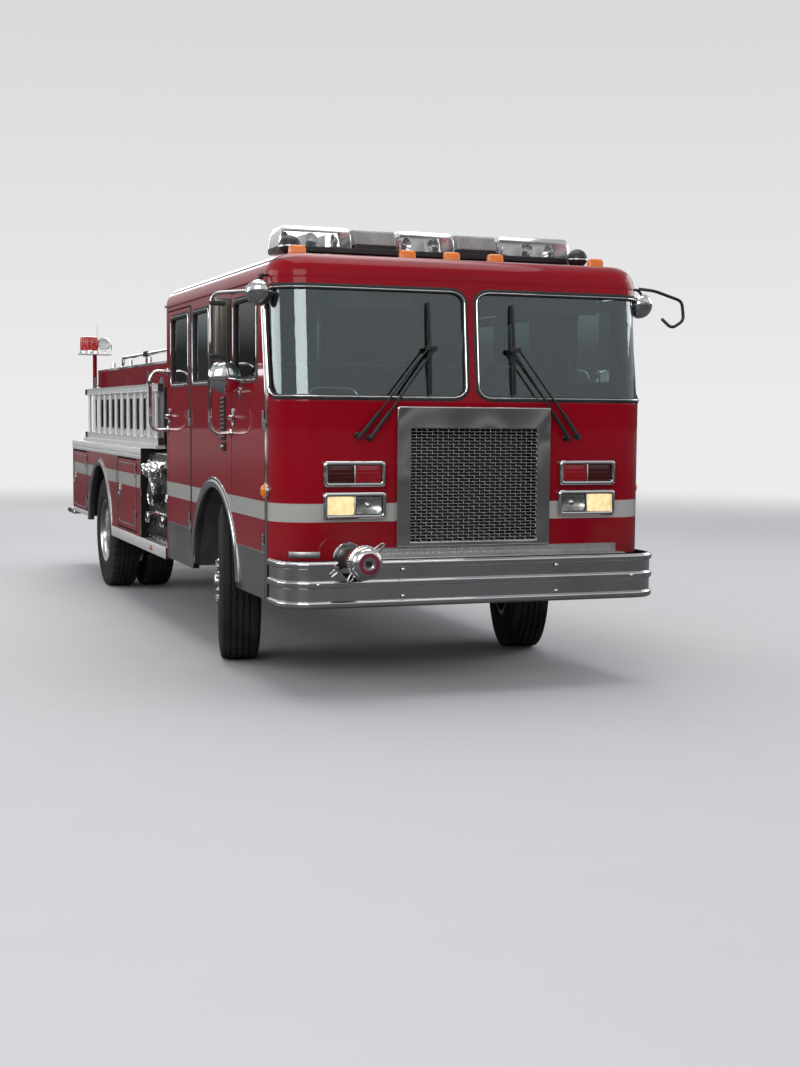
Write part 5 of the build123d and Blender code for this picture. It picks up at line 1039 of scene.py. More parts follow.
intake_red = dull("worn red paint", (0.12, 0.006, 0.016), (0.20, 0.016, 0.030), 0.3, 60, 0.0003)
intake_finishes = [chrome, intake_red, black_plastic, frame_black, stainless]
intake = Piece("front_suction_intake", "chrome", intake_finishes, ["front_intake"])
axis = fore(INTAKE_X, -4.4285, 0.830)
cap = mm(
    (0, -13), (34, -13), (36, -2), (40, 0), (62, 0), (70, -3), (82, -11),
    (87.5, -20), (88.5, -60), (90, -66), (98, -70), (100, -76), (100, -124),
    (97, -130), (85, -133), (0, -133),
)  # fmt: skip
pipe = mm((0, -380), (62, -380), (62, -215), (80, -200), (84, -190), (84, -136), (0, -136))
flange = mm((60, -394), (95, -394), (95, -384), (90, -379), (60, -379))
boss = mm((0, -14), (0, -4), (3, -1), (10, -1), (11, -8))
intake.add(turned(cap[::-1], axis, 64))
intake.add(turned(disc_ring(0.038, 0.062, -0.001, 0.0014), axis, 64, True), 1)
intake.add(turned(pipe[::-1], axis, 48), 3)
intake.add(turned(flange, axis, 48, True))
intake.add(turned(disc_ring(0.029, 0.040, -0.012, 0.0010), axis, 48, True))
intake.add(slab(0.034, 0.034, 0.003, boss, axis), 2)
rib = slab(0.008, 0.040, 0.002, mm((0, 0), (0.5, 2), (2, 3)))
turns = np.linspace(0, 2 * np.pi, 36, endpoint=False)
ribs = [spun(axis, 0.0995, a, -0.100) @ place((0, 0, 0), Y, Z) for a in turns]
intake.copies(rib, ribs)
for way in (1, -1):
    c = math.cos(math.radians(45)) * way
    legs = ((0.090, -0.010, -0.095), (0.150, -0.007, -0.060), (0.150, 0.007, -0.060), (0.090, 0.010, -0.095))
    handle = bent([(reach * c + apart, reach * c - apart, deep) for reach, apart, deep in legs], 0.009)
    intake.add(swept(moved(handle, axis), circle(0.0058, 10), (0.1, 1, 0.1)), 4)
intake.make()

# %% [markdown]
# ## The light bar
#
# A light bar is a row of modules on a dark tray: clear domes over rotating lamps, and between them two horn
# speakers behind louvres. Clear plastic shows what is inside, so the rotators are modelled: a bright dish over a
# motor, turned at different angles as they are when the engine stands idle.

# %% Tray, domes, rotators and louvres
BAR_Y, BAR_LOW, BAR_HALF, BAR_WIDE = -3.170, 2.685, 1.010, 0.300
ROOF_TOP = 2.625
speaker_grey = dull("speaker grey", (0.26, 0.255, 0.24), (0.34, 0.335, 0.32), 0.5, 300, 0.0002)
bar = Piece("light_bar_tray", "black_plastic", [black_plastic, stainless, speaker_grey], ["light_bar"])
tray = mm((12, 0), (0, 8), (0, 36), (6, 40))
foot = mm((0, 0), (0, 8), (30, 20), (34, 60.2))
bar.add(slab(2 * BAR_HALF, BAR_WIDE, 0.030, tray, place((0, BAR_Y, BAR_LOW))))
for side in (-1, 1):
    bar.add(slab(0.110, 0.160, 0.012, foot, place((side * 0.705, BAR_Y, ROOF_TOP + 0.0002))), 1)
box = mm((0, 36), (0, 62), (3, 66))
horn = mm((-148, 66), (-112, 148), (-100, 158), (100, 158), (112, 148), (148, 66))
louvre = mm((-2.8, -1), (2.8, -1), (2.4, 4.2), (-2.4, 4.2))
for low, high in ((-0.517, -0.234), (0.186, 0.463)):
    bar.add(slab(high - low, BAR_WIDE - 0.004, 0.012, box, place(((low + high) / 2, BAR_Y, BAR_LOW))))
    bar.add(swept([(low + 0.004, BAR_Y, BAR_LOW), (high - 0.004, BAR_Y, BAR_LOW)], horn), 2)
    for x in np.arange(low + 0.016, high - 0.010, 0.0125):
        for face in (-1, 1):
            slat = [(x, BAR_Y + face * y, BAR_LOW + z) for y, z in ((0.1475, 0.070), (0.1145, 0.146))]
            bar.add(swept(slat, louvre, (0, face, 0)), 2)
bar.make()

domes = Piece("light_bar_domes", "clear_lens", [clear_lens])
rotators = Piece("light_bar_rotators", "chrome", [chrome, red_lens, black_plastic, alloy])
turns = iter(np.radians((205, 250, 180, 300, 220, 150, 265, 195, 240, 175)))
shell = mm((1, 40), (1, 60), (12, 120), (26, 155), (40, 166), (60, 169))
motor = mm((0, 0), (36, 0), (36, 18), (12, 22), (12, 50), (0, 52))[::-1]
rim = np.linspace(0, 1, 10)
dish = np.c_[0.046 * rim, 0.034 * rim**2 - 0.034]
bulb = mm((0, -30), (8, -30), (8, -8), (0, -4))
for low, high in ((-1.008, -0.519), (-0.232, 0.184), (0.465, 1.008)):
    wide, middle = high - low, (low + high) / 2
    outer = slab(wide, BAR_WIDE - 0.006, 0.035, shell, place((middle, BAR_Y, BAR_LOW)))
    inner = slab(wide - 0.006, BAR_WIDE - 0.012, 0.032, shell - (0, 0.003), place((middle, BAR_Y, BAR_LOW)))
    domes.add((outer[0], outer[1][:1] + outer[1][2:])).add((inner[0], [inner[1][0][:, ::-1], inner[1][2][:, ::-1]]))
    count = max(2, int(round(wide / 0.17)))
    for k in range(count):
        at = place((low + wide * (k + 0.5) / count, BAR_Y, BAR_LOW + 0.040))
        rotators.add(turned(motor, at, 24), 2)
        dish_at = spun(at, 0.018, next(turns), 0.052) @ place((0, 0, 0), Y, Z)
        rotators.add(turned(np.concatenate([dish, dish[::-1] - (0, 0.003)]), dish_at, 28, True))
        rotators.add(turned(bulb, dish_at, 12), 3)
    for x in np.linspace(low + 0.05, high - 0.05, count + 1)[1:-1]:
        rotators.add(slab(0.004, 0.200, 0.001, mm((0, 40), (0, 120)), place((x, BAR_Y, BAR_LOW))), 3)
tube = mm((30, 0), (30, 80), (27, 80), (27, 0))
for x in (-0.145, 0.100, 0.560):
    rotators.add(turned(tube, place((x, BAR_Y + 0.075, BAR_LOW + 0.044)), 24, True), 1)
domes.make(outward=False)
rotators.make()

# %% [markdown]
# ## Roof fittings
#
# Two black warning domes stand ahead of the light bar's ends, and two whip antennas behind it. Half a turn of a
# circle makes a dome. A whip is a bar that gets thinner, on a spring base.

# %% Domes and whips
fittings = Piece("roof_fittings", "black_plastic", [black_plastic, chrome, dark_red_lens])
a = np.linspace(0, np.pi / 2, 9)
shell = np.c_[0.068 * np.cos(a), 0.082 + 0.066 * np.sin(a)]
foot = mm((0, 0), (45, 0), (45, 10), (30, 16), (32, 30), (52, 46), (64, 62))
collar = mm((66.5, 74), (70.5, 74), (70.5, 82), (67.5, 82))
whip = mm(
    (0, 0), (22, 0), (22, 6), (12, 12), (7, 50), (5.5, 90), (2.2, 100),
    (1.2, 190), (0, 191),
)  # fmt: skip
for x in (-0.980, 0.985):
    at = place((x, -3.440, ROOF_TOP))
    fittings.add(turned(np.concatenate([foot, shell]), at, 36))
    fittings.add(turned(collar, at, 36, True), 1)
for x, y in ((-0.030, -2.900), (-0.430, -2.600)):
    fittings.add(turned(whip, place((x, y, ROOF_TOP)), 14))
fittings.make()

# %% [markdown]
# ## Glass edges: rubber and bright mouldings
#
# Each pane sits in black rubber with a bright moulding outside it. Both follow the window's outline, so they are
# profiles carried round a closed loop of points. The windscreens wrap round the cab's corners, and their loop is
# bent the same way: x runs along the face until the corner begins, then turns with it.

# %% Loops round the windows
SCREEN_LOW, SCREEN_HIGH = 1.776, 2.425


def strip_y(z):
    """Middle of the corner strip at a height."""
    return CAB_FACE + 0.244 + 0.125 * max(0.0, z - WAIST_Z) / (ROOF_SEAM_Z - WAIST_Z)


def on_face(run, z):
    """Point and outward direction on the cab's skin, run metres from the middle along the face and round its corner."""
    front, flat = face_y(z), CAB_HALF - CORNER
    side, run = math.copysign(1, run), abs(run)
    if run <= flat:
        normal, base = (0.0, -1.0), (side * run, front)
    elif run <= flat + CORNER * math.pi / 2:
        a = (run - flat) / CORNER
        normal = (side * math.sin(a), -math.cos(a))
        base = (side * (flat + CORNER * math.sin(a)), front + CORNER - CORNER * math.cos(a))
    else:
        normal, base = (side, 0.0), (side * CAB_HALF, front + CORNER + run - flat - CORNER * math.pi / 2)
    return (*base, z), (*normal, 0.0)


def banded(points, outward, profile, closed=True):
    """A profile (a across the loop, b outward) carried along points that each have their own outward direction."""
    points, outward, profile = (np.asarray(v, float) for v in (points, outward, profile))
    along = unit(np.roll(points, -1, 0) - np.roll(points, 1, 0) if closed else np.gradient(points, axis=0))
    across = unit(np.cross(along, outward))
    grid = points[:, None] + profile[None, :, :1] * across[:, None] + profile[None, :, 1:] * outward[:, None]
    return stacked(grid, closed=closed)


def on_side(side, outline, profile, closed=True):
    """A profile carried along an outline (y, z) on the skin of one side."""
    points = np.c_[np.full(len(outline), side * CAB_HALF), outline]
    return banded(points, np.tile((side, 0, 0), (len(outline), 1)), profile, closed)


def half_round(width, height, count=7, foot=0.0):
    """Cross-section of a moulding: half an ellipse, (width / 2 cos a, height sin a), on a foot."""
    a = np.linspace(0, np.pi, count)
    dome = np.c_[width / 2 * np.cos(a), height * np.sin(a)]
    return np.concatenate([[(width / 2, -foot)], dome, [(-width / 2, -foot)]])


def window_loop(low, high, bottom, top, radius):
    """Runs and heights round a window with round corners."""
    outline = round_outline(high - low, top - bottom, radius) + ((low + high) / 2, (bottom + top) / 2)
    fill = []
    for start, end in zip(outline, np.roll(outline, -1, 0)):
        count = max(1, int(np.linalg.norm(end - start) / 0.05))
        fill.append(start + (end - start) * np.arange(count)[:, None] / count)
    return np.concatenate(fill)


seals = Piece("window_rubber", "black_plastic", [black_rubber])
mouldings = Piece("window_mouldings", "polished_steel", [chrome])
POST_HALF, STRIP_HALF = 0.034, 0.045
for side in (-1, 1):
    shares, heights = window_loop(POST_HALF, 1.0, SCREEN_LOW, SCREEN_HIGH, 0.070).T
    flat = (CAB_HALF - CORNER) + CORNER * math.pi / 2
    reach = np.array([flat + (strip_y(z) - STRIP_HALF - face_y(z) - CORNER) for z in heights])
    loop = np.c_[POST_HALF + (shares - POST_HALF) / (1.0 - POST_HALF) * (reach - POST_HALF), heights]
    # The straight stretches get more points, because they bend round the corner.
    spots = []
    for start, end in zip(loop, np.roll(loop, -1, 0)):
        pieces = max(1, int(abs(end[0] - start[0]) / 0.035))
        between = [start + (end - start) * j / pieces for j in range(pieces)]
        spots += [on_face(side * run, z) for run, z in between]
    points, outward = zip(*spots)
    seals.add(banded(points, outward, half_round(0.034, 0.006, foot=0.012)))
    mouldings.add(banded(points, outward, half_round(0.013, 0.011, foot=0.002) + (-0.006 * side, 0)))
seals.make()
mouldings.make()
print("windscreen loop points:", len(points))

SIDE_WINDOWS = (("front_door", -3.560, -2.990), (None, -2.310, -1.810), ("rear_door", -1.665, -1.070))
for hand, side in HANDS:
    for holder, start, end in SIDE_WINDOWS:
        body, label = (f"{holder}_{hand}", holder) if holder else ("chassis", "fixed")
        loop = window_loop(start, end, 1.885, 2.390, 0.040)
        rubber = Piece(f"{label}_window_rubber_{hand}", "black_plastic", [black_rubber, chrome], body=body)
        rubber.add(on_side(side, loop, half_round(0.040, 0.004, foot=0.016)))
        sill = np.c_[np.linspace(start + 0.02, end - 0.02, 12), np.full(12, 1.880)]
        rubber.add(on_side(side, sill, half_round(0.024, 0.007, foot=0.001) + (0, 0.001), False), 1)
        rubber.add(on_side(side, loop, half_round(0.007, 0.004, 5) + (0, 0.0035)), 1)
        rubber.make()

# %% [markdown]
# ## Handles, grab rails and vents on the cab's sides
#
# Crews climb up by a bright loop behind each door, and open the door by a lever beside it. The loop is a rod with
# large bends. The lever belongs to the door and swings away with it, so it rides on another body than the loop.

# %% Grab loops, door levers and louvres
rosette = mm((0, 0), (30, 0), (29, 5), (18, 10), (0, 12))
escutcheon = mm((2, 0), (0, 3), (2, 6), (8, 8))
boss = mm((0, 0), (17, 0), (16, 30), (12, 36), (0, 38))
lock = mm((0, 0), (12, 0), (11, 5), (6, 6), (0, 5))
vent_frame = mm((1, 0), (0, 2), (2, 5), (6, 5), (8, 1.5))
vane = swept([(-0.052, 0, 0), (0.052, 0, 0)], mm((-13, 0), (12, 0), (4, 14), (-2, 15)))
vane = (vane[0][:, [0, 2, 1]] * (1, 1, -1), vane[1])
plate = mm((0, 0), (0, 6), (4, 10), (10, 10), (12, 6))
for hand, side in HANDS:
    wall, out = side * CAB_HALF, side * (CAB_HALF + 0.135)
    loops = Piece(f"grab_loops_{hand}", "chrome", [chrome, stainless])
    for y in (-2.912, -0.931):
        rod = bent([(wall, y, 1.990), (out, y, 2.000), (out, y, 1.540), (wall, y, 1.550)], 0.085, 10)
        loops.add(swept(rod, circle(0.013, 14), Y))
        loops.copies(turned(rosette, around=24), [beside(side, wall, y, z) for z in (1.990, 1.550)], 1)
    loops.make()
    for door, y in (("front_door", -2.985), ("rear_door", -1.012)):
        lever = Piece(f"{door}_handle_{hand}", "chrome", [chrome, black_plastic], body=f"{door}_{hand}")
        base = beside(side, wall, y, 1.650)
        lever.add(slab(0.060, 0.120, 0.012, escutcheon, base))
        lever.add(turned(boss, base, 20))
        bends = ((0.030, 0, 1.650), (0.036, -0.050, 1.650), (0.034, -0.115, 1.647))
        grip = [(wall + side * off, y + back, z) for off, back, z in bends]
        lever.add(swept(grip, round_outline(0.016, 0.026, 0.006, 4)))
        lever.add(turned(lock, beside(side, wall + side * 0.008, y, 1.606), 16))
        lever.make()
    vent = Piece(f"side_louvre_{hand}", "black_plastic", [black_plastic, chrome])
    frame_at = beside(side, wall, -2.715, 1.645)
    vent.add(slab(0.120, 0.290, 0.010, vent_frame, frame_at))
    vent.copies(vane, [frame_at @ place((0, z, 0.002)) for z in np.linspace(-0.125, 0.125, 10)])
    low_at = beside(side, wall, -2.735, 1.462)
    vent.add(slab(0.090, 0.060, 0.012, plate, low_at))
    button = mm((0, 4), (0, 14), (4, 17))
    vent.add(slab(0.040, 0.026, 0.008, button, low_at @ place((0.018 * side, -0.004, 0))), 1)
    vent.make()

# %% [markdown]
# ## Mirrors
#
# The door mirrors hang on a bent tube: a tall flat glass above and a round wide-angle glass below. At each corner
# of the roof a ball-shaped mirror looks down in front of the bumper. Its back is chromed, so its form is all
# reflection, and a plain sphere section turned about its axis is the honest way to make it.

# %% Door mirrors and corner mirrors
mirror_glass = bright_metal("mirror glass", (0.80, 0.82, 0.82), (0.76, 0.78, 0.78), 0.01, 0.01).material
mirror_back = bright_metal("mirror back", (0.20, 0.20, 0.17), (0.15, 0.15, 0.125), 0.28, 0.12, (1, 1, 12), 60).material
a = np.linspace(0, np.pi / 2, 12)
foot = mm((0, 0), (0, 4), (3, 7))
case = mm((10, -13), (2, -10), (0, -5), (0, 7), (4, 11))
stay = mm((0, 8), (0, 22), (3, 25))
shell = np.concatenate([np.c_[0.100 * np.cos(a), -0.042 * np.sin(a)][::-1], mm((100, 4), (96.5, 7))])
glass = np.c_[0.096 * np.cos(a), 0.006 + 0.008 * np.sin(a)]
full = np.linspace(0, np.pi / 2, 14)
rim = mm((76.5, -6), (80.5, -6), (80.5, 6), (76.5, 6))
stud = turned(mm((0, 0), (10, 0), (10, 12), (0, 16)), around=12)
for hand, side in HANDS:
    wall, x, y, head_x = side * CAB_HALF, side * 1.415, -3.200, side * 1.344
    finishes = [chrome, black_plastic, mirror_glass, mirror_back]
    arms = Piece(f"door_mirror_{hand}", "chrome", finishes, [f"mirror_{hand}"], f"front_door_{hand}")
    upper, lower = (wall, -3.330, 2.432), (wall, -3.150, 1.806)
    route = bent([upper, (x, y, 2.420), (x, y, 1.830), lower], 0.060, 8)
    arms.add(swept(route, circle(0.011, 14), (0, 1, 0.02)))
    for spot in (upper, lower):
        arms.add(slab(0.040, 0.070, 0.008, foot, beside(side, *spot)))
    back = place((head_x, y, 2.195), (-1, 0, 0), Z)
    arms.add(slab(0.108, 0.405, 0.018, case, back), 3)
    arms.add(slab(0.098, 0.395, 0.014, mm((0, 0), (0, 11.7)), back), 2)
    for shift in (-0.024, 0.024):
        ridge = mm((0, 0), (0, 14), (2, 16))
        arms.add(slab(0.008, 0.370, 0.003, ridge, fore(head_x + shift, y, 2.195)), 3)
    for z in (2.030, 2.360):
        arms.add(slab(0.100, 0.026, 0.006, stay, fore((x + head_x) / 2, y, z)), 1)
    round_at = place((side * 1.332, y - 0.020, 1.900), (-1, 0, 0), Z)
    arms.add(turned(shell, round_at, 40))
    arms.add(turned(glass, round_at, 40), 2)
    arms.make()

    ball = Piece(f"corner_mirror_{hand}", "chrome", [chrome, black_plastic, mirror_glass])
    at = looking((side * 1.270, -3.800, 2.385), (side * 0.15, -0.75, -0.35))
    ball.add(turned(np.c_[0.078 * np.cos(full), 0.055 * np.sin(full)][::-1], at, 44))
    ball.add(turned(np.c_[0.076 * np.cos(full), -0.030 * np.sin(full)], at, 44), 2)
    ball.add(turned(rim, at, 44, True))
    bends = ((1.180, -3.760, 2.500), (1.255, -3.790, 2.488), (1.285, -3.800, 2.440))
    bracket = bent([(side * off, y, z) for off, y, z in bends], 0.020, 5)
    ball.add(swept(bracket, circle(0.009, 12), Y), 1)
    ball.copies(stud, [place((side * 1.255, -3.790 + shift, 2.486)) for shift in (-0.022, 0.022)], 1)
    ball.make()
# Only the left corner also carries a black looped arm, bent down and back.
loop_arm = Piece("corner_mirror_arm", "black_plastic", [black_plastic])
hoop = (
    (1.160, -3.960, 2.482), (1.250, -4.000, 2.470), (1.451, -4.000, 2.412), (1.466, -4.000, 2.290),
    (1.380, -4.000, 2.238), (1.330, -3.960, 2.300),
)  # fmt: skip
loop_arm.add(swept(bent(hoop, 0.035), circle(0.010, 12), Y))
loop_arm.make()

# %% [markdown]
# ## Tyres: grooves are just a smaller radius
#
# A tyre is an outline turned about the axle. Its tread is the same surface with the radius pressed in wherever a
# groove runs. The steered tyres have four ribs whose grooves zigzag a little, and the driven twins have deep cross
# lugs at the shoulders as well. One formula on the whole grid of angles and widths does both.

# %% Tyre surface
TYRE_R, TYRE_HALF = 0.530, 0.140
GROOVES, MOULDED_RINGS = (-0.062, -0.021, 0.021, 0.062), (0.322, 0.405, 0.452)
WHEEL_CENTRES = {}
for hand, side in HANDS:
    low, high = (np.array(corner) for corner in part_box(f"front_tyre_{hand}"))
    WHEEL_CENTRES[hand] = (low + high) / 2
    print("front wheel centre", hand, np.round(WHEEL_CENTRES[hand], 4))


def tyre(matrix, lugs):
    """Radius over (angle, height): an outline through the bead, sidewall and shoulder, less groove depth, which is a
    smooth well round each groove's centre line."""
    side_h = np.array([0.098, 0.114, 0.127, 0.136, 0.1400, 0.1395, 0.1365, 0.1315, 0.1265, 0.1215])
    side_r = np.array([0.2865, 0.3005, 0.3080, 0.3200, 0.3460, 0.3900, 0.4300, 0.4650, 0.4980, 0.5150])
    share, knots, around = np.linspace(0, 1, 26), np.linspace(0, 1, 10), 320
    fine_h, fine_r = np.interp(share, knots, side_h), np.interp(share, knots, side_r)
    for _ in range(2):
        for fine in (fine_h, fine_r):
            fine[1:-1] = (fine[:-2] + 2 * fine[1:-1] + fine[2:]) / 4
    # Rows are spent where the form turns: at the sidewall's moulded rings, in the grooves and at the shoulders.
    ring_rows = np.add.outer(MOULDED_RINGS, (-0.0035, 0, 0.0035)).ravel()
    kept_r = np.sort(np.concatenate([np.linspace(0.2865, 0.515, 8), ring_rows]))
    fine_h, fine_r = np.interp(kept_r, fine_r, fine_h), kept_r
    groove_rows = np.add.outer(GROOVES, (-0.0100, -0.0066, -0.0036, 0, 0.0036, 0.0066, 0.0100)).ravel()
    shoulder_rows = np.outer((-1, 1), (0.0415, 0.090, 0.105, 0.108, 0.111, 0.114, 0.117)).ravel()
    tread_h = np.sort(np.concatenate([groove_rows, shoulder_rows, [0]]))[::-1]
    shoulder = np.clip((np.abs(tread_h) - 0.105) / 0.012, 0, 1)
    tread_r = TYRE_R - 0.0035 * (tread_h / 0.117) ** 2 - 0.006 * shoulder**2
    h = np.concatenate([fine_h, tread_h, -fine_h[::-1]])
    r = np.concatenate([fine_r, tread_r, fine_r[::-1]])
    angle = np.linspace(0, 2 * np.pi, around, endpoint=False)[:, None]
    zigzag = 0.0028 * np.sin(angle * 40)
    press = np.zeros((around, len(h)))
    for line in GROOVES:
        press = np.maximum(press, 0.013 * np.clip(1.6 - np.abs(h - line - zigzag) / 0.0040, 0, 1))
    cross = np.clip(1.5 - np.abs((angle * 40 / np.pi) % 2 - 1) * (3.4 if lugs else 9.0), 0, 1)
    edge = np.clip((np.abs(h) - (0.066 if lugs else 0.108)) / 0.006, 0, 1) * (r > 0.490)
    press = np.maximum(press, (0.014 if lugs else 0.006) * cross * edge)
    rings = sum(0.0012 * np.exp(-((r - at) / 0.0025) ** 2) for at in MOULDED_RINGS) * (np.abs(h) > 0.12)
    radius, height = r - press, h + np.sign(h) * np.minimum(rings, TYRE_HALF - np.abs(h))
    points = np.stack([radius * np.cos(angle), radius * np.sin(angle), height + 0 * angle], -1).reshape(-1, 3)
    closing = turned(mm((286.5, -98), (286.5, 98)), matrix, around)
    surface = [quads(around, len(h), True, False)[:, ::-1]]
    return (moved(points, matrix), surface), (closing[0], closing[1][:1])


RIM_ROWS = mm(
    (268, -125), (300, -125.5), (305.5, -122), (305.8, -115), (296, -111), (286.5, -100),
    (286.5, -50), (283, 0), (286.5, 50), (286.5, 100), (296, 111), (305.8, 115), (305.5, 122),
    (300, 125.5), (290, 124), (276, 110), (270, 95), (268, 60), (262, 0), (264, -80),
)  # fmt: skip
INNER_RIM_ROWS = mm(
    (268, -125), (300, -125.5), (305.8, -115), (286.5, -100), (286.5, 100), (305.8, 115),
    (300, 125.5), (268, 120),
)  # fmt: skip


# %% [markdown]
# ## Disc wheels with hand holes
#
# The wheel is a rim with a pressed disc. Ten hand holes let the brakes breathe, and cutting them with booleans
# would leave ragged shading. Instead each tenth of the disc is one patch whose inner edge is already the hole: a
# point slides from the hole's oval to the border of its sector as t goes from 0 to 1.


# %% Rim, disc, hub and nuts
def holed_disc(matrix, disc, drop):
    """Both faces of the disc in one sheet through the holes, with height(r) = disc + drop (3 s^2 - 2 s^3)."""
    inner, outer, count, steps = 0.150, 0.270, 10, 48
    phi = np.linspace(0, 2 * np.pi, steps, endpoint=False)
    reach_r, reach_a, middle = (outer - inner) / 2, np.pi / count, (outer + inner) / 2
    scale = 1 / np.maximum(np.abs(np.cos(phi)), np.abs(np.sin(phi)))
    edge_a, edge_r = reach_a * np.cos(phi) * scale, middle + reach_r * np.sin(phi) * scale
    hole_a, hole_r = 0.031 / middle * np.cos(phi), middle + 0.002 + 0.025 * np.sin(phi)
    t = np.array([1, 0.7, 0.4, 0.18, 0.05, 0.0])[:, None]
    sheets = []
    for lift, order in ((0.006, t), (-0.006, t[::-1])):
        a, r = hole_a + order * (edge_a - hole_a), hole_r + order * (edge_r - hole_r)
        s = np.clip((r - 0.175) / (0.262 - 0.175), 0, 1)
        roll = np.clip(1 - order / 0.12, 0, 1) * 0.003 * np.sign(lift)
        sheets.append(np.stack([r * np.cos(a), r * np.sin(a), disc + drop * (3 * s**2 - 2 * s**3) + lift - roll], -1))
    grid = np.concatenate(sheets).reshape(-1, 3)
    turns = [matrix @ np.array(Matrix.Rotation(2 * math.pi * k / count, 4, "Z")) for k in range(count)]
    return (grid, [quads(len(t) * 2, steps, False, True)]), turns


def wheel(piece, at, disc, drop, hub_end, drum_end, nut_tall=0.052):
    """One wheel's surfaces, added to a piece: rim, disc, hub with its cap, drum and ten nuts."""
    piece.add(turned(RIM_ROWS, at, 96, True))
    piece.copies(*holed_disc(at, disc, drop))
    plate = [(0.118, disc - 0.006), (0.151, disc - 0.006), (0.151, disc + 0.006), (0.118, disc + 0.006)]
    piece.add(turned(plate, at, 80, True))
    steps = (
        (0.0, 0.0), (0.030, 0.0), (0.052, 0.004), (0.058, 0.010), (0.060, 0.036), (0.070, 0.040),
        (0.074, 0.046), (0.108, 0.050), (0.118, 0.058),
    )  # fmt: skip
    hub = [(r, hub_end - back) for r, back in steps] + [(0.1185, disc - 0.006), (0.0, disc - 0.010)]
    piece.add(turned(hub, at, 64))
    drum = [(0.100, disc - 0.010), (0.196, disc - 0.012), (0.204, disc - 0.020)]
    drum += [(0.205, drum_end), (0.186, drum_end), (0.186, disc - 0.03), (0.1, disc - 0.03)]
    piece.add(turned(drum, at, 64, True), 1)
    nuts = [spun(at, 0.1375, math.pi * (k + 0.5) / 5, disc + 0.006) for k in range(10)]
    turns = [math.pi * k / 4 for k in range(8)]
    studs = [at @ place((0.090 * math.cos(a), 0.090 * math.sin(a), hub_end - 0.049)) for a in turns]
    nut_foot = mm((0, 0), (23.5, 0), (23.5, 5), (19, 8))
    nut_top = [(0.0185, nut_tall * 0.62), (0.0150, nut_tall * 0.74), (0.006, nut_tall), (0.0, nut_tall)]
    nut = np.concatenate([nut_foot, nut_top])
    stud = mm((0, 0), (10, 0), (10, 9), (8, 11), (0, 11))
    piece.copies(turned(nut, around=6), nuts, 2)
    piece.copies(turned(stud, around=6), studs, 2)


steered = math.radians(-13)
wheel_finishes = [wheel_alloy, cast_grey, chrome]
for hand, side in HANDS:
    axle = side * np.array([math.cos(steered), math.sin(steered), 0])
    front = facing(WHEEL_CENTRES[hand], axle)
    rear = [beside(side, side * x, ARCHES[1][0], TYRE_R) for x in (1.040, 0.710)]
    body = f"front_wheel_{hand}"
    front_tyre = Piece(f"steer_tyre_{hand}", "tyre_rubber", [tyre_rubber], [f"front_tyre_{hand}"], body)
    for surface in tyre(front, False):
        front_tyre.add(surface)
    front_tyre.make()
    front_wheel = Piece(f"steer_wheel_{hand}", "wheel_alloy", wheel_finishes, [f"front_wheel_{hand}"], body)
    wheel(front_wheel, front, 0.100, -0.030, 0.170, -0.070)
    front_wheel.make()

    body = f"rear_wheels_{hand}"
    rear_tyres = Piece(f"twin_tyres_{hand}", "tyre_rubber", [tyre_rubber], [f"rear_tyres_{hand}"], body)
    for matrix in rear:
        for surface in tyre(matrix, True):
            rear_tyres.add(surface)
    rear_tyres.make()
    rear_wheels = Piece(f"twin_wheels_{hand}", "wheel_alloy", wheel_finishes, [f"rear_wheels_{hand}"], body)
    wheel(rear_wheels, rear[0], -0.150, 0.060, 0.020, -0.350, 0.040)
    rear_wheels.copies(*holed_disc(rear[1], 0.160, -0.060), 1)
    rear_wheels.add(turned(INNER_RIM_ROWS, rear[1], 72, True))
    rear_wheels.make()

# %% [markdown]
# ## Arch flares, corner strips and seals
#
# A flare is a rolled stainless section bent round the wheel arch. It hides the cut edge of the sheet and throws
# water down. The strips on the cab's corners cover the joint where the front panel meets the sides. Both are one
# profile carried along a line, so a change of section changes all of them.


# %% Flares, strips and door seals
def arch(y0, radius, side, profile):
    """A profile (a outside the arch's edge, b out of the side) round an arch, from 5 cm above its centre:
    y = y0 + (radius + a) cos t and z = ARCH_Z + (radius + a) sin t."""
    a, b = np.asarray(profile, float).T
    start = math.asin(0.050 / radius)
    t = np.linspace(start, np.pi - start, 64)[:, None]
    reach = radius + a
    return stacked(np.stack([side * (CAB_HALF + b) + 0 * t, y0 + reach * np.cos(t), ARCH_Z + reach * np.sin(t)], -1))


flare = mm(
    (-3, -16), (-4, 4), (0, 9), (8, 12.5), (20, 13.8), (34, 13), (44, 10),
    (50, 6.2), (55, 6.2), (60, 7.5), (66, 6), (69, 1), (50, 0.5), (4, 0.5),
)  # fmt: skip
liner = mm((-4.5, -46), (-4.5, -10), (-1, -10), (-1, -46))
strip = mm(
    (-20, 0.4), (-20, 4.5), (-17.5, 8), (-12.5, 8.8), (-8, 6.5), (-6, 4),
    (6, 4), (8, 6.5), (12.5, 8.8), (17.5, 8), (20, 4.5), (20, 0.4),
)  # fmt: skip
trim = Piece("flares_and_corner_strips", "polished_steel", [stainless, black_rubber, chrome], ["bright_trim"])
for side in (-1, 1):
    for y0, radius in ARCHES:
        trim.add(arch(y0, radius, side, flare), 2)
        trim.add(arch(y0, radius, side, liner), 1)
    heights = np.linspace(0.566, 2.458, 40)
    trim.add(on_side(side, np.c_[[strip_y(z) for z in heights], heights], strip, False))
trim.make()

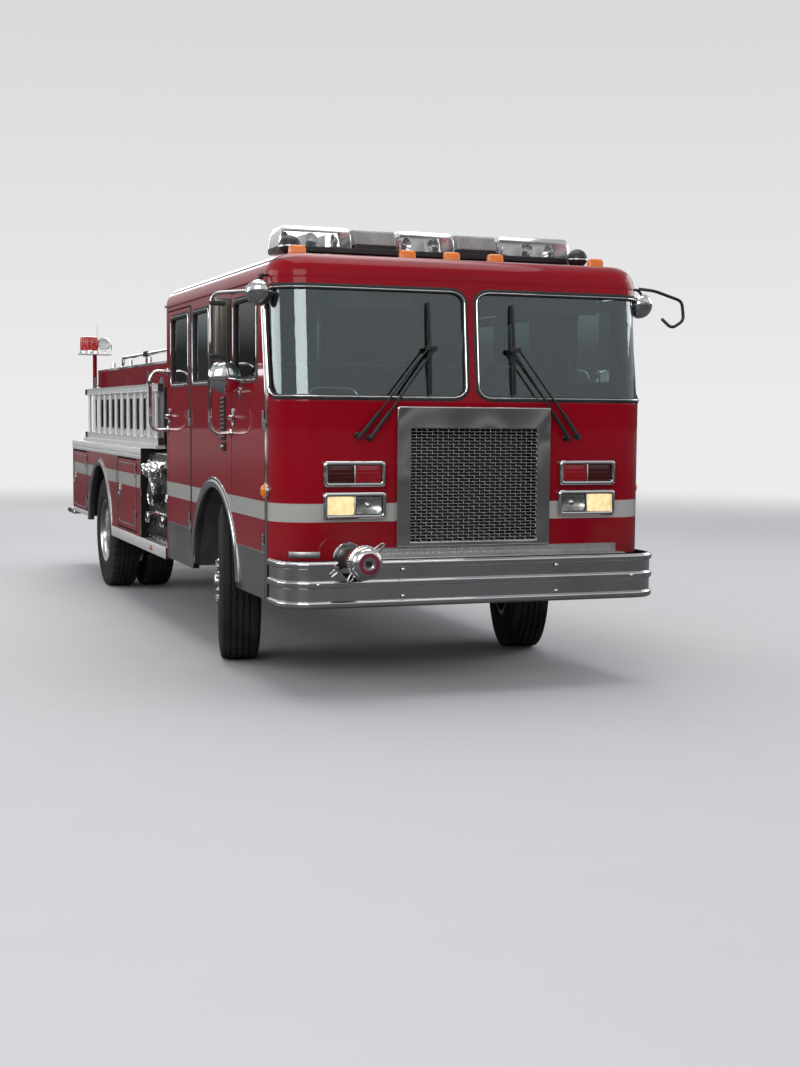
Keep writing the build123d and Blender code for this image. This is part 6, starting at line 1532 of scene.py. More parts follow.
seals = Piece("door_seals", "black_plastic", [black_rubber])
LOCKERS = (("front_locker_door", 0.378, 1.279), ("rear_locker_door", 3.060, 3.960))
for side in (-1, 1):
    for y, bead in ((-1.7345, half_round(0.015, 0.0022, 5, 0.003)), (-1.7540, half_round(0.034, 0.0016, 5, 0.001))):
        seals.add(on_side(side, np.c_[np.full(24, y), np.linspace(0.60, 2.440, 24)], bead, False))
    for _, low, high in LOCKERS:
        ring = window_loop(low - 0.004, high + 0.004, 0.656, 1.284, 0.004)
        seals.add(on_side(side, ring, half_round(0.008, 0.0015, 4, 0.001)))
seals.make()

# %% [markdown]
# ## Wipers
#
# Each arm is a pair of parallel rods on two pivots. The four joints make a parallelogram, so the blade stays upright
# as it sweeps, which is how a flat, tall screen is wiped right into its corners.

# %% Wipers
wipers = Piece("wiper_arms", "black_plastic", [black_plastic, black_rubber], ["wipers"])
PIVOT_Z = 1.547
boss = mm((0, 0.5), (22, 0.5), (22, 6), (15, 12), (14, 40), (8, 48), (0, 49))
clip = mm((3, 36), (0, 39), (0, 50), (4, 54))
squeegee = mm((-4, 12), (4, 12), (3.5, 2), (1, -10), (-1, -10), (-3.5, 2))
for pivot, tip in ((-0.700, -0.275), (0.660, 0.275)):
    toward = math.copysign(1, tip - pivot)
    for low, high, radius in ((-0.036, -0.022, 0.0055), (0.036, 0.022, 0.0075)):
        at = fore(pivot + low, CAB_FACE, PIVOT_Z - 0.006 * toward * low / 0.036)
        wipers.add(turned(boss, at, 20))
        bottom = np.array((pivot + low, CAB_FACE - 0.042, PIVOT_Z))
        top = np.array((tip + high, face_y(2.065) - 0.044, 2.075))
        joint = bottom + 0.28 * (top - bottom) + (0, -0.006, 0)
        wipers.add(swept([bottom, joint, joint + 0.02 * (top - bottom), top], circle(radius, 10), Y))
        sleeve = [bottom - 0.02 * (top - bottom), bottom + 0.10 * (top - bottom), joint]
        wipers.add(swept(sleeve, round_outline(0.024, 0.014, 0.005, 3), Y))
    wipers.add(slab(0.070, 0.030, 0.010, clip, fore(tip, face_y(2.075), 2.075)))
    heights = np.linspace(1.800, 2.352, 24)
    share = np.sin(np.pi * (heights - 1.800) / 0.552)
    blade = np.c_[np.full(24, tip), [face_y(z) for z in heights], heights]
    spine = np.c_[blade[:, 0], blade[:, 1] - 0.012 - 0.018 * share**0.5, heights]
    wipers.add(swept(spine, round_outline(0.010, 0.007, 0.003, 3), Y))
    wipers.add(swept(blade, squeegee, (0, -1, 0)), 1)
wipers.make()

# %% [markdown]
# ## Hose body: top moulding, locker handles and running boards
#
# The body's top edge is capped with a pressed moulding that also stiffens it. Locker doors are pulled open by a
# D-ring that lies in a pressed cup, so nothing catches a hose. The running boards are folded tread plate with a
# smooth edge, closed by a black cap in front, and carry an amber marker.

# %% Body mouldings and handles
moulding = [
    (0.0005, 1.290), (0.0060, 1.291), (0.0078, 1.296), (0.0078, 1.314), (0.0040, 1.318), (0.0040, 1.325),
    (0.0085, 1.330), (0.0085, 1.374), (0.0050, 1.3805), (-0.0300, 1.3810), (-0.0300, 1.3795), (0.0005, 1.3795),
]  # fmt: skip
caps = Piece("body_top_moulding", "polished_steel", [alloy, stainless])
for side in (-1, 1):
    skin = side * (CAB_HALF + 0.0005)
    caps.add(stacked([[(side * (CAB_HALF + off), y, z) for off, z in moulding] for y in (0.176, 4.004)]))
    for y in (0.186, 1.330, 3.000, 3.992):
        caps.add(swept([(skin, y, 0.66), (skin, y, 1.288)], round_outline(0.018, 0.006, 0.002, 2), (side, 0, 0)), 1)
caps.make()

cup = mm((0, 0), (0, 2), (4, 3.5), (14, 3.5), (20, 1), (30, 0.6))
ring = [(x, y, 0.006) for x, y in ((-0.030, 0.030), (0.030, 0.030), (0.030, -0.034), (-0.030, -0.034), (-0.030, 0.028))]
lock = mm((0, 0), (11, 0), (11, 6), (8, 8), (0, 7))
RIDGE_INSET = 0.045
for hand, side in HANDS:
    for door, low, high in LOCKERS:
        finishes = [stainless, chrome, black_rubber]
        pull = Piece(f"{door}_pull_{hand}", "polished_steel", finishes, body=f"{door}_{hand}")
        at = beside(side, side * CAB_HALF, high - 0.110, 0.980)
        pull.add(slab(0.110, 0.130, 0.020, cup, at))
        pull.add(swept(moved(bent(ring, 0.016, 4), at), circle(0.0042, 10), (side, 0, 0)), 1)
        pull.add(turned(lock, at @ place((0, 0.046, 0)), 18), 1)
        ridge = window_loop(low + RIDGE_INSET, high - RIDGE_INSET, 0.660 + RIDGE_INSET, 1.280 - RIDGE_INSET, 0.03)
        pull.add(on_side(side, ridge, half_round(0.010, 0.002, 5, 0.001)))
        pull.make()

board_finishes = [alloy, riser_plate, black_rubber, amber_lens, deck_plate]
boards = Piece("running_board_edges", "tread_plate", board_finishes, ["running_boards"])
BOARD_OUT, BOARD_IN, BOARD_LOW, BOARD_HIGH, BOARD_ENDS = 1.2295, 0.882, 0.5415, 0.6335, (-0.868, 1.588)
# The folded sheet, from its inner edge over the top and round under the rolled lip: how far out, and how high.
fold = (
    (BOARD_IN, BOARD_HIGH - 0.003), (BOARD_IN, BOARD_HIGH), (BOARD_OUT - 0.012, BOARD_HIGH),
    (BOARD_OUT - 0.003, BOARD_HIGH - 0.004), (BOARD_OUT, BOARD_HIGH - 0.012), (BOARD_OUT, BOARD_LOW + 0.010),
    (BOARD_OUT - 0.004, BOARD_LOW + 0.002), (BOARD_OUT - 0.014, BOARD_LOW), (BOARD_OUT - 0.030, BOARD_LOW),
    (BOARD_OUT - 0.030, BOARD_LOW + 0.003), (BOARD_OUT - 0.010, BOARD_LOW + 0.004),
    (BOARD_OUT - 0.005, BOARD_HIGH - 0.012), (BOARD_OUT - 0.014, BOARD_HIGH - 0.004),
)  # fmt: skip
front_cap, rear_cap = mm((0, 0), (0, 6), (3, 8)), mm((0, 0), (0, 4))
lamp_base = mm((0, -1), (0, 1), (2, 3))
lamp_lens = mm((0, 2), (0, 6), (3, 9), (8, 10))
for side in (-1, 1):
    boards.add(stacked([[(side * x, y, z) for x, z in fold] for y in BOARD_ENDS]))
    boards.add(slab(0.330, 2.430, 0.006, mm((0, 0), (1, 0.5)), place((side * 1.052, 0.362, BOARD_HIGH))), 4)
    boards.add(slab(0.346, 0.090, 0.004, front_cap, fore(side * 1.055, BOARD_ENDS[0], 0.5875)), 2)
    boards.add(slab(0.344, 0.088, 0.004, rear_cap, place((side * 1.055, BOARD_ENDS[1], 0.5875), (-1, 0, 0), Z)))
    rub = [(side * (CAB_HALF + 0.0005), y, 0.652) for y in (2.960, 3.998)]
    boards.add(swept(rub, round_outline(0.044, 0.012, 0.003, 2), (side, 0, 0)))
    lamp = beside(side, side * BOARD_OUT, -0.300, 0.588)
    boards.add(slab(0.080, 0.038, 0.010, lamp_base, lamp), 2)
    boards.add(slab(0.068, 0.028, 0.008, lamp_lens, lamp), 3)
boards.make()

# %% [markdown]
# ## Ladder, hose and the hose bed
#
# The ladder is a two-section aluminium one, carried on edge. Its side rails are I-beams and its rungs are fluted
# tubes, so both are profiles carried along a line. The second section nests inside the first, half a rung out of
# step. The hose lies folded on edge in the bed, ready to run off the back: each fold is one flat oval, repeated.

# %% Ladder sections
ladder = Piece("ladder_sections", "ladder_alloy", [alloy, black_rubber], ["ladder"])


def i_beam(width, height):
    """Cross-section of a rail: two flanges joined by a web."""
    web = 0.004
    w, h, t = width / 2, height / 2, web / 2
    below = [(w, -h + 2 * t), (t, -h + 3 * t)]
    right = [(w, -h)] + below + [(x, -z) for x, z in below[::-1]] + [(w, h)]
    return [(-w, -h)] + right + [(-w, h)] + [(-x, z) for x, z in right[4:0:-1]]


a = np.linspace(0, 2 * np.pi, 32, endpoint=False)
fluted = (1 + 0.06 * np.cos(10 * a))[:, None] * circle(1.0, 32)
RUNG_PITCH = 0.320
# x, both ends, low and high rail, a rail's width and height, a rung's radius, and how far the first rung is shifted.
SECTIONS = (
    (-1.100, -0.060, 3.790, 1.441, 1.886, 0.040, 0.062, 0.015, 0.0),
    (-1.048, 0.120, 3.560, 1.500, 1.830, 0.030, 0.050, 0.012, 0.160),
)
for x, start, end, low, high, width, height, radius, shift in SECTIONS:
    for z in (low, high):
        ladder.add(swept([(x, start, z), (x, end, z)], i_beam(width, height)))
        for y in (start, end):
            ladder.add(slab(width + 0.002, height + 0.002, 0.006, mm((0, -4), (0, 4)), fore(x, y, z)), 1)
    places = np.arange(start + RUNG_PITCH / 2 + shift, end - 0.1, RUNG_PITCH)
    foot, head = low + height / 2, high - height / 2
    rung = swept([(0, 0, foot - 0.012), (0, 0, head + 0.012)], fluted * radius, Y)
    ladder.copies(rung, [place((x, y, 0)) for y in places])
    collar = [(radius, 0.0), (radius * 1.5, 0.0), (radius * 1.4, 0.006), (radius, 0.010)]
    for z, way in ((foot, 1), (head, -1)):
        ladder.copies(turned(collar, around=20, closed=True), [place((x, y, z), X, (0, way, 0)) for y in places])
ladder.make()

clamps = Piece("ladder_rack_fittings", "tread_plate", [alloy, black_rubber, chrome, cast_grey])
knob = mm((0, 0), (22, 0), (22, 8), (12, 14), (0, 14))
plate = [(-0.050, 1.384), (0.160, 1.384), (0.120, 1.930), (0.060, 1.975), (-0.010, 1.975), (-0.050, 1.900)]
for y in (0.420, 3.200):
    clamps.add(slab(0.010, 0.110, 0.004, mm((0, 0), (0, 16.5)), place((-1.1225, y - 0.030, 1.975), Y, Z)), 3)
    clamps.add(turned(knob, place((-1.100, y, 1.9445)), 16), 2)
clamps.add(stacked([[(x, y, z) for y, z in plate] for x in (-1.074, -1.066)]), 3)
clamps.make()

# %% Hose folded in the bed, and the bed's edges
canvas_hose = dull("canvas hose", (0.42, 0.36, 0.24), (0.52, 0.46, 0.33), 0.85, 700, 0.0006)
yellow_hose = dull("yellow hose", (0.50, 0.31, 0.03), (0.60, 0.40, 0.06), 0.85, 700, 0.0006)
bed = Piece("folded_hose", "black_plastic", [canvas_hose, yellow_hose, black_rubber])
run = [(0, 0.235, 0), (0, 0.30, 0.004), (0, 3.86, 0.0), (0, 3.93, -0.006)]
fold = swept(run, round_outline(0.030, 0.088, 0.014, 3))
lanes = np.arange(-0.880, 0.890, 0.0335)
wave = 0.006 * np.sin(np.arange(len(lanes)) * 2.4)
for level in range(5):
    yellow = np.abs(lanes - 0.45) < 0.40
    for number, chosen in ((0, ~yellow), (1, yellow)):
        spots = [place((x, 0.004 * level + w, 1.466 + 0.091 * level + w)) for x, w in zip(lanes[chosen], wave[chosen])]
        bed.copies(fold, spots, number)
bed.make()

edges = Piece("hose_bed_edges", "polished_steel", [stainless, black_rubber, chrome])
BED_HALF, BED_TOP = 0.930, 2.121
channel = mm(
    (-23, -20), (-21, 1.5), (21, 1.5), (23, -20), (21.5, -20), (19.5, 0),
    (-19.5, 0), (-21.5, -20),
)  # fmt: skip
socket = mm((0, 0), (30, 0), (30, 4), (20, 8), (18, 60), (0, 62))
for x in (-BED_HALF, BED_HALF):
    edges.add(swept([(x, y, BED_TOP - 0.0005) for y in (0.182, 3.998)], channel))
    for y in (0.30, 1.25, 2.20, 3.15):
        edges.add(turned(socket, place((x, y, BED_TOP)), 20), 2)
edges.add(slab(0.060, 3.20, 0.004, mm((0, 0), (0, 430), (4, 440)), place((-0.02, 2.05, 1.425)), 2))
edges.make()

rails = Piece("grab_rails", "chrome", [chrome, black_rubber, stainless], ["handrails"])
RAIL_Z, RAIL_ENDS = 2.210, (-0.855, 2.600)
foot = mm((0, 0), (36, 0), (35, 5), (20, 10), (0, 11))
for x in (-BED_HALF, BED_HALF):
    bends = zip(np.repeat(RAIL_ENDS, 2), (BED_TOP, RAIL_Z, RAIL_Z, BED_TOP))
    rails.add(swept(bent([(x, y, z) for y, z in bends], 0.055, 8), circle(0.0158, 16), X))
    for y in RAIL_ENDS:
        rails.add(turned(foot, place((x, y, BED_TOP - 0.0005)), 24))
    for y in (0.250, 1.400):
        rails.add(swept([(x, y, BED_TOP), (x, y, 2.205)], circle(0.011, 12), Y))
        rails.add(swept([(x, y - 0.045, RAIL_Z), (x, y + 0.045, RAIL_Z)], round_outline(0.050, 0.050, 0.010, 4)), 1)
rails.make()

# %% [markdown]
# ## Pump panel
#
# Water comes in through the large capped suction and goes out through the smaller capped outlets. Each cap is spun
# brass under chrome with lugs for a spanner. Dials show the pressure at each outlet, and each T-handle pulls a valve
# open. All of them are turned profiles, set out by one list of places that serves both sides.


# %% Caps, dials and handles
def capped(radius, reach, at, piece, ears, number):
    """A screw cap: its profile runs from the middle of the face over a knurled rim back to the flange."""
    r = radius
    steps = ((0, 0.004), (0.18, 0.004), (0.24, 0), (0.40, 0), (0.46, 0.005), (0.80, 0.008), (0.93, 0.014), (1, 0.024))
    face = [(share * r, reach - back) for share, back in steps]
    rim = [(r, reach * 0.45), (0.92 * r, reach * 0.42)]
    neck = [(0.90 * r, 0.014), (1.22 * r, 0.011), (1.25 * r, 0.006), (1.25 * r, 0.0005), (0, 0.0005)]
    piece.add(turned(face + rim + neck, at, 44), number)
    if number:
        band = [(0.90, 0.016), (1.03, 0.022), (1.03, 0.008), (0.93, 0.004)]
        piece.add(turned([(share * r, reach - back) for share, back in band], at, 44, True))
    layers = ((0.002, 0.50), (0, 0.54), (0, 0.76), (0.003, 0.80))
    lug = slab(0.30 * r, 0.24 * r, 0.004, [(inset, share * reach) for inset, share in layers])
    turns = np.linspace(0, 2 * np.pi, ears, endpoint=False) + 0.5
    piece.copies(lug, [spun(at, 1.04 * r, t) for t in turns])
    bolt = turned(mm((0, 11), (7, 11), (7, 15), (0, 17)), around=8)
    turns = np.arange(0, 2 * np.pi, np.pi / 4)
    piece.copies(bolt, [at @ place((1.13 * r * math.cos(t), 1.13 * r * math.sin(t), 0)) for t in turns], 1)


def dial(radius, turn, at, piece):
    """A pressure dial: bright bezel, pale face, ticks over 270 degrees and a pointer. There are no figures on it."""
    r = radius
    bezel = ((1.0, 0.0), (1.12, 0.002), (1.14, 0.010), (1.06, 0.017), (0.96, 0.015), (0.95, 0.006))
    piece.add(turned([(share * r, h) for share, h in bezel], at, 36, True))
    piece.add(turned([(0, 0.004), (0.96 * r, 0.004), (0.96 * r, 0.0045), (0, 0.0046)], at, 36), 2)
    mark = slab(0.05 * r, 0.16 * r, 0.0004, mm((0, 4.6), (0, 5.4)))
    ticks = np.linspace(-0.75 * np.pi, 0.75 * np.pi, 13) + np.pi / 2
    piece.copies(mark, [spun(at, 0.80 * r, t) @ place((0, 0, 0), Y, X) for t in ticks], 3)
    pointer = spun(at, 0, turn) @ place((0, 0.28 * r, 0))
    piece.add(slab(0.07 * r, 0.82 * r, 0.0005, mm((0, 6), (0.2, 6.8)), pointer), 3)
    piece.add(turned([(0, 0.009), (0.09 * r, 0.008), (0.10 * r, 0.005)], at, 14), 3)


dial_face = dull("dial face", (0.62, 0.62, 0.60), (0.70, 0.70, 0.68), 0.4, 200, 0.00002)
# y, z, radius and reach of the plain caps and of the caps on elbows; y, z, radius and pointer's turn of the dials.
CAPS = ((-0.340, 1.030, 0.095, 0.100), (-0.650, 0.820, 0.045, 0.070), (-0.060, 0.820, 0.045, 0.070))
OUTLETS = ((-0.500, 1.240, 0.058, 0.090), (-0.250, 1.240, 0.058, 0.090))
DIALS = (
    (-0.735, 1.165, 0.060, 0.6), (0.030, 1.165, 0.060, -0.4), (-0.790, 1.000, 0.032, 0.9), (-0.700, 1.000, 0.032, 0.2),
    (-0.610, 1.000, 0.032, 0.5), (-0.080, 1.000, 0.032, 1.1), (0.010, 1.000, 0.032, 0.0), (0.100, 1.000, 0.032, 0.7),
)  # fmt: skip
screw = turned(mm((0, 0), (7, 0), (6, 2), (0, 3)), around=8)
stem = mm((0, 0), (17, 0), (16, 6), (7, 10), (6, 45), (0, 46))
knob = mm((0, 0), (9, 0), (9, 10), (16, 12), (17, 20), (12, 26), (0, 27))
cast_dark = dull("painted casting", (0.012, 0.012, 0.013), (0.024, 0.024, 0.026), 0.3, 120, 0.0003)
fitting_finishes = [chrome, stainless, dial_face, black_rubber, red_knob, cast_dark]
for hand, side in HANDS:
    wall, skin, out = side * 1.1503, side * 1.1543, side * 1.1853
    panel = Piece(f"pump_panel_{hand}", "pump_panel", [panel_black, stainless, panel_dark, chrome])
    at = beside(side, wall, -0.3525, 0.992)
    panel.add(slab(1.036, 0.704, 0.008, mm((0, 0), (0, 3), (2, 4)), at))
    frame_path = moved(np.c_[round_outline(1.030, 0.698, 0.006, 2), np.zeros(12)], at)
    panel.add(banded(frame_path, np.tile((side, 0, 0), (12, 1)), half_round(0.018, 0.005, 6)), 1)
    for y in (-0.735, 0.030):
        panel.add(slab(0.200, 0.210, 0.012, mm((0, 3), (0, 6), (2, 8)), beside(side, wall, y, 1.165)), 2)
    spots = [(y, z) for y in np.linspace(-0.852, 0.147, 7) for z in (0.654, 1.290)]
    panel.copies(screw, [beside(side, skin, y, z) for y, z in spots], 3)
    panel.make()

    replaced = ["pump_fittings"] if side < 0 else []
    fittings = Piece(f"pump_caps_and_dials_{hand}", "chrome", fitting_finishes, replaced)
    for y, z, radius, reach in CAPS:
        capped(radius, reach, beside(side, skin, y, z), fittings, 4 if radius > 0.07 else 2, 5)
    for y, z, radius, reach in OUTLETS:
        axis, knee = unit((side, 0, -0.45)), np.array((out, y, z))
        across = np.cross(Y, axis)
        elbow = bent([(wall, y, z), knee, knee + 0.05 * axis], 0.02, 4)
        fittings.add(swept(elbow, circle(radius * 0.86, 28), Y))
        capped(radius, reach, place(knee + 0.020 * axis, across, np.cross(axis, across)), fittings, 2, 0)
    for y, z, radius, turn in DIALS:
        dial(radius, turn, beside(side, wall + side * (0.008 if radius > 0.05 else 0.004), y, z), fittings)
    for k, y in enumerate((-0.520, -0.430, -0.340, -0.250, -0.160)):
        spot = beside(side, skin, y, 0.862)
        fittings.add(turned(stem, spot, 16))
        grip = moved(np.array([(-0.030, 0, 0.048), (0.030, 0, 0.048)]), spot)
        fittings.add(swept(grip, round_outline(0.018, 0.016, 0.007, 3), (side, 0, 0)), 4 if k % 2 else 3)
    for y in np.linspace(-0.780, 0.075, 9):
        fittings.add(turned(knob, beside(side, skin, y, 0.700), 14), 5)
    fittings.make()

# %% Hose laid across in the trays
crosslay = Piece("crosslay_hose", "black_plastic", [canvas_hose, yellow_hose, plain_enamel])
run = [(-0.925, 0, -0.006), (-0.88, 0, 0.0), (0.88, 0, 0.0), (0.925, 0, -0.006)]
lane = swept(run, round_outline(0.090, 0.028, 0.013, 3))
for tray, middle in enumerate((-0.6875, -0.3525, -0.0175)):
    spots = [(0.004 * ((k * 7) % 3 - 1), middle + 0.094 * j, 1.768 + 0.0295 * k) for k in range(10) for j in (-1, 0, 1)]
    crosslay.copies(lane, [place(spot) for spot in spots], tray % 2)
crosslay.make()

# %% [markdown]
# ## Beacons, spotlights and the tail
#
# The beacon's lens is pressed with upright ribs that spread the turning beam sideways. In the formula its radius is
# a circle plus a small cosine of the angle, so the ribs are part of the surface and catch the light. The tail itself
# is hidden in the photograph and follows the type: stacked lamps, grab rails and a wide step.


# %% Ribbed beacons with a spotlight beside each
def ribbed(profile, ribs, depth, matrix):
    """A turned surface whose radius is r + depth * share * cos(ribs * a), with share given for each profile point."""
    r, h, share = np.asarray(profile, float).T[:, :, None]
    a = np.linspace(0, 2 * np.pi, 144, endpoint=False)
    wide = r + depth * share * np.cos(ribs * a)
    points = np.stack([wide * np.cos(a), wide * np.sin(a), h + 0 * a], -1).reshape(-1, 3)
    return moved(points, matrix), [quads(len(profile), 144, False, True)]


beacon_finishes = [red_lens, chrome, alloy, plain_enamel, black_rubber, lamp_glass, warm_core]
beacons = Piece("beacons_and_spotlights", "red_lens", beacon_finishes, ["beacons"])
POST_X, POST_Y, SHELF_Z, SPOT_X, SPOT_Y, SPOT_Z = 1.000, 3.900, 2.295, 0.905, 3.880, 2.395
dome = (
    (0.088, 0.030, 0), (0.089, 0.034, 1), (0.091, 0.100, 1), (0.088, 0.160, 1), (0.082, 0.172, 0.5),
    (0.060, 0.180, 0.2), (0.020, 0.184, 0), (0, 0.184, 0),
)  # fmt: skip
base = mm((0, 0), (98, 0), (99, 6), (96, 26), (93, 32), (86, 33), (0, 33))
core = mm((0, 40), (30, 40), (30, 120), (12, 150), (0, 152))
shelf = mm((3, -12), (0, -10), (0, -2), (3, 0))
shell = mm(
    (0, -75), (25, -73), (45, -60), (60, -35), (67, 0), (72, 10), (72, 20),
    (66, 24), (64, 18),
)  # fmt: skip
glass = mm((0, 24), (40, 22), (65, 17), (64, 12), (0, 12))
for side in (-1, 1):
    at, post, spot_x = place((side * 1.060, POST_Y, SHELF_Z)), side * POST_X, side * SPOT_X
    beacons.add(ribbed(dome, 24, 0.0028, at))
    beacons.add(turned(base, at, 48), 1)
    beacons.add(turned(core, at, 20), 6)
    beacons.add(slab(0.330, 0.240, 0.014, shelf, place((post, POST_Y, SHELF_Z))), 2)
    leg = [(post, POST_Y, z) for z in (LOCKER_TOP + 0.002, SHELF_Z - 0.010)]
    beacons.add(swept(leg, round_outline(0.040, 0.040, 0.008, 4), Y), 3)
    beacons.add(slab(0.110, 0.110, 0.012, mm((0, 0), (0, 8), (2, 10)), place(leg[0])), 1)
    spot = looking((spot_x, SPOT_Y, SPOT_Z), (side * 0.35, -0.80, 0.10))
    beacons.add(turned(shell, spot, 40), 1)
    beacons.add(turned(glass, spot, 32), 5)
    bends = zip((-0.076, -0.076, 0.076, 0.076), (SPOT_Z, 2.318, 2.318, SPOT_Z))
    yoke = bent([(spot_x + off, SPOT_Y, z) for off, z in bends], 0.020, 4)
    beacons.add(swept(yoke, round_outline(0.006, 0.022, 0.002, 2), Y), 1)
    foot = mm((0, 0), (18, 0), (16, 20), (0, 22))
    beacons.add(turned(foot, place((spot_x, SPOT_Y, SHELF_Z)), 18), 1)
    if side < 0:
        beacons.add(swept([(side * 0.960, 3.980, z) for z in (SHELF_Z, 2.34, 2.60)], circle(0.004, 8), Y), 2)
beacons.make()

# %% Tail lamps, grab rails and the rear sheet
def rearward(x, z, y=4.003):
    """Frame of a fitting on the rear face: z out of the back, y up."""
    return place((x, y, z), (-1, 0, 0), Z)


lenses, others = [red_lens, amber_lens, clear_lens], [riser_plate, black_rubber, dial_face, dark_red_lens]
tail = Piece("tail_fittings", "chrome", [chrome, stainless, *lenses, *others])
# Fittings on the sheets start at 4.003, and the sheets themselves at the CAD's rear face.
REAR, RAIL_X, RAIL_HEIGHTS, LAMP_X = 4.0003, 0.780, (1.330, 0.760), 1.095
bezel = mm((0, 0), (1, 8), (6, 13), (13, 11))
lens = mm((0, 5), (0, 12), (4, 17), (12, 20), (30, 21))
foot = mm((0, 0), (30, 0), (29, 5), (16, 10), (0, 11))
reflector = mm((0, 0), (40, 0), (40, 6), (36, 8), (0, 9))
strip = mm((0, 2), (0, 6), (3, 8))
tail.add(slab(1.124, 0.405, 0.004, mm((0, 0), (0, 3), (2, 4)), rearward(0, 1.172, REAR)), 5)
for side in (-1, 1):
    sheet = mm((0, 0), (0, 2), (2, 3))
    tail.add(slab(0.640, 0.735, 0.006, sheet, rearward(side * 0.895, 1.008, REAR)), 1)
    for z, number in ((1.270, 2), (1.145, 3), (1.020, 4)):
        spot = rearward(side * LAMP_X, z)
        tail.add(slab(0.190, 0.112, 0.014, bezel, spot))
        tail.add(slab(0.166, 0.088, 0.010, lens, spot), number)
    bends = zip((4.004, 4.075, 4.075, 4.004), np.repeat(RAIL_HEIGHTS, 2))
    tail.add(swept(bent([(side * RAIL_X, y, z) for y, z in bends], 0.035), circle(0.0125, 14), X))
    for z in RAIL_HEIGHTS:
        tail.add(turned(foot, rearward(side * RAIL_X, z), 20))
    tail.add(turned(reflector, rearward(side * LAMP_X, 0.900), 28), 8)
    for x in (side * 0.640, side * 1.175):
        tail.add(slab(0.018, 0.730, 0.004, strip, rearward(x, 1.008, REAR)))
plate = mm((0, 3), (0, 6), (2, 7))
plate_lamp = mm((0, 3), (0, 20), (6, 26))
latch = mm((0, 3), (0, 6), (4, 10), (16, 6))
tail.add(slab(0.320, 0.170, 0.010, plate, rearward(-0.360, 1.120, REAR)), 7)
tail.add(slab(0.090, 0.026, 0.008, plate_lamp, rearward(-0.360, 1.222, REAR)))
tail.add(slab(0.140, 0.050, 0.014, latch, rearward(0, 1.330, REAR)))
tail.make()

step_finishes = [deck_plate, stainless, dark_red_lens, black_rubber, amber_lens]
step = Piece("tailboard_step", "tread_plate", step_finishes, ["tailboard"])
STEP_Y, STEP_END, STEP_LAMP_Z = 4.2153, 4.4293, 0.613
pan = [(0.004, 0.590), (0.0, 0.594), (0.0, 0.631), (0.003, 0.6355)]
corner_lamp = mm((0, 0), (0, 6), (3, 9), (9, 9))
buffer = mm((0, 0), (0, 3), (2, 4))
middle_lamp = mm((0, 0), (0, 6), (6, 9))
step.add(slab(2.436, 0.4280, 0.012, pan, place((0, STEP_Y, 0))), 1)
step.add(slab(2.400, 0.392, 0.006, [(0, 0.6352), (0.001, 0.6362)], place((0, STEP_Y, 0))))
for side in (-1, 1):
    step.add(slab(0.090, 0.030, 0.008, corner_lamp, rearward(side * 1.120, STEP_LAMP_Z, STEP_END)), 2)
    step.add(slab(0.050, 0.030, 0.004, buffer, beside(side, side * 1.2178, 4.395, STEP_LAMP_Z)), 3)
for x in (-0.150, 0, 0.150):
    step.add(slab(0.070, 0.026, 0.006, middle_lamp, rearward(x, STEP_LAMP_Z, STEP_END)), 2)
step.make()

# %% [markdown]
# ## Inside the cab: seats
#
# Two seats in front and a bench behind, in black vinyl. A stuffed pad is a tight skin round foam: it bulges in the
# middle, is held down where it is sewn and is flat underneath. That is simulated rather than drawn. Each pad starts
# a little small, gets an even skin of small faces, and Blender's Cloth blows it up for twenty frames with its
# underside pinned. Movement is capped, so that the pad stays the size of the seat. The sewn channels are then
# pressed in by a formula, because the even skin would have swallowed anything so narrow.


# %% A pad that swells
MOST_SWELL = 0.022


def press(points, centre, normal, across, lines, width, depth):
    """Channels: points on the padded face sink by depth * exp(-(d / width)^2), d being the distance to a line."""
    place_on = (points - centre) @ across
    facing_out = np.clip(((points - centre) @ normal) / 0.03, 0, 1)
    for line in lines:
        sink = depth * np.exp(-(((place_on - line) / width) ** 2)) * facing_out
        points = points - sink[:, None] * normal
    return points


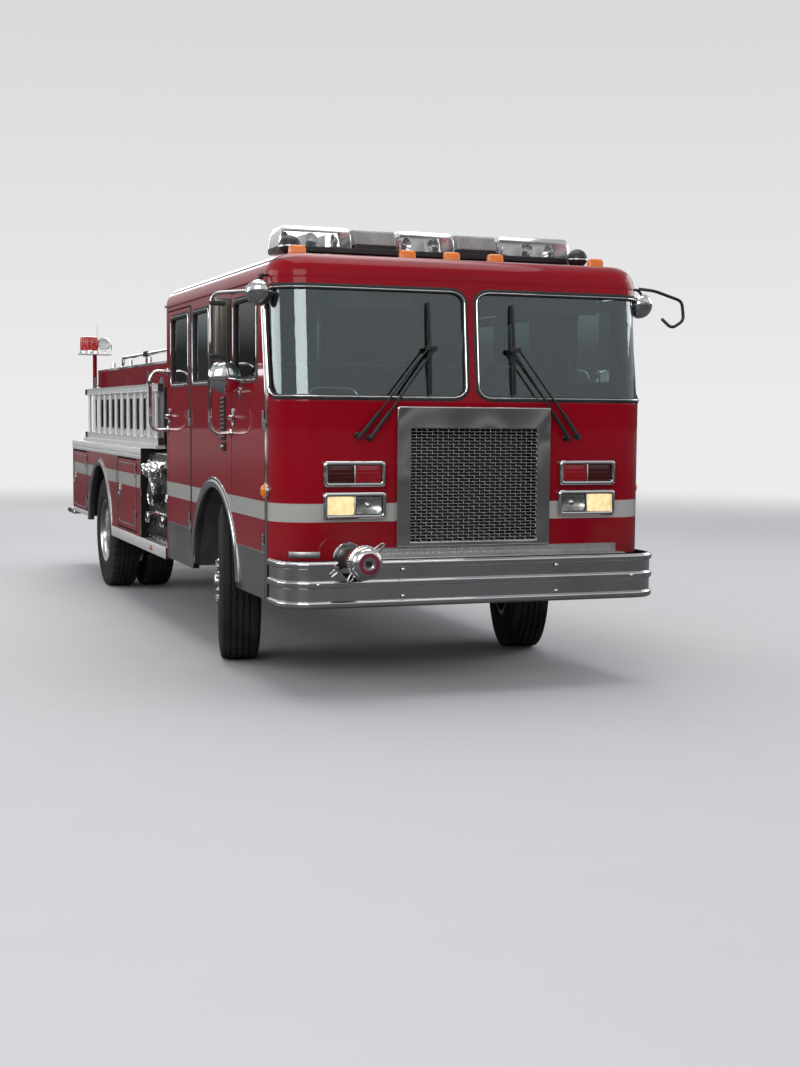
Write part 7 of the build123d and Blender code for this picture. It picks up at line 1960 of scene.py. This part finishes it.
def pad(name, size, centre, x, y, lines=(), voxel=0.014):
    """A stuffed pad: size is width, length and thickness; x and y are its directions, and z is its padded side."""
    wide, long, thick = size
    half = thick / 2
    at = place(centre, x, y)
    layers = [(0.014, -half), (0.004, -half + 0.010), (0.0, -thick * 0.1)]
    layers += [(0.002, half - 0.040), (0.014, half - 0.016), (0.034, half - 0.006)]
    body = Piece(name, "seat_vinyl", [seat_vinyl])
    body.add(slab(wide - 0.024, long - 0.024, 0.060, layers, at, 8))
    obj = body.make()
    scene = bpy.context.scene
    even = obj.modifiers.new("even", "REMESH")
    even.mode, even.voxel_size = "VOXEL", voxel
    skin = bpy.data.meshes.new_from_object(obj.evaluated_get(bpy.context.evaluated_depsgraph_get()))
    work = bpy.data.objects.new(name + "_skin", skin)
    scene.collection.objects.link(work)
    rest = np.empty(len(skin.vertices) * 3)
    skin.vertices.foreach_get("co", rest)
    rest = rest.reshape(-1, 3)
    under = work.vertex_groups.new(name="sewn")
    low = np.flatnonzero((rest - at[:3, 3]) @ at[:3, 2] < -half + 0.018)
    under.add(low.tolist(), 1.0, "REPLACE")
    cloth = work.modifiers.new("stuffing", "CLOTH")
    cloth.settings.vertex_group_mass = "sewn"
    cloth.settings.use_pressure, cloth.settings.uniform_pressure_force = True, 4.0
    cloth.settings.effector_weights.gravity = 0
    for step in range(1, 21):
        scene.frame_set(step)
    swollen = np.empty_like(rest).reshape(-1)
    work.evaluated_get(bpy.context.evaluated_depsgraph_get()).data.vertices.foreach_get("co", swollen)
    shift = swollen.reshape(-1, 3) - rest
    far = np.linalg.norm(shift, axis=1, keepdims=True)
    now = rest + shift * np.minimum(1, MOST_SWELL / np.maximum(far, 1e-9))
    work.modifiers.clear()
    skin.vertices.foreach_set("co", now.reshape(-1))
    skin.update()
    smooth = work.modifiers.new("fine", "SUBSURF")
    smooth.levels = smooth.render_levels = 1
    fine = bpy.data.meshes.new_from_object(work.evaluated_get(bpy.context.evaluated_depsgraph_get()))
    points = np.empty(len(fine.vertices) * 3)
    fine.vertices.foreach_get("co", points)
    points = press(points.reshape(-1, 3), at[:3, 3], at[:3, 2], at[:3, 0], lines, 0.010, 0.009)
    fine.vertices.foreach_set("co", points.reshape(-1))
    fine.update()
    fine.materials.clear()
    fine.materials.append(seat_vinyl)
    fine.shade_smooth()
    bpy.data.objects.remove(work)
    obj.modifiers.clear()
    obj.data = fine
    scene.frame_set(1)
    print(f"{name}: swelled by up to {min(far.max(), MOST_SWELL) * 1000:.0f} mm, {len(fine.polygons)} faces")
    return obj


# %% Front seats and bench
SEAT_X, BENCH_LINES = 0.830, np.outer((-1, 1), (0.180, 0.360, 0.545, 0.700, 0.880)).ravel()
BENCH_LINES = np.sort(BENCH_LINES)
for hand, side in HANDS:
    x = side * SEAT_X
    pad(f"front_cushion_{hand}", (0.520, 0.440, 0.140), (x, -3.060, 1.330), X, Y, (-0.170, -0.085, 0.085, 0.170))
    pad(f"front_backrest_{hand}", (0.500, 0.620, 0.110), (x, -2.818, 1.712), X, Z, (-0.160, -0.080, 0.080, 0.160))
pad("bench_cushion", (2.180, 0.440, 0.150), (0, -1.205, 1.365), X, Y, BENCH_LINES, 0.023)
pad("bench_backrest", (2.160, 0.600, 0.100), (0, -1.002, 1.755), X, Z, BENCH_LINES, 0.023)

frames = Piece("seat_frames", "seat_vinyl", [black_plastic, cab_trim, chrome, stainless], ["seats"])
pan = [(0.010, 1.236), (0, 1.244), (0, 1.262), (0.006, 1.268)]
back_shell = mm((12, 0), (0, 6), (0, 18), (6, 24))
for side in (-1, 1):
    x = side * SEAT_X
    # The box under the seat is stepped: its rear half stands clear above the wheelhouse.
    frames.add(slab(0.400, 0.230, 0.020, [(0, 0.882), (0, 1.230), (0.008, 1.240)], place((x, -3.115, 0))), 1)
    frames.add(slab(0.398, 0.150, 0.020, [(0, 1.060), (0, 1.230), (0.008, 1.240)], place((x, -2.945, 0))), 1)
    frames.add(slab(0.500, 0.430, 0.040, pan, place((x, -3.055, 0))))
    frames.add(slab(0.470, 0.590, 0.050, back_shell, fore(x, -2.762, 1.705)))
    for edge in (-0.2499, 0.2499):
        frames.add(slab(0.030, 0.090, 0.010, mm((0, -4), (0, 4)), place((x + edge, -2.800, 1.395), Y, Z)), 2)
    bends = ((0.235, -2.800, 2.020), (0.190, -2.900, 1.960), (-0.180, -2.985, 1.440), (-0.262, -2.960, 1.360))
    belt = bent([(x + side * off, y, z) for off, y, z in bends], 0.06, 5)
    frames.add(swept(belt, round_outline(0.046, 0.003, 0.001, 1), (0, -0.7, 0.7)))
frames.add(slab(2.150, 0.420, 0.030, [(0, 1.042), (0, 1.282), (0.008, 1.290)], place((0, -1.190, 0))), 1)
frames.make()

# %% [markdown]
# ## Dashboard, steering wheel and grab bars
#
# What shows through the screens are the top edge of the dash with its hood over the dials, the thin rim of a large
# wheel and the bright bars that the crew holds. They are carried profiles and the same dials as on the pump panel.

# %% Dashboard fittings
dash_finishes = [black_plastic, chrome, dial_face, black_rubber, cab_trim, amber_lens, red_lens]
dash = Piece("dash_fittings", "black_plastic", dash_finishes)
DRIVER_X, DASH_TOP = 0.760, 1.724
top = [(0, 1.7125), (0, 1.716), (0.010, 1.724), (0.030, 1.726)]
hood = mm((-300, 0), (-285, 75), (-220, 110), (220, 110), (285, 75), (300, 0))
hood_under = mm((284, 0), (272, 68), (212, 98), (-212, 98), (-272, 68), (-284, 0))
hood = np.concatenate([hood, hood_under]) + (DRIVER_X, DASH_TOP)
warning_lens = mm((0, 4), (12, 4), (11, 14), (6, 18), (0, 19))
dash.add(slab(1.940, 0.318, 0.030, top, place((0, -3.830, 0))), 4)
dash.add(stacked([[(x, y, z) for x, z in hood] for y in (-3.900, -3.690)]))
face = place((DRIVER_X, -3.790, 1.765), (-1, 0, 0), (0, -0.35, 1))
dash.add(slab(0.540, 0.110, 0.020, mm((0, -30), (0, 0), (2, 2)), face), 4)
dash_dials = ((-0.200, 0.030, 0.4), (-0.120, 0.030, -0.5), (0.0, 0.044, 0.8), (0.110, 0.030, 1.2), (0.190, 0.030, -1.0))
for x, radius, turn in dash_dials:
    dial(radius, turn, face @ place((x, 0, 0.002)), dash)
switch = slab(0.020, 0.034, 0.004, mm((0, 0), (0, 8), (3, 12)))
board = place((0, -3.664, 1.600), (-1, 0, 0), Z)
dash.add(slab(0.760, 0.130, 0.010, mm((0, 0), (0, 4), (2, 6)), board), 4)
spots = [(x, z) for x in np.arange(-0.33, 0.34, 0.055) for z in (-0.030, 0.030)]
dash.copies(switch, [board @ place((x, z, 0.005)) for x, z in spots])
for x, number in ((-0.3619, 5), (0.3619, 6)):
    dash.add(turned(warning_lens, board @ place((x, 0, 0)), 16), number)
dash.make()

# The rim is a ring of radius 0.24 whose bar swells for the fingers: grip = 15.5 mm + 1.2 mm cos(24 t).
wheel_piece = Piece("steering_wheel_dress", "black_plastic", [black_rubber, black_plastic, chrome])
t = np.linspace(0, 2 * np.pi, 96, endpoint=False)
lean = unit((0, math.sin(math.radians(30)), math.cos(math.radians(30))))
rim_at = place((DRIVER_X, -3.535, 1.692), X, np.cross(lean, X))
grip = 0.0155 + 0.0012 * np.cos(24 * t)
b = np.linspace(0, 2 * np.pi, 14, endpoint=False)
reach = 0.240 + grip[:, None] * np.cos(b)
ring = np.stack([reach * np.cos(t)[:, None], reach * np.sin(t)[:, None], grip[:, None] * np.sin(b)], -1)
hub = mm((0, 12), (30, 16), (50, 12), (58, 0), (58, -30), (34, -60), (0, -60))
wheel_piece.add(stacked(ring, rim_at, True))
wheel_piece.add(turned(hub, rim_at, 36), 1)
wheel_piece.add(turned(mm((0, 20), (22, 19), (26, 13)), rim_at, 24), 2)
wheel_piece.make()

bars = Piece("cab_grab_bars", "chrome", [chrome, cab_trim])
arc = [(-0.960, -3.760, 1.720), (-0.930, -3.700, 1.835), (-0.640, -3.700, 1.835), (-0.610, -3.760, 1.720)]
bars.add(swept(bent(arc, 0.06), circle(0.011, 12), Y))
for z in (2.020, 1.700):
    bars.add(swept([(-1.170, -2.600, z), (1.170, -2.600, z)], circle(0.012, 12)))
for x in (-0.530, 0.530):
    bars.add(swept([(x, -2.600, 1.402), (x, -2.600, 2.560)], circle(0.014, 12), Y))
visor = mm((0, -8), (0, 8), (4, 10))
for side in (-1, 1):
    bars.add(slab(0.520, 0.190, 0.020, visor, place((side * 0.620, -3.905, 2.400), X, (0, -0.35, -1))), 1)
bars.make()
